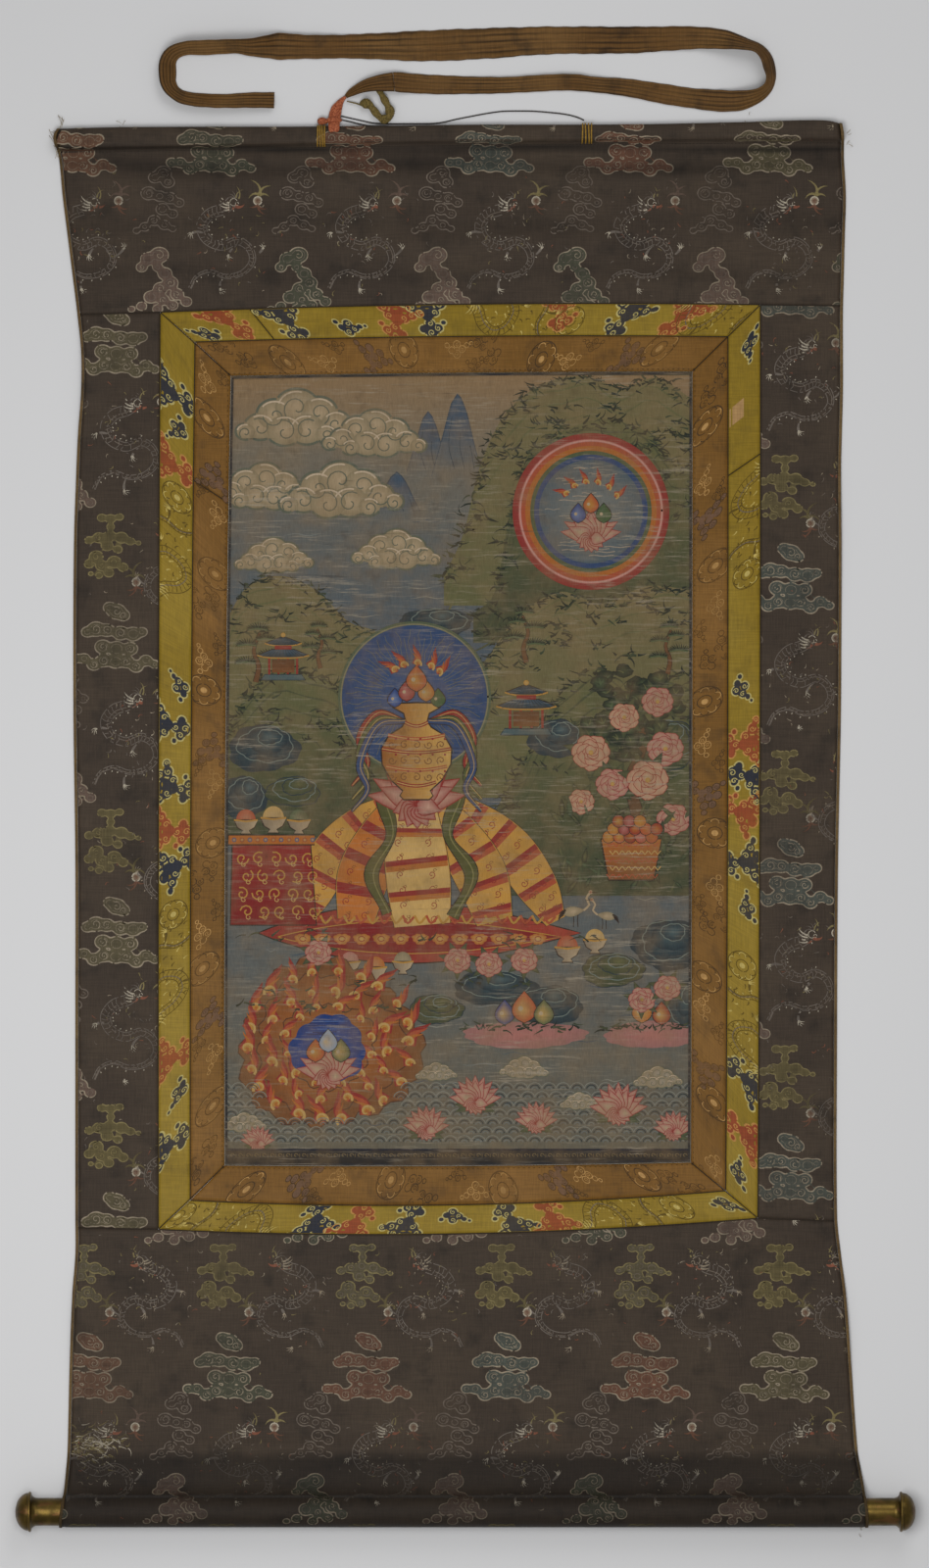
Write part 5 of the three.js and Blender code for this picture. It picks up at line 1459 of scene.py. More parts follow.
# Sky, lake and far mountains
SKY_BANDS = [(-395, -150, chart(92, 92, 76), LAKE), (-150, 60, LAKE, LAKE_DEEP), (60, 230, LAKE_DEEP, LAKE),
             (230, 330, LAKE, SKY_PALE), (330, 411, SKY_PALE, SKY_TAN)]
for band in SKY_BANDS:
    wash(*band)
for k in range(190):
    y = rng.uniform(-390, 300)
    x = rng.uniform(-243, 200)
    length = rng.uniform(12, 46)
    run = np.linspace(0, 1, 8)
    dye = rng.choice([chart(104, 112, 104), chart(118, 122, 108), chart(60, 76, 84), chart(70, 84, 84)])
    stroke(np.stack([x + length * run, y + 1.1 * np.sin(run * 9 + k)], 1), 0.9 * np.sin(math.pi * run) + 0.15,
           dye)
for x, y, wide, high in ((-38, 300, 26, 74), (-8, 296, 30, 96), (-70, 262, 30, 50)):
    peak = through([(x - wide, y), (x - wide * 0.55, y + high * 0.5), (x - wide * 0.2, y + high * 0.9),
                    (x, y + high), (x + wide * 0.3, y + high * 0.8), (x + wide * 0.6, y + high * 0.42),
                    (x + wide, y)], 6)
    foot = lerp(LAKE, SKY_PALE, np.clip((y - 230) / 100, 0, 1))
    coat(peak, graded(y, foot, y + high * 0.85, chart(60, 78, 90)))
    crest = np.clip((peak[:, 1] - y) / high, 0, 1)
    stroke(peak[crest > 0.12], 1.3 * crest[crest > 0.12] + 0.2, chart(54, 68, 76))
    for k in range(3):
        crag = through([(x - wide * 0.2 + 9 * k, y + high * (0.75 - 0.16 * k)),
                        (x - wide * 0.3 + 11 * k, y + high * 0.45),
                        (x - wide * 0.1 + 10 * k, y + high * 0.2)], 5)
        stroke(crag, 0.7, chart(54, 66, 70))

BANK = [(-30, -6, 13), (-18, 4, 15), (0, 10, 18), (18, 6, 15), (32, -3, 12), (8, -8, 15), (-10, -9, 15),
        (44, -8, 8), (-42, -10, 8), (24, -12, 9)]


def cloud_bank(x, y, size=1.0, flip=1, warm=True):
    """A heap of pale cloud with curled edges."""
    stand(x, y, size, flip)
    cloud(picture, BANK, CREAM_DIM, CLOUD_LINE, 2.0, 0, False, CREAM if warm else chart(136, 132, 112))
    for k, (lump_x, lump_y, radius) in enumerate(BANK):
        stroke(spiral(lump_x, lump_y - 1, radius * 0.66, 1.0, 2.2 + k, 1 if k % 2 else -1, 16), 1.0, CLOUD_LINE)
        stroke(circle(lump_x, lump_y, radius * 0.84, 9, 0.5 + 0.4 * (k % 3), 1.6, LUMP_OVAL), 1.3,
               chart(172, 162, 134))
    stand(0, 0)


for x, y, size, flip in ((-172, 366, 1.25, 1), (-92, 350, 1.05, -1), (-205, 296, 1.05, -1),
                         (-128, 292, 1.25, 1), (-70, 232, 0.9, -1), (-196, 226, 0.8, 1)):
    cloud_bank(x, y, size, flip)


def foliage(x, y, spread_x, spread_y, count):
    """Dabs of dark leaf along a slope."""
    for _ in range(count):
        px, py = x + rng.gauss(0, spread_x), y + rng.gauss(0, spread_y)
        turn = rng.choice([150, 30, 170, 10, 200, -20]) + rng.uniform(-15, 15)
        tongue(picture, px, py, rng.uniform(5, 13), rng.uniform(1.2, 2.8), turn,
               rng.choice([LEAF_DARK, LEAF_DARK, LEAF_DIM]),
               rng.uniform(-0.4, 0.4), False, 4)


def hill(points, low_dye, high_dye, seed, base):
    """A green slope: its outline, its rounded folds, and dark leaves along its crest."""
    crest = through(points, 6)
    outline = np.vstack([crest, [(points[-1][0], base), (points[0][0], base)]])
    top = max(p[1] for p in points)
    coat(outline, graded(base, low_dye, top, high_dye))
    for drop in (10, 24, 42):
        sway = 3 * np.sin(crest[::2, 0] / 9 + seed)
        inner = crest[::2] - (0, drop) + np.stack([0 * sway, sway], 1)
        stroke(inner, 1.0 + 1.2 * np.abs(np.sin(np.arange(len(inner)) * 0.7)), lerp(low_dye, high_dye, 0.25))
    for k in range(0, len(crest) - 1, 2):
        foliage(crest[k, 0], crest[k, 1] - 2, 3.2, 3.0, 6)
    for _ in range(len(crest) // 2):
        x = rng.uniform(points[0][0], points[-1][0])
        y = np.interp(x, crest[:, 0], crest[:, 1]) - rng.uniform(14, 70)
        foliage(x, y, 6, 2.0, 6)


# Level of its foot, dark and light dye, and crest of each hill, from the farthest to the nearest
HILLS = [
    (176, HILL, HILL_WARM, [(-22, 206), (-2, 250), (16, 322), (44, 376), (84, 404), (122, 410), (160, 398),
                            (196, 408), (240, 380)]),
    (138, HILL_DARK, HILL, [(8, 168), (30, 190), (44, 262), (64, 330), (96, 352), (140, 366), (188, 352),
                            (214, 320), (240, 318)]),
    (-20, HILL, HILL_WARM, [(-250, 150), (-222, 196), (-186, 206), (-150, 190), (-120, 160), (-92, 150),
                            (-60, 128), (-10, 84)]),
    (-20, HILL, HILL_WARM, [(-30, 60), (20, 120), (52, 164), (96, 190), (140, 178), (186, 196), (240, 190)]),
    (-60, HILL_DARK, HILL, [(-250, 40), (-214, 96), (-176, 112), (-134, 96), (-100, 64), (-70, 30),
                            (-50, -20)]),
    (-120, HILL_DARK, HILL, [(16, -60), (60, 20), (96, 84), (136, 112), (180, 92), (214, 108), (240, 96)]),
]
for seed, (foot, low_dye, high_dye, crest_points) in enumerate(HILLS):
    hill(crest_points, low_dye, high_dye, seed, foot)


def rock(x, y, wide, high, seed, green):
    """A rock in steps, each edged dark below and light above."""
    for k in range(4):
        share = 1 - 0.22 * k
        base, light = (HILL_DARK, HILL) if green else (STONE_DARK, STONE)
        outline = lobed(x + 2 * k, y + high * 0.18 * k, wide * share, high * share, 9, 0.10, seed + k, 40)
        dab(outline, base, lerp(base, light, 0.5 + 0.2 * k))
        stroke(looped(outline), 1.0, chart(96, 110, 100) if k % 2 else STONE_DARK)


for x, y, wide, high, seed, green in (
        (-30, 158, 34, 14, 0, False), (-206, 30, 34, 22, 1, False), (92, 40, 26, 18, 2, False),
        (206, 34, 30, 24, 3, True), (-226, -20, 22, 20, 4, False), (-176, -14, 26, 14, 5, True),
        (206, -170, 34, 24, 6, False), (150, -196, 30, 16, 7, True), (30, -214, 40, 16, 1, False),
        (84, -232, 34, 18, 2, False), (-30, -236, 26, 14, 4, True), (222, -236, 20, 26, 5, False)):
    rock(x, y, wide, high, seed, green)

# The ring in the upper right: bands of rainbow light round a lake with a jewelled lotus
ROUNDEL = (128, 272)
ROUNDEL_BANDS = [(80, PAINT_RED, ROSE), (74, chart(150, 96, 84), chart(160, 118, 104)),
                 (71, VERMILION, VERMILION), (67, AMBER, BROWN), (62, chart(72, 84, 58), JADE),
                 (58, HALO_BLUE, HALO_BLUE), (53, chart(74, 88, 90), chart(112, 116, 104))]
for radius, dye, middle in ROUNDEL_BANDS:
    dab(circle(*ROUNDEL, radius, 72), dye, middle)
stroke(circle(*ROUNDEL, 72.4, 73, turn=6.4), 1.6, chart(172, 130, 116))
for k in range(46):
    y = rng.uniform(-46, 46)
    half = math.sqrt(52 ** 2 - y * y) - 3
    x = rng.uniform(-half, half * 0.4)
    run = np.linspace(0, 1, 6)
    stroke(np.stack([ROUNDEL[0] + x + rng.uniform(10, 30) * run, ROUNDEL[1] + y + 0.6 * np.sin(run * 8)], 1),
           0.9,
                   rng.choice([chart(128, 126, 110), chart(140, 134, 114), chart(88, 98, 94)]))


def lotus(x, y, size, outer=ROSE, inner=CREAM):
    """A lotus seen from the side: a back row of petals, a front row, and a dark line round each."""
    stand(x, y, size)
    for turns, length, width in ((range(10, 180, 20), 30, 13), (range(24, 170, 22), 24, 13),
                                 (range(200, 350, 24), 15, 12)):
        for turn in turns:
            outline = petal(length, width, turn)
            dab(outline, outer, inner)
            stroke(looped(outline), 0.7, PAINT_RED)
    stand(0, 0)


def jewel(x, y, size, dye, light):
    """A pear-shaped jewel with a bright spot."""
    outline = petal(22 * size, 17 * size, 90, x, y, 0.75, 10)
    dab(outline, dye, light, (x - 2 * size, y + 9 * size))
    stroke(looped(outline), 0.8, OUTLINE)
    dab(circle(x - 2.6 * size, y + 10 * size, 1.8 * size, 8), CREAM)


def flame(x, y, size, turn=90, flip=1):
    """A curled tongue of fire: red outside, orange and straw within, with a hook at its foot."""
    stand(x, y, size, flip, turn - 90)
    for width, length, dye in ((11, 26, PAINT_RED), (8, 21, VERMILION), (5, 15, AMBER)):
        t = np.linspace(0, 1, 8)
        line = np.stack([3.5 * np.sin(t * 4.2) - 1.5, length * t - 3], 1)
        stroke(line, width * (1 - t) ** 0.6 * (0.55 + 0.45 * np.sin(math.pi * np.minimum(t + 0.25, 1))) + 0.3,
               dye)
    stroke(spiral(0.5, -1, 6.2, 0.85, -0.6, 1, 12), np.linspace(2.6, 0.8, 12), STRAW)
    stroke(spiral(0.5, -1, 3.6, 0.8, -0.4, 1, 9), np.linspace(1.8, 0.6, 9), GOLD)
    stand(0, 0)


def round_about(middle, wide, high, turn):
    """The place at a turn in degrees on an oval round a middle."""
    return middle[0] + wide * math.cos(math.radians(turn)), middle[1] + high * math.sin(math.radians(turn))


lotus(ROUNDEL[0], ROUNDEL[1] - 26, 1.05)
for dx, dye, light in ((-13, DEEP_BLUE, chart(92, 116, 146)), (13, chart(60, 84, 52), JADE),
                       (0, VERMILION, GOLD)):
    jewel(ROUNDEL[0] + dx, ROUNDEL[1] - 12 + (10 if dx == 0 else 0), 0.95, dye, light)
for turn in range(30, 151, 24):
    flame(*round_about((ROUNDEL[0], ROUNDEL[1] + 4), 30, 27, turn), 0.62, turn)

# The blue disc behind the treasure vase, with its pale rim and fine gold rays
HALO = (-52, 82)
HALO_RADIUS = 74
dab(circle(*HALO, HALO_RADIUS + 4, 72), chart(76, 88, 66), JADE)
dab(circle(*HALO, HALO_RADIUS, 72), HALO_BLUE, chart(56, 78, 108))
stroke(circle(*HALO, HALO_RADIUS + 1, 73, turn=6.4), 1.4, chart(112, 112, 84))
for k in range(72):
    angle = 2 * math.pi * k / 72
    ray = np.linspace(34, HALO_RADIUS - (4 if k % 2 else 12), 7)
    wave = angle + 0.03 * np.sin(ray / 4 + k) * (k % 2)
    stroke(np.stack([HALO[0] + ray * np.cos(wave), HALO[1] + ray * np.sin(wave)], 1), 0.5, chart(96, 100, 84))

# The draped seat: a broad heap of yellow brocade with red bands, on a patterned carpet
SEAT_X, SEAT_Y = -40, -96
carpet = petal(330, 62, 0, SEAT_X - 172, SEAT_Y - 62, 0.9, 24)
coat(carpet, graded(SEAT_X - 170, PAINT_RED, SEAT_X + 160, chart(136, 62, 48), 0), OUTLINE, 1.2)
coat(petal(290, 34, 0, SEAT_X - 152, SEAT_Y - 66, 0.9, 20), chart(112, 40, 38), GOLD, 1.0)
for k in range(13):
    x = SEAT_X - 126 + 20 * k
    dab(lobed(x, SEAT_Y - 68, 7.5, 5, 8, 0.16), AMBER, STRAW)
    stroke(circle(x, SEAT_Y - 68, 3.2, 13, turn=6.4, oval=0.8), 0.8, PAINT_RED)


def folded_cloth(points, base, band):
    """One hanging fold of a patterned robe cloth: a broad band with stripes across, edged with gold."""
    spine = through(points, 5.0)
    count = len(spine)
    centre, width = spine[:, :2], spine[:, 2]
    stroke(centre, width + 2.4, OUTLINE)
    stroke(centre, width + 1.2, GOLD)
    stroke(centre, width, lerp(base, np.array(base) * 1.22, np.abs(np.sin(np.arange(count) / 3))[:, None]))
    for k in range(2, count - 2, 6):
        stroke(centre[k:k + 3], width[k:k + 3] - 0.6, band)
        stroke(centre[k:k + 2], width[k:k + 2] + 0.2, PAINT_RED)
    for k in range(5, count - 1, 3):
        for side in (-0.28, 0.22):
            place = centre[k] + np.array([width[k] * side, 0])
            stroke(spiral(*place, 4.2, 1.2, k, 1 if side > 0 else -1, 11), 0.8, PAINT_RED)
            stroke(spiral(*(place + (3, 4)), 2.4, 1.0, k + 2, 1, 8), 0.6, BROWN)


for points, base, band in (
        ([(-70, -26, 20), (-106, -46, 34), (-136, -78, 44), (-158, -118, 40), (-172, -146, 22)], GOLD,
         VERMILION),
        ([(-30, -24, 20), (10, -42, 34), (46, -72, 44), (74, -112, 40), (92, -146, 20)], GOLD, VERMILION),
        ([(-60, -20, 26), (-84, -58, 46), (-104, -100, 52), (-112, -146, 36)], AMBER, PAINT_RED),
        ([(-40, -20, 26), (-8, -60, 46), (16, -100, 52), (30, -146, 36)], GOLD, VERMILION),
        ([(-50, -16, 34), (-52, -60, 58), (-48, -104, 64), (-44, -150, 56)], STRAW, AMBER)):
    folded_cloth(points, base, band)
for k, x in enumerate(range(-160, 84, 12)):
    stroke(through([(x, -140), (x + 5, -148), (x + 12, -141)], 2.5), 2.4, GOLD if k % 2 else VERMILION)
for x, top, low, sway in ((-86, -18, -138, 10), (-6, -18, -142, -12)):
    scarf = through([(x, top), (x + sway, top - 40), (x - sway, top - 80), (x + sway * 0.6, low)], 5)
    stroke(scarf, 13 + 3 * np.sin(np.arange(len(scarf)) / 2), OUTLINE)
    stroke(scarf, 11 + 3 * np.sin(np.arange(len(scarf)) / 2), chart(74, 78, 44))
    stroke(scarf + (2, 0), 1.2, chart(112, 112, 68))
lotus(-50, -26, 1.7, chart(136, 84, 74), chart(170, 140, 118))

# The vase: a full belly, a narrow neck and a wide lip, bound with scarves, with jewels above
VASE = [(13, -8), (17, -4), (14, 1), (26, 12), (35, 28), (36, 44), (28, 58), (15, 66), (11, 72), (13, 80),
        (24, 86), (26, 90), (0, 91)]
vase = np.array([(-50 + r, y - 14) for r, y in VASE] + [(-50 - r, y - 14) for r, y in VASE[::-1]])
coat(vase, graded(-86, chart(128, 84, 40), -14, chart(176, 146, 78), 0), OUTLINE, 1.4)
for y, half, dye in ((-4, 20, PAINT_RED), (12, 31, VERMILION), (30, 35, PAINT_RED), (44, 29, VERMILION),
                     (57, 12, PAINT_RED)):
    band = np.stack([np.linspace(-50 - half, -50 + half, 16), y - 4 * np.sin(np.linspace(0, math.pi, 16))], 1)
    stroke(band, 3.4, dye)
    stroke(band, 1.0, STRAW)
for row, y in enumerate((4, 21, 37)):
    for k in range(5):
        x = -50 + (k - 2) * 12.5
        stroke(spiral(x, y - 3, 4.6, 1.2, k, 1 if k % 2 else -1, 11), 1.0, BROWN)
        dab(circle(x + 4, y + 3, 1.3, 6), PAINT_RED)
for flip in (-1, 1):
    for dy, dye in ((0, PAINT_RED), (7, chart(74, 84, 50)), (13, HALO_BLUE)):
        scarf = through([(-50 + flip * 12, 58), (-50 + flip * 40, 66 - dy), (-50 + flip * 58, 40 - dy * 2),
                         (-50 + flip * 50, 14 - dy * 2), (-50 + flip * 66, -8 - dy * 2)], 4)
        taper = 7 * np.sin(np.linspace(0.5, 2.9, len(scarf)))
        stroke(scarf, taper + 1.4, OUTLINE)
        stroke(scarf, taper, dye)
        stroke(scarf + (0.8, 0.8), 0.7, STRAW)
for x, y, size, dye, light in ((-72, 72, 0.9, DEEP_BLUE, chart(92, 116, 146)),
                               (-28, 72, 0.9, chart(60, 84, 52), JADE), (-60, 78, 1.0, PAINT_RED, ROSE),
                               (-40, 78, 1.0, AMBER, STRAW), (-50, 88, 1.25, VERMILION, GOLD)):
    jewel(x, y, size, dye, light)
for turn in (40, 62, 90, 118, 140):
    flame(*round_about((-50, 96), 30, 22, turn), 0.8, turn)


def pavilion(x, y, size):
    """A small open hall on a stone base, with two roofs of upturned eaves."""
    stand(x, y, size)
    coat([(-24, 0), (24, 0), (20, 6), (-20, 6)], STONE, STONE_DARK, 0.8)
    for column in (-15, -5, 5, 15):
        stroke([(column, 6), (column, 24)], 2.2, PAINT_RED)
    coat([(-12, 8), (12, 8), (12, 22), (-12, 22)], graded(8, BROWN, 22, chart(84, 60, 40)))
    for low_y, half, high_y, top_half in ((24, 25, 33, 12), (37, 17, 46, 3)):
        eaves = through([(-half - 3, low_y + 2.5), (-half * 0.6, low_y), (half * 0.6, low_y),
                         (half + 3, low_y + 2.5)], 4)
        roof = np.concatenate([eaves, [(top_half, high_y), (-top_half, high_y)]])
        coat(roof, graded(low_y, STONE_DARK, high_y, chart(62, 84, 96)), OUTLINE, 0.8)
        stroke(eaves, 1.4, GOLD)
        for k in range(-5, 6):
            stroke([(k * half / 5.6, low_y + 1), (k * top_half / 5.6, high_y)], 0.6, STONE_DARK)
    coat([(-9, 33), (9, 33), (9, 37), (-9, 37)], PAINT_RED)
    dab(circle(0, 48.5, 2.6, 10), GOLD, STRAW)
    stand(0, 0)


def pine(x, y, size, flip=1):
    """A leaning pine with needles in flat tiers."""
    stand(x, y, size, flip)
    stem = through([(0, 0, 5), (3, 16, 4), (-2, 32, 3), (4, 50, 2)], 4)
    stroke(stem[:, :2], stem[:, 2] + 1.2, OUTLINE)
    stroke(stem[:, :2], stem[:, 2], chart(92, 66, 42))
    for tier_x, tier_y, half in ((-10, 20, 12), (13, 27, 13), (-9, 38, 12), (10, 44, 11), (2, 54, 12)):
        for k in range(14):
            turn = 180 * k / 13
            tongue(picture, tier_x + half * 0.4 * math.cos(math.radians(turn)), tier_y, half * 0.62, 2.0, turn,
                   LEAF_DARK if k % 2 else LEAF_DIM, 0.1, False, 4)
        stroke([(tier_x - half * 0.8, tier_y - 1), (tier_x, tier_y + 0.5), (tier_x + half * 0.8, tier_y - 1)],
               1.6, JADE)
    stand(0, 0)


def crane(x, y, size, flip=1):
    """A white crane that stands in the shallows."""
    stand(x, y, size, flip)
    for foot in (-2, 3):
        stroke([(foot, 14), (foot * 0.8, 7), (foot, 0)], 0.9, OUTLINE)
    dab(petal(26, 11, 8, -15, 15, 0.8, 8), CREAM_DIM, CREAM)
    for k in range(4):
        tongue(picture, -10 - k, 18 - 1.6 * k, 9, 2.2, 186 + 8 * k, OUTLINE, 0.2, False)
    neck = through([(9, 18), (15, 24), (12, 31), (16, 37)], 3)
    stroke(neck, 2.4, CREAM)
    dab(circle(16.5, 37.5, 2.3, 9), CREAM, PAINT_RED)
    tongue(picture, 18, 37.5, 7, 1.2, -8, OUTLINE, 0, False)
    stand(0, 0)


pine(-214, 98, 1.0)
pine(-148, 112, 0.8, -1)
pine(62, 118, 0.95, -1)
pine(206, 106, 0.9)
pavilion(-186, 100, 0.95)
pavilion(62, 44, 1.1)
crane(112, -152, 0.95)
crane(142, -154, 0.8, -1)


def peony(x, y, size, outer=ROSE):
    """A full-blown flower on dark leaves."""
    stand(x, y, size)
    for k in range(7):
        leaf = petal(26, 10, 360 / 7 * k + 11, 0, 0, 0.7, 6)
        dab(leaf, LEAF_DIM, HILL)
        stroke(leaf[[0, 3, 5]] * 0.5, 0.6, LEAF_DARK)
    for radius, count, reach in ((11, 7, 8), (7, 6, 6.5), (3, 5, 4.5)):
        for k in range(count):
            angle = 2 * math.pi * k / count + radius
            px, py = radius * math.cos(angle) * 0.8, radius * math.sin(angle) * 0.8
            outline = lobed(px, py, reach, reach * 0.85, 5, 0.12, k, 14)
            dab(outline, outer, CREAM)
            stroke(looped(outline), 0.5, PAINT_RED)
    dab(circle(0, 0, 2.2, 8), GOLD, STRAW)
    stand(0, 0)


# The garden on the right: a tree, peonies, broad leaves and a basket of fruit
trunk = through([(176, -40, 13), (168, 0, 9), (182, 36, 7), (170, 76, 5), (176, 104, 3)], 5)
stroke(trunk[:, :2], trunk[:, 2] + 1.4, OUTLINE)
stroke(trunk[:, :2], trunk[:, 2], chart(84, 64, 44))
for k in range(64):
    angle, reach = rng.uniform(0, 2 * math.pi), rng.uniform(0, 1) ** 0.6
    x, y = 168 + 54 * reach * math.cos(angle), 66 + 44 * reach * math.sin(angle)
    outline = lobed(x, y, 8, 6.5, 7, 0.2, k, 12)
    dab(outline, LEAF_DARK, rng.choice([HILL_DARK, chart(72, 84, 56), JADE]))
    for turn in (30, 80, 130):
        tongue(picture, x, y - 2, 7, 1.4, turn + rng.uniform(-15, 15), rng.choice([HILL, JADE, LEAF_DIM]), 0.2,
               False, 4)
for x, y, size in ((128, 26, 1.15), (162, 62, 0.9), (196, 78, 0.95), (204, 30, 1.1), (150, -6, 1.0),
                   (186, -2, 1.25), (118, -24, 0.8), (212, -42, 1.0)):
    peony(x, y, size, rng.choice([ROSE, chart(158, 122, 96)]))
for k in range(70):
    x, y = rng.uniform(96, 228), rng.uniform(-120, -36)
    leaf = petal(rng.uniform(12, 24), rng.uniform(3, 6), rng.uniform(20, 160), x, y, 0.7, 5)
    dab(leaf, rng.choice([LEAF_DIM, HILL_DARK, LEAF_DARK]), rng.choice([JADE, HILL]))
basket = np.array([(138, -62), (200, -62), (192, -104), (146, -104)])
coat(basket, graded(-104, BROWN, -62, AMBER), OUTLINE, 1.4)
for row in range(5):
    for k in range(8):
        x = 144 + 6.6 * k + 3 * (row % 2)
        stroke([(x, -66 - 8 * row), (x + 3, -70 - 8 * row), (x + 6, -66 - 8 * row)], 1.2,
               STRAW if row % 2 else VERMILION)
for k in range(13):
    x, y = 146 + (k % 5) * 11 + 5 * (k // 5), -60 + 8 * (k // 5)
    dab(circle(x, y, 6.4, 12), rng.choice([PAINT_RED, VERMILION, AMBER]), rng.choice([GOLD, AMBER, ROSE]))
    stroke(circle(x, y, 6.4, 13, turn=6.4), 0.7, OUTLINE)

# The offering table on the left, hung with red cloth in gold scrolls, with bowls and conches
coat([(-238, -66), (-158, -66), (-152, -150), (-240, -150)], graded(-150, chart(108, 38, 36), -66, PAINT_RED),
     OUTLINE, 1.4)
for row in range(4):
    for k in range(5):
        x, y = -228 + 17 * k + 5 * (row % 2), -82 - 18 * row
        stroke(spiral(x, y, 7, 1.2, k + row, 1 if k % 2 else -1, 13), 1.5, GOLD)
        stroke(spiral(x + 2, y - 6, 3.4, 0.9, 2, 1, 8), 0.9, STRAW)
coat([(-242, -58), (-154, -58), (-154, -68), (-242, -68)], AMBER, OUTLINE, 1.2)
for k in range(11):
    dab(circle(-236 + 8 * k, -63, 2.4, 8), PAINT_RED if k % 2 else DEEP_BLUE, STRAW)


def bowl(x, y, size, filling):
    """An offering bowl on a foot, heaped full."""
    stand(x, y, size)
    dab(circle(0, 3, 9, 14, 0, math.pi, 1.1), filling, lerp(filling, CREAM, 0.4), (0, 5))
    body = [(-11, 3), (11, 3), (8, -4), (3, -7), (5, -10), (-5, -10), (-3, -7), (-8, -4)]
    coat(body, graded(-11, chart(112, 104, 84), 11, CREAM, 0), OUTLINE, 1.0)
    stroke([(-11, 3), (0, 1.6), (11, 3)], 1.6, GOLD)
    stand(0, 0)


for x, y, size, filling in ((-224, -46, 1.1, VERMILION), (-196, -44, 1.2, STRAW), (-170, -46, 1.1, JADE),
                            (-118, -190, 1.0, ROSE), (-92, -196, 1.1, AMBER), (-64, -190, 1.0, CREAM_DIM),
                            (104, -176, 1.2, VERMILION), (132, -168, 1.1, STRAW)):
    bowl(x, y, size, filling)

# Fire round three jewels, lower left: a brown mass of smoke with curled flames all over it
FIRE = (-140, -272)
for radius, dye, middle in ((86, BROWN, BROWN), (70, chart(112, 74, 42), AMBER),
                            (44, chart(120, 78, 42), AMBER)):
    outline = lobed(*FIRE, radius, radius * 0.92, 18, 0.12, radius)
    dab(outline, dye, middle)
    stroke(looped(outline), 1.2, chart(74, 50, 36))
for radius, count, size in ((84, 22, 1.1), (62, 16, 1.0), (44, 12, 0.85)):
    for k in range(count):
        turn = 360 * k / count + radius
        x, y = round_about(FIRE, radius, radius * 0.9, turn)
        flame(x, y, size * rng.uniform(0.85, 1.2), 90 + 0.175 * (turn % 360 - 180) + rng.uniform(-25, 25),
              rng.choice([-1, 1]))
dab(lobed(FIRE[0], FIRE[1] - 4, 36, 32, 10, 0.1, 2), DEEP_BLUE, chart(40, 70, 122))
for k in range(26):
    y = rng.uniform(-30, 24)
    stroke([(FIRE[0] - 24 + rng.uniform(0, 16), FIRE[1] + y),
            (FIRE[0] + rng.uniform(0, 26), FIRE[1] + y + 0.6)], 0.9,
                   rng.choice([chart(70, 96, 136), chart(24, 42, 84)]))
lotus(FIRE[0], FIRE[1] - 30, 1.1)
for dx, dy, dye, light in ((-13, -18, VERMILION, GOLD), (13, -18, JADE, STRAW),
                           (0, -8, chart(120, 138, 148), CREAM)):
    jewel(FIRE[0] + dx, FIRE[1] + dy, 1.1, dye, light)

# The lake at the foot: waves in rows of scales, foam, lotus flowers and two pink banks with jewels
for row in range(7):
    for k in range(34):
        x, y = -246 + 14.4 * k + 7.2 * (row % 2), -372 + 9 * row
        if abs(x - FIRE[0]) < 70 and y > -352:
            continue
        for radius, dye in ((7.4, chart(112, 118, 106)), (5.0, STONE_DARK), (2.8, chart(98, 108, 102))):
            stroke(circle(x, y, radius, 8, 0.2, 2.74), 1.0, dye)
for x, y, size, flip in ((-30, -300, 0.42, 1), (60, -296, 0.5, -1), (196, -306, 0.5, 1), (-226, -352, 0.45, 1),
                         (116, -330, 0.4, 1)):
    cloud_bank(x, y, size, flip, False)
for x, y, size in ((10, -330, 0.9), (72, -352, 0.75), (156, -340, 1.0), (212, -360, 0.7), (-40, -358, 0.8),
                   (-212, -372, 0.6)):
    for turn in (200, 340, 180, 0):
        dab(petal(24 * size, 9 * size, turn, x, y - 3, 0.8, 6), HILL_DARK, JADE)
    lotus(x, y, size)
for x, wide in ((60, 60), (190, 46)):
    dab(lobed(x, -262, wide, 13, 12, 0.08, x), chart(132, 98, 90), ROSE)
    for k in range(9):
        foliage(x - wide + wide / 4.5 * k, -254, 4, 2.5, 4)
for x, y, size, dye in ((40, -252, 1.2, DEEP_BLUE), (60, -250, 1.5, VERMILION), (80, -252, 1.2, JADE),
                        (180, -250, 1.2, AMBER), (200, -252, 1.1, PAINT_RED)):
    jewel(x, y, size, dye, STRAW)
for x, y in ((-8, -186), (24, -190), (60, -186), (-150, -178), (180, -226), (206, -214)):
    peony(x, y, 0.8)
for k in range(16):
    foliage(rng.uniform(-230, 220), rng.choice([-160, -214, -236]) + rng.uniform(-8, 8), 10, 3, 5)

# A dark line round the painting, and the dark band below it with one row of plain ornament
BAND_LOW, BAND_HIGH = -391, -379
wash(-398, BAND_HIGH, chart(44, 43, 38), chart(52, 51, 46))
stroke(np.stack([np.linspace(-243, 231, 30), np.full(30, BAND_HIGH)], 1), 1.6, chart(32, 36, 46))
for k in range(58):
    x = -238 + 8.1 * k
    middle_y = (BAND_LOW + BAND_HIGH) / 2
    stroke(spiral(x, middle_y, 2.6, 0.9, 0, 1, 8), 0.6, chart(112, 100, 66))
    stroke([(x + 4, middle_y - 1.6), (x + 4, middle_y + 1.8)], 0.7, chart(98, 88, 62))
border = np.concatenate([on_seam(2, side, np.linspace(0, 1, 30))[:-1] for side in (TOP, RIGHT, BOTTOM, LEFT)])
border = border * (0.9925, 0.9955) + (-0.05, 0.0)
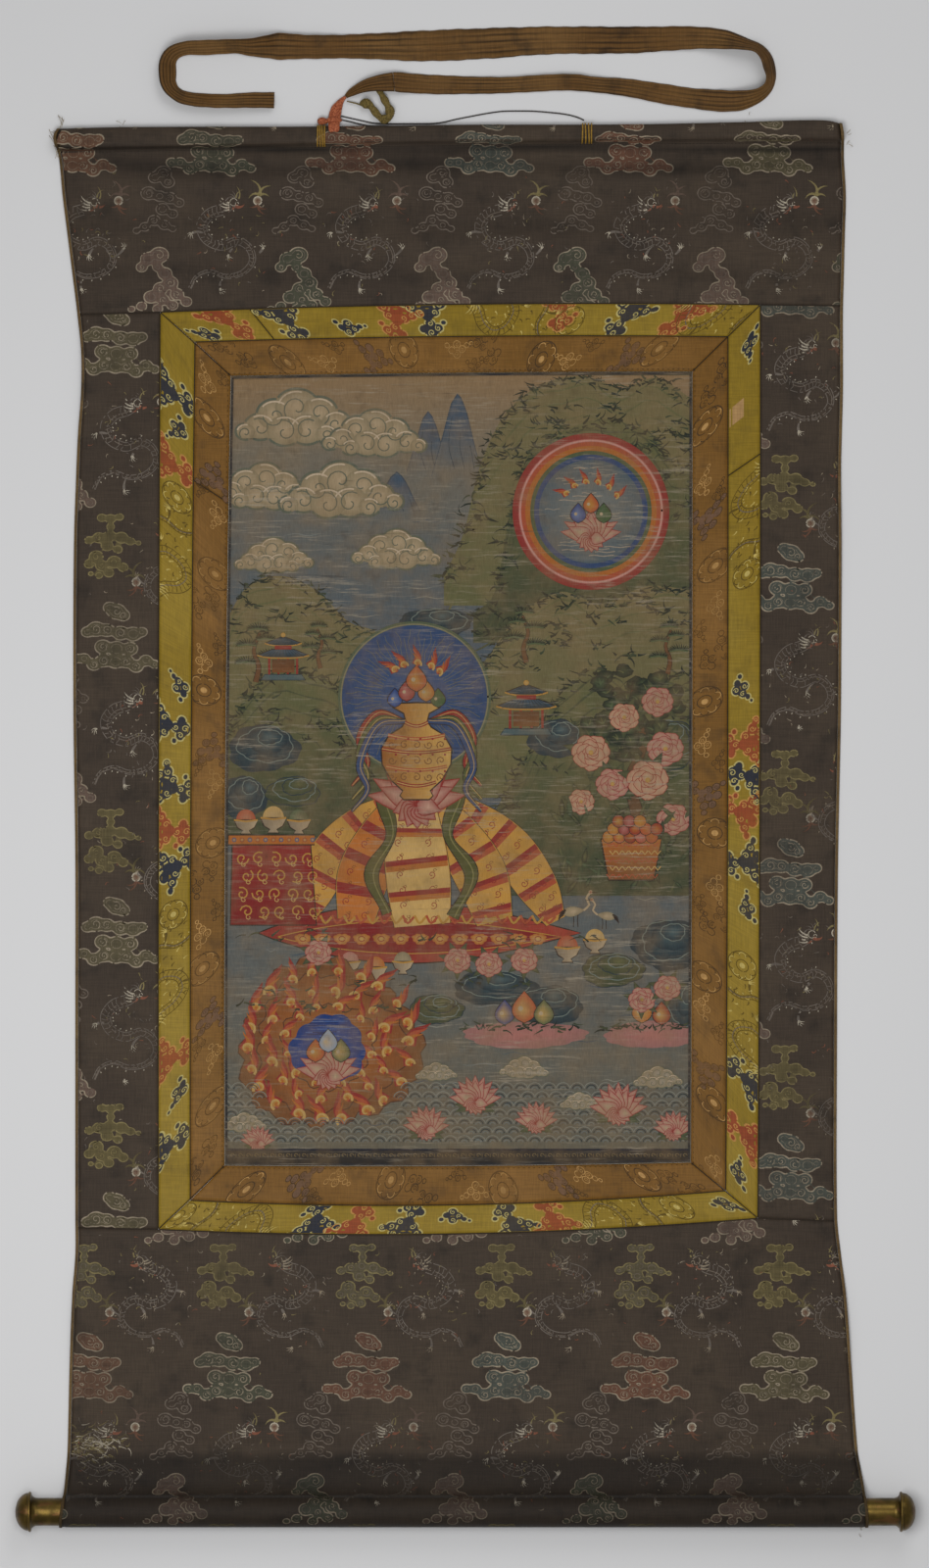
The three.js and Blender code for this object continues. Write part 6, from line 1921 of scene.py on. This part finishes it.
stroke(looped(border), 2.2, chart(44, 46, 46))

YELLOWING = (0.88, 0.78, 0.82)
painted, tree, shader = new_material("mineral_paint", 0.85, 0.12)
spot = node(tree, "ShaderNodeTexCoord").outputs["Object"]
dye = node(tree, "ShaderNodeAttribute", attribute_name="dye").outputs["Color"]
drift = noise(tree, spot, 30.0, 4.0)
colour = blend(tree, between(tree, drift, 0.35, 0.7), dye, blend(tree, 0.35, dye, chart(122, 106, 74)))
rubbed = noise(tree, spot, 420.0, 5.0, (0.07, 1, 1), 0.7)
where = between(tree, noise(tree, spot, 13.0, 3.0, (0.6, 1, 1)), 0.42, 0.72)
lines = maths(tree, "MULTIPLY", between(tree, rubbed, 0.52, 0.64),
              maths(tree, "MULTIPLY_ADD", where, 0.60, 0.14))
colour = blend(tree, lines, colour, chart(146, 142, 120))
dark = between(tree, noise(tree, spot, 380.0, 5.0, (0.05, 1, 1), 0.7), 0.60, 0.72)
colour = blend(tree, maths(tree, "MULTIPLY", dark, 0.4), colour, chart(42, 40, 36))
grime = between(tree, noise(tree, spot, 70.0, 5.0), 0.52, 0.78)
colour = blend(tree, maths(tree, "MULTIPLY", grime, 0.3), colour, chart(66, 54, 38))
ground_threads = noise(tree, spot, 1300.0, 2.0, (1, 0.12, 1))
tone = maths(tree, "MULTIPLY_ADD", ground_threads, 0.5, 0.75)
tones = [maths(tree, "MULTIPLY", tone, dulling) for dulling in YELLOWING]
colour = blend(tree, 1.0, colour, node(tree, "ShaderNodeCombineColor", dict(enumerate(tones))).outputs[0],
               "MULTIPLY")
tree.links.new(colour, shader.inputs["Base Color"])
relief = maths(tree, "ADD", rubbed, ground_threads)
bump = node(tree, "ShaderNodeBump", {"Height": relief, "Strength": 0.35, "Distance": 0.0002})
tree.links.new(bump.outputs["Normal"], shader.inputs["Normal"])

CANVAS_EDGES = [on_seam(2, side, np.linspace(0, 1, 40)) for side in (LEFT, RIGHT, BOTTOM, TOP)]
CANVAS_LIMITS = [lambda at, edge=edge, axis=axis: over_seam(edge, at, axis)
                 for edge, axis in zip(CANVAS_EDGES, (1, 1, 0, 0))]


def on_canvas(points, rises):
    """Places on the flat canvas as points on its paint, and which of them it doesn't reach."""
    u, v, missing = held_within(points, CANVAS_LIMITS)
    return np.stack([u, v, CANVAS + rises], 1), missing


laid_on("painting_coats", picture, on_canvas, painted, "painted_cotton")

# The roller: a plain turned stick of soft wood inside the lower sleeve, with a brass cap over each
# end. A cap is one spun piece: a neck over the stick's tenon, a hollow shoulder, a rim and a dome.
TENON_RADIUS = 10
TENON_LENGTH = 22
ROUND_SIDES = 96


def turned(profile, flip=1):
    """A turned shape lying along the roller, from pairs of radius and length."""
    radius, along = np.array(profile, float).T
    angle = np.arange(ROUND_SIDES) / ROUND_SIDES * 2 * math.pi
    points = np.stack([np.broadcast_to(along[:, None] * flip, (len(along), ROUND_SIDES)),
                       ROLLER_Y + radius[:, None] * np.cos(angle), AXIS_Z + radius[:, None] * np.sin(angle)],
                       -1)
    return points.reshape(-1, 3), round_faces(len(profile), ROUND_SIDES)


def closed_turning(name, profile, finish, flip=1):
    """A turned piece whose profile starts and ends on the axis, its poles closed."""
    piece = make(name, turned(profile, flip), finish)
    body = bmesh.new()
    body.from_mesh(piece.data)
    bmesh.ops.remove_doubles(body, verts=body.verts, dist=1e-7)
    bmesh.ops.recalc_face_normals(body, faces=body.faces)
    body.to_mesh(piece.data)
    body.free()
    piece.data.polygons.foreach_set("use_smooth", [True] * len(piece.data.polygons))
    piece.data.set_sharp_from_angle(angle=math.radians(40))
    return piece


def softened(profile, radius=0.35):
    """The profile with its corners rounded a little, as handling leaves them."""
    points = [np.array(p, float) for p in profile]
    out = [points[0]]
    for before, corner, after in zip(points, points[1:], points[2:]):
        into, away = before - corner, after - corner
        reach = min(radius, np.linalg.norm(into) / 2.5, np.linalg.norm(away) / 2.5)
        start, end = corner + into / np.linalg.norm(into) * reach, corner + away / np.linalg.norm(away) * reach
        for t in (0, 1 / 3, 2 / 3, 1):
            out.append(start * (1 - t) ** 2 + corner * 2 * t * (1 - t) + end * t ** 2)
    out.append(points[-1])
    return out


wood, tree, shader = new_material("roller_wood", 0.7, 0.25)
spot = node(tree, "ShaderNodeTexCoord").outputs["Object"]
grain = noise(tree, spot, 260.0, 4.0, (0.03, 1, 1))
tree.links.new(blend(tree, grain, chart(96, 70, 44), chart(140, 108, 72)), shader.inputs["Base Color"])
shoulder = CAP_MOUTH - GAP
end = shoulder + TENON_LENGTH
stick = closed_turning("roller_stick", softened([
    (0, -end), (TENON_RADIUS, -end), (TENON_RADIUS, -shoulder), (NECK_RADIUS, -shoulder),
    (NECK_RADIUS, shoulder), (TENON_RADIUS, shoulder), (TENON_RADIUS, end), (0, end)]), wood)
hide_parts("roller")

# Old brass: bright where hands have rubbed the rim, the neck and the tip, olive brown elsewhere
brass, tree, shader = new_material("old_brass", 0.38, 0.5, 0.9)
spot = node(tree, "ShaderNodeTexCoord").outputs["Object"]
cloudy = between(tree, noise(tree, spot, 70.0, 5.0), 0.35, 0.7)
turning = noise(tree, spot, 1500.0, 2.0, (1, 0.02, 0.02))
rubbed = between(tree, node(tree, "ShaderNodeNewGeometry").outputs["Pointiness"], 0.50, 0.56)
copper = between(tree, noise(tree, spot, 120.0, 4.0, (0.4, 1, 1)), 0.52, 0.64)
skin = blend(tree, cloudy, chart(58, 46, 18), chart(92, 74, 32))
skin = blend(tree, maths(tree, "MULTIPLY", copper, 0.55), skin, chart(104, 68, 44))
pits = between(tree, noise(tree, spot, 900.0, 3.0), 0.62, 0.74)
skin = blend(tree, maths(tree, "MULTIPLY", pits, 0.7), skin, chart(44, 36, 22))
skin = blend(tree, maths(tree, "MULTIPLY", rubbed, 0.7), skin, chart(150, 122, 60))
tree.links.new(skin, shader.inputs["Base Color"])
tree.links.new(maths(tree, "MULTIPLY_ADD", cloudy, -0.16, 0.46), shader.inputs["Roughness"])
bump = node(tree, "ShaderNodeBump", {"Height": maths(tree, "ADD", turning, pits), "Strength": 0.25,
                                     "Distance": 0.0001})
tree.links.new(bump.outputs["Normal"], shader.inputs["Normal"])


def cap_profile():
    """The cap's bore, neck band, hollow shoulder, rim and dome, as radius and length."""
    rim = CAP_TIP - 15.4
    depth = CAP_MOUTH + TENON_LENGTH + 2 * GAP
    bore = TENON_RADIUS + GAP
    start = [(0, depth), (bore, depth), (bore, CAP_MOUTH), (NECK_RADIUS, CAP_MOUTH)]
    band = [(NECK_RADIUS, CAP_MOUTH + 1.2), (NECK_RADIUS - 0.25, CAP_MOUTH + 1.6),
            (NECK_RADIUS - 0.25, CAP_MOUTH + 2), (NECK_RADIUS, CAP_MOUTH + 2.4)]
    cove = [(NECK_RADIUS, rim - 7)]
    for k in range(1, 10):
        angle = k / 9 * math.pi / 2
        cove.append((NECK_RADIUS + 5.2 * (1 - math.cos(angle)), rim - 7 + 6.1 * math.sin(angle)))
    edge = [(KNOB_RADIUS - 0.3, rim - 0.5), (KNOB_RADIUS, rim), (KNOB_RADIUS, rim + 1.2),
            (KNOB_RADIUS - 0.9, rim + 1.8), (KNOB_RADIUS - 1.25, rim + 1.9)]
    foot = rim + 1.9
    dome = [((KNOB_RADIUS - 1.25) * math.cos(a), foot + (CAP_TIP - foot) * math.sin(a))
            for a in np.linspace(0, math.pi / 2, 22)[1:]]
    dome[-1] = (0, CAP_TIP)
    return softened(start + band + cove + edge, 0.25) + dome


for cap_name, flip in (("cap_left", -1), ("cap_right", 1)):
    cap = closed_turning(cap_name + "_brass", cap_profile(), brass, flip)
    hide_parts(cap_name)

# The tie: a long strip of thin brown silk, creased lengthwise where it was wound round the scroll,
# its short first length gathered into the wrapping and sewn to the long one with one seam. It lies
# in a long open loop beyond the bar, on edge where it turns.
TIE_THICKNESS = 0.9
TIE_JOIN = 4
# Middle line, width, lean onto one edge, lift
TIE = np.array([
    (-122, 695.2, 4, 0, 1.6), (-116, 699.5, 8, 0, 3), (-104, 705, 12, 0, 5.8), (-91, 708, 16, 0, 7),
    (-73, 710, 20, 0, 4.6), (-50, 708.5, 20, 0, 1), (-20, 707.3, 19, 0, 0), (37, 707, 16.5, 8, 0),
    (101, 710, 17, 14, 0), (133, 707.5, 16, 10, 0), (165, 704.5, 18, 0, 0), (197, 699, 20, 0, 0),
    (229, 694, 20.5, 0, 0), (261, 691, 22, 6, 0), (281, 691.5, 21, 22, 0), (297, 696, 19, 48, 0),
    (307.5, 704, 19, 60, 0), (310.5, 714, 20, 60, 0), (309, 724, 20, 52, 0), (306, 734, 20, 52, 0),
    (298, 743, 20, 56, 0), (285, 747.5, 21, 50, 0), (261, 753, 22, 22, 0), (229, 755, 23.4, 5, 0),
    (165, 753, 27, 0, 0), (85, 752.6, 28, 0, 0), (21, 749.5, 31, 0, 0), (-43, 747, 31, 0, 0),
    (-107, 746.5, 25, 0, 0), (-155, 746, 24, -10, 0), (-187, 746.5, 27, -8, 0), (-203, 746, 24, -24, 0),
    (-219, 745.5, 22, -40, 0), (-235, 746.5, 20, -50, 0), (-267, 745, 20, -46, 0), (-284, 744.5, 19, -50, 0),
    (-297, 740, 19, -44, 0), (-303.5, 731, 20, -34, 0), (-304, 718, 20, -30, 0), (-303, 708, 19, -36, 0),
    (-297, 699, 18, -40, 0), (-283, 692.5, 18, -36, 0), (-251, 690, 18, -34, 0), (-219, 691, 18, -26, 0),
    (-195, 691, 18, -20, 0)])
TIE_COLUMNS = 29


def tie_grid(stations, phase):
    """Low and high points of a length of the tie, with its lengthwise creases and its small kinks."""
    line = through(stations, 2.2)
    along = heading(line[:, :2])
    run = run_along(line[:, :2]) + phase
    lean = np.radians(line[:, 3])
    flat = np.stack([-along[:, 1] * np.cos(lean), along[:, 0] * np.cos(lean), np.sin(lean)], 1)
    up = np.stack([along[:, 1] * np.sin(lean), -along[:, 0] * np.sin(lean), np.cos(lean)], 1)
    half = line[:, 2] / 2
    middle = np.stack([line[:, 0], line[:, 1], line[:, 4] + half * np.abs(np.sin(lean))], 1)
    share = np.linspace(-1, 1, TIE_COLUMNS)
    s, r = share[None, :], run[:, None]
    crease = (0.50 * np.sin(5.2 * s * math.pi + 0.9 * np.sin(r / 83) + 0.4)
              + 0.32 * np.sin(9.1 * s * math.pi + 1.3 * np.sin(r / 57 + 1))
              + 0.18 * np.sin(3.1 * s * math.pi + r / 41))
    kinks = 0.22 * np.sin(r / 3.7 + 3 * s + 2 * np.sin(r / 31)) * np.maximum(np.sin(r / 29 + s), 0)
    height = TIE_THICKNESS / 2 + 0.62 * (1 + crease) * (1 - 0.25 * s ** 6) + kinks
    ragged = 1 + 0.012 * np.sin(r / 7.3) + 0.014 * np.sin(r / 2.9)
    low = (middle[:, None, :] + flat[:, None, :] * (half[:, None] * s * ragged)[..., None]
           + up[:, None, :] * np.maximum(height - TIE_THICKNESS / 2, 0)[..., None])
    high = low + up[:, None, :] * TIE_THICKNESS
    low[..., 2] = np.maximum(low[..., 2], 0.0)
    place = np.stack([np.broadcast_to(half[:, None] * s, r.shape[:1] + share.shape),
                      np.broadcast_to(r, (len(line), TIE_COLUMNS)), np.zeros((len(line), TIE_COLUMNS))], -1)
    # Painted shade in the furrows between the creases, and the tie darker towards its edges
    furrow = np.clip(0.62 - (1 + crease) / 2, 0, 0.45)
    painted_shade = 0.72 * furrow / 0.45 * (0.7 + 0.3 * np.sin(r / 19)) + 0.12 * np.abs(s) ** 3
    return low, high, np.concatenate([place.reshape(-1, 3)] * 2) * MM, np.concatenate([painted_shade.ravel()] * 2)


tie_silk = woven_finish("tie_silk", chart(92, 64, 30), chart(116, 86, 48), 0.0008, 0.0005, 0.7, 0.55, 0.55,
                        0.5, 0.5,
                        0.00015, sheen=0.06)
for tie_name, rows, phase in (("tie_head", TIE[:TIE_JOIN + 1], 0), ("tie", TIE[TIE_JOIN:], 52)):
    low, high, places, painted_shade = tie_grid(rows, phase)
    if tie_name == "tie":
        for row, share in ((0, 0.0), (1, 0.3), (2, 0.7)):
            low[row], high[row] = lerp(head_end[0], low[row], share), lerp(head_end[1], high[row], share)
    else:
        head_end = low[-1].copy(), high[-1].copy()
        step = (low[-2] - low[-1]) / np.linalg.norm(low[-2] - low[-1], axis=1, keepdims=True) * GAP
        low[-1] += step
        high[-1] += step
    piece = make(tie_name + "_silk", sheet_shape(low, high, 0.2), tie_silk,
                 {"cloth": ("FLOAT_VECTOR", places), "painted_shade": ("FLOAT", painted_shade)})
    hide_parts(tie_name)

# What ties the cord and the tie to the bar: an orange silk wrapping that comes over the bar and
# tapers to the tie's gathered end, an orange knot beside it, a knotted cord of olive silk that hangs
# over the black one, and two lashings of yellow thread round the bar, four turns each.
WRAPPING = [
    (-134, 658.5, 11, 3.4, 0.7), (-134, 660, 11.1, 5.2, 1.1), (-134, 663, 10.8, 5.6, 1.2),
    (-134, 666.4, 9, 5.8, 1.3), (-134, 669, 6.4, 6, 1.8), (-133.6, 672.5, 4.6, 6.2, 3), (-133, 677, 4, 6, 3.4),
    (-131.6, 682, 3.6, 5.6, 3), (-129, 687, 3.2, 4, 2.6), (-126, 691.5, 2.8, 2.4, 1.8),
    (-122.4, 694.9, 2.6, 1.4, 1)]
KNOT = [
    (-150.2, 669.4, 3.6, 1, 1), (-149.4, 669.6, 3.8, 2.6, 2.6), (-146.8, 670, 4.1, 3.4, 3.6),
    (-143.8, 670, 4.1, 3.4, 3.6), (-141.6, 669.8, 3.8, 2.6, 2.6), (-140.4, 669.8, 3.6, 1, 1)]
OLIVE = [
    (-90, 706, 2.2, 1.6, 1.4), (-88.6, 703, 2.8, 3, 2.5), (-85, 696, 3.2, 3.2, 2.9),
    (-80.5, 688, 3.8, 3.6, 3.4), (-77, 680.5, 4.4, 4.2, 4), (-77.5, 674.5, 6.4, 4.2, 4),
    (-83, 671.6, 6.8, 4, 4), (-89, 675.5, 5, 3.7, 3.4), (-93.6, 681.4, 3.8, 3.4, 3.2),
    (-97.6, 686, 4.4, 4.2, 4), (-101.8, 688, 4.8, 4.8, 4.4), (-105.6, 688.4, 4, 3.2, 3),
    (-107, 688.4, 3.6, 1.2, 1.2)]


def yarns(stations, count, thick, lay, lumps):
    """Threads laid round a core like the turns of a rope: count tubes that follow the stations."""
    line = through(stations, 1.0)
    core, wide, tall = line[:, :3], line[:, 3], line[:, 4]
    if lumps:
        fading = np.sin(np.pi * np.linspace(0, 1, len(line))) ** 0.3
        swell = 1 + lumps * np.sin(np.arange(len(line)) / 1.9) * fading
        wide, tall = wide * swell, tall * swell
    across, up = crosswise(core)
    run = run_along(core)
    parts = [tube(core, wide * 0.82, tall * 0.82, 12)]
    for k in range(count):
        angle = 2 * math.pi * (k / count + run / lay)
        inside_wide, inside_tall = np.maximum(wide - thick * 0.8, 0.2), np.maximum(tall - thick * 0.8, 0.2)
        strand = (core + across * (inside_wide * np.cos(angle))[:, None]
                  + up * (inside_tall * np.sin(angle))[:, None])
        parts.append(tube(strand, thick, thick, 6))
    return joined(parts)


wrapping_silk = fibre_finish("wrapping_silk", chart(104, 44, 24), chart(176, 104, 70), 0.6, 600.0)
olive_thread = fibre_finish("olive_thread", chart(60, 50, 22), chart(126, 108, 60), 0.75, 700.0)
yellow_thread = fibre_finish("yellow_thread", chart(108, 80, 26), chart(150, 118, 48), 0.6, 800.0)
# A turn of the same silk over the wrapping, and the loose end of the olive cord
WRAPPING_TURN = [(-141.2, 670.6, 3.6, 1.2, 1.0), (-139.4, 671, 6.2, 2.4, 1.5), (-134, 671.2, 8.4, 2.8, 1.7),
                 (-128.6, 671, 6.2, 2.4, 1.5), (-126.8, 670.8, 3.6, 1.2, 1.0)]
OLIVE_END = [(-102, 684.6, 3.0, 0.9, 0.9), (-108, 687.0, 2.6, 0.8, 0.8), (-114, 688.8, 2.4, 0.7, 0.7),
             (-121, 690.4, 2.2, 0.5, 0.5)]
# Stations, number of yarns, their half thickness, their lay and how lumpy they lie
BOUND = {
    "wrapping": ([(WRAPPING, 9, 0.9, 60, 0.0), (WRAPPING_TURN, 5, 0.8, 10, 0.05)], wrapping_silk,
                 "wrapping_silk"),
    "knot": ([(KNOT, 7, 0.9, 14, 0.16)], wrapping_silk, "wrapping_silk"),
    "olive_cord": ([(OLIVE, 8, 0.95, 15, 0.17), (OLIVE_END, 5, 0.3, 10, 0.05)], olive_thread, "olive_thread"),
}
for piece_name, (lengths, finish, slot) in BOUND.items():
    piece = make(piece_name + "_thread", joined([yarns(*length) for length in lengths]), finish)
    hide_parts(piece_name)

LASHINGS = {"lashing_left": (-147, (-4, -1.6, 1.2, 3.8)), "lashing_right": (124, (-5, -1.9, 1.9, 4.8))}
LASHING_THREAD = 0.85
for lashing_name, (x, turns) in LASHINGS.items():
    crease, edge = float(read(TOP_BAR, 2, x)), float(read(TOP_BAR, 1, x))
    scale = (edge - crease) / BAR_DEPTH
    over = [(crease - 0.2, 2.0)] + [(crease + deep * scale, high) for deep, _, high in BAR_SECTION[1:]]
    over += [(crease + deep * scale, under) for deep, under, _ in BAR_SECTION[-2:][::-1]]
    parts = []
    for k, turn in enumerate(turns):
        route = np.array([(x + turn + 0.5 * math.sin(1.3 * k + 0.1 * (y - crease)), y, z) for y, z in over])
        step = np.gradient(route, axis=0)
        out = np.stack([np.zeros(len(route)), -step[:, 2], step[:, 1]], 1)
        out /= np.linalg.norm(out, axis=1, keepdims=True)
        parts.append(tube(through(route + out * (0.15 + LASHING_THREAD), 1.0), LASHING_THREAD,
                          LASHING_THREAD * 0.8, 10,
                          plies=3, lay=5.0, groove=0.2))
    piece = make(lashing_name + "_thread", joined(parts), yellow_thread)
    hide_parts(lashing_name)

# The sewing: a dark line sunk in every seam and mitre, which is sewing thread and painted shadow in the seam,
# a row of stitches under the bar and round the painting, and the frayed threads at the ends of the sleeve.
sewing_thread_and_seam_shadow = fibre_finish("sewing_thread_and_seam_shadow", chart(30, 25, 21), chart(52, 43, 34), 0.8, 900.0)
pale_thread = fibre_finish("pale_thread", chart(96, 80, 44), chart(150, 130, 84), 0.8, 900.0)
SEAM_LINE = 0.5
SEAM_SUNK = 0.42
# Spacing, length and thickness of the stitches under the bar and round the painting
BAR_STITCH = (3.6, 2.6, 0.55)
FRAME_STITCH = (5.2, 2.2, 0.45)


def on_cloth(plan, lift):
    """Plan points as points a little above the cloth."""
    plan = np.asarray(plan, float)
    return np.concatenate([plan, (rest(plan[:, 0], plan[:, 1]) + CLOTH + lift)[:, None]], 1)


def stitch_group():
    """Stitches of one length laid end to end along a line, at an even spacing."""
    group = bpy.data.node_groups.new("stitches", "GeometryNodeTree")
    add_socket = group.interface.new_socket
    add_socket("Geometry", in_out="INPUT", socket_type="NodeSocketGeometry")
    for key, value in (("Spacing", 0.004), ("Length", 0.0026), ("Thickness", 0.0006)):
        add_socket(key, in_out="INPUT", socket_type="NodeSocketFloat").default_value = value
    add_socket("Material", in_out="INPUT", socket_type="NodeSocketMaterial")
    add_socket("Geometry", in_out="OUTPUT", socket_type="NodeSocketGeometry")
    given = group.nodes.new("NodeGroupInput").outputs
    line = node(group, "GeometryNodeMeshToCurve", {"Mesh": given["Geometry"]}).outputs["Curve"]
    places = node(group, "GeometryNodeCurveToPoints", {"Curve": line, "Length": given["Spacing"]},
                  mode="LENGTH").outputs
    bead = node(group, "GeometryNodeMeshUVSphere", {"Segments": 6, "Rings": 5, "Radius": 0.5}).outputs["Mesh"]
    size = node(group, "ShaderNodeCombineXYZ", {
        "X": given["Thickness"], "Y": given["Thickness"], "Z": given["Length"]}).outputs["Vector"]
    sewn = node(group, "GeometryNodeInstanceOnPoints", {
        "Points": places["Points"], "Rotation": places["Rotation"], "Instance": bead,
        "Scale": size}).outputs["Instances"]
    real = node(group, "GeometryNodeRealizeInstances", {"Geometry": sewn}).outputs["Geometry"]
    dressed = node(group, "GeometryNodeSetMaterial", {"Geometry": real, "Material": given["Material"]})
    node(group, "NodeGroupOutput", {"Geometry": dressed.outputs["Geometry"]})
    return group


STITCHES = stitch_group()
SOCKETS = {item.name: item.identifier for item in STITCHES.interface.items_tree if item.in_out == "INPUT"}


def stitched(name, lines, spacing, length, thick):
    """Rows of stitches along lines in space, grown by geometry nodes and kept as a plain mesh."""
    points = np.concatenate(lines) * MM
    edges, start = [], 0
    for line in lines:
        edges += [(start + k, start + k + 1) for k in range(len(line) - 1)]
        start += len(line)
    guide_mesh = bpy.data.meshes.new(name + "_line")
    guide_mesh.from_pydata(points.tolist(), edges, [])
    guide = bpy.data.objects.new(name + "_line", guide_mesh)
    bpy.context.collection.objects.link(guide)
    grower = guide.modifiers.new("stitches", "NODES")
    grower.node_group = STITCHES
    for key, value in (("Spacing", spacing * MM), ("Length", length * MM), ("Thickness", thick * MM),
                       ("Material", sewing_thread_and_seam_shadow)):
        grower[SOCKETS[key]] = value
    bpy.context.view_layer.update()
    mesh = bpy.data.meshes.new_from_object(guide.evaluated_get(bpy.context.evaluated_depsgraph_get()))
    bpy.data.objects.remove(guide)
    mesh.name = name
    mesh.polygons.foreach_set("use_smooth", [True] * len(mesh.polygons))
    row = bpy.data.objects.new(name, mesh)
    bpy.context.collection.objects.link(row)
    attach(row, "root")


sewn_lines = []
for seam in (0, 1):
    for side in SIDE_NAMES:
        sewn_lines.append(on_seam(seam, side, np.linspace(0.001, 0.999, 160)))
for side in SIDE_NAMES:
    sewn_lines.append(lerp(on_seam(0, side, 0.0), on_seam(2, side, 0.0), np.linspace(0.01, 0.99, 24)[:, None]))
for seam, side, cut in ((0, TOP, "yellow_top"), (0, RIGHT, "yellow_right"), (1, LEFT, "orange_left")):
    ends = on_seam(seam, side, PIECED[cut]), on_seam(seam + 1, side, PIECED[cut])
    sewn_lines.append(lerp(*ends, np.linspace(0.02, 0.98, 12)[:, None]))
for side in (LEFT, RIGHT):
    for row, corner_end in ((top_line, TOP), (bottom_line, BOTTOM)):
        corner = on_seam(0, corner_end, 0.0 if (side == LEFT) == (corner_end == TOP) else 1.0)
        run = np.linspace(corner[0], float(inset(side, corner[1])), 24)
        sewn_lines.append(np.stack([run, over_seam(row, run, 0)], 1))
# Dark seam lines: sewing thread, with the seam's shadow painted into their dark colour
seams = [tube(on_cloth(line, -SEAM_SUNK), SEAM_LINE, SEAM_LINE * 0.7, sides=6) for line in sewn_lines]
make("seam_thread_and_shadow", joined(seams), sewing_thread_and_seam_shadow)

u = np.linspace(-384, 384, 200)
crease_row = on_cloth(np.stack([u, read(TOP_BAR, 2, u) - 2.2], 1), 0.15)
stitched("bar_stitches", [crease_row], *BAR_STITCH)
shares = np.linspace(0.002, 0.998, 120)
frame_rows = [on_cloth(lerp(on_seam(2, side, shares), on_seam(1, side, shares), 0.07),
                       0.1) for side in SIDE_NAMES]
stitched("frame_stitches", frame_rows, *FRAME_STITCH)

# Frayed threads: short bent hairs at the four ends of the sleeves, and the worn tufts on the bar
frays = random.Random(21)
FRAYED = [(-416, 640, 7, 26, 110), (-412, 662, 6, 13, 95), (-352, 664, 4, 9, 80), (291, 668, 3, 8, 70),
          (388, 650, 4, 6, 20), (-415, -752, 8, 9, 190), (402, -748, 7, 8, 0), (402, -764, 5, 7, -30)]
hairs = []
for x, y, spread_out, longest, turn in FRAYED:
    for _ in range(spread_out):
        start = np.array([x + frays.uniform(-3, 3), y + frays.uniform(-9, 9), frays.uniform(1.5, 9.0)])
        aim = math.radians(turn + frays.uniform(-55, 55))
        reach = frays.uniform(0.4, 1.0) * longest
        bend = frays.uniform(-0.9, 0.9)
        t = np.linspace(0, 1, 8)[:, None]
        out = np.array([math.cos(aim), math.sin(aim), 0.0])
        across_way = np.array([-out[1], out[0], 0.0])
        hair = start + out * reach * t + across_way * bend * reach * 0.4 * t ** 2 - (0, 0,
                                                                                     1.0) * t * (start[2] - 0.6)
        hairs.append(tube(hair, 0.22, 0.22, sides=5))
make("frayed_threads", joined(hairs), pale_thread)
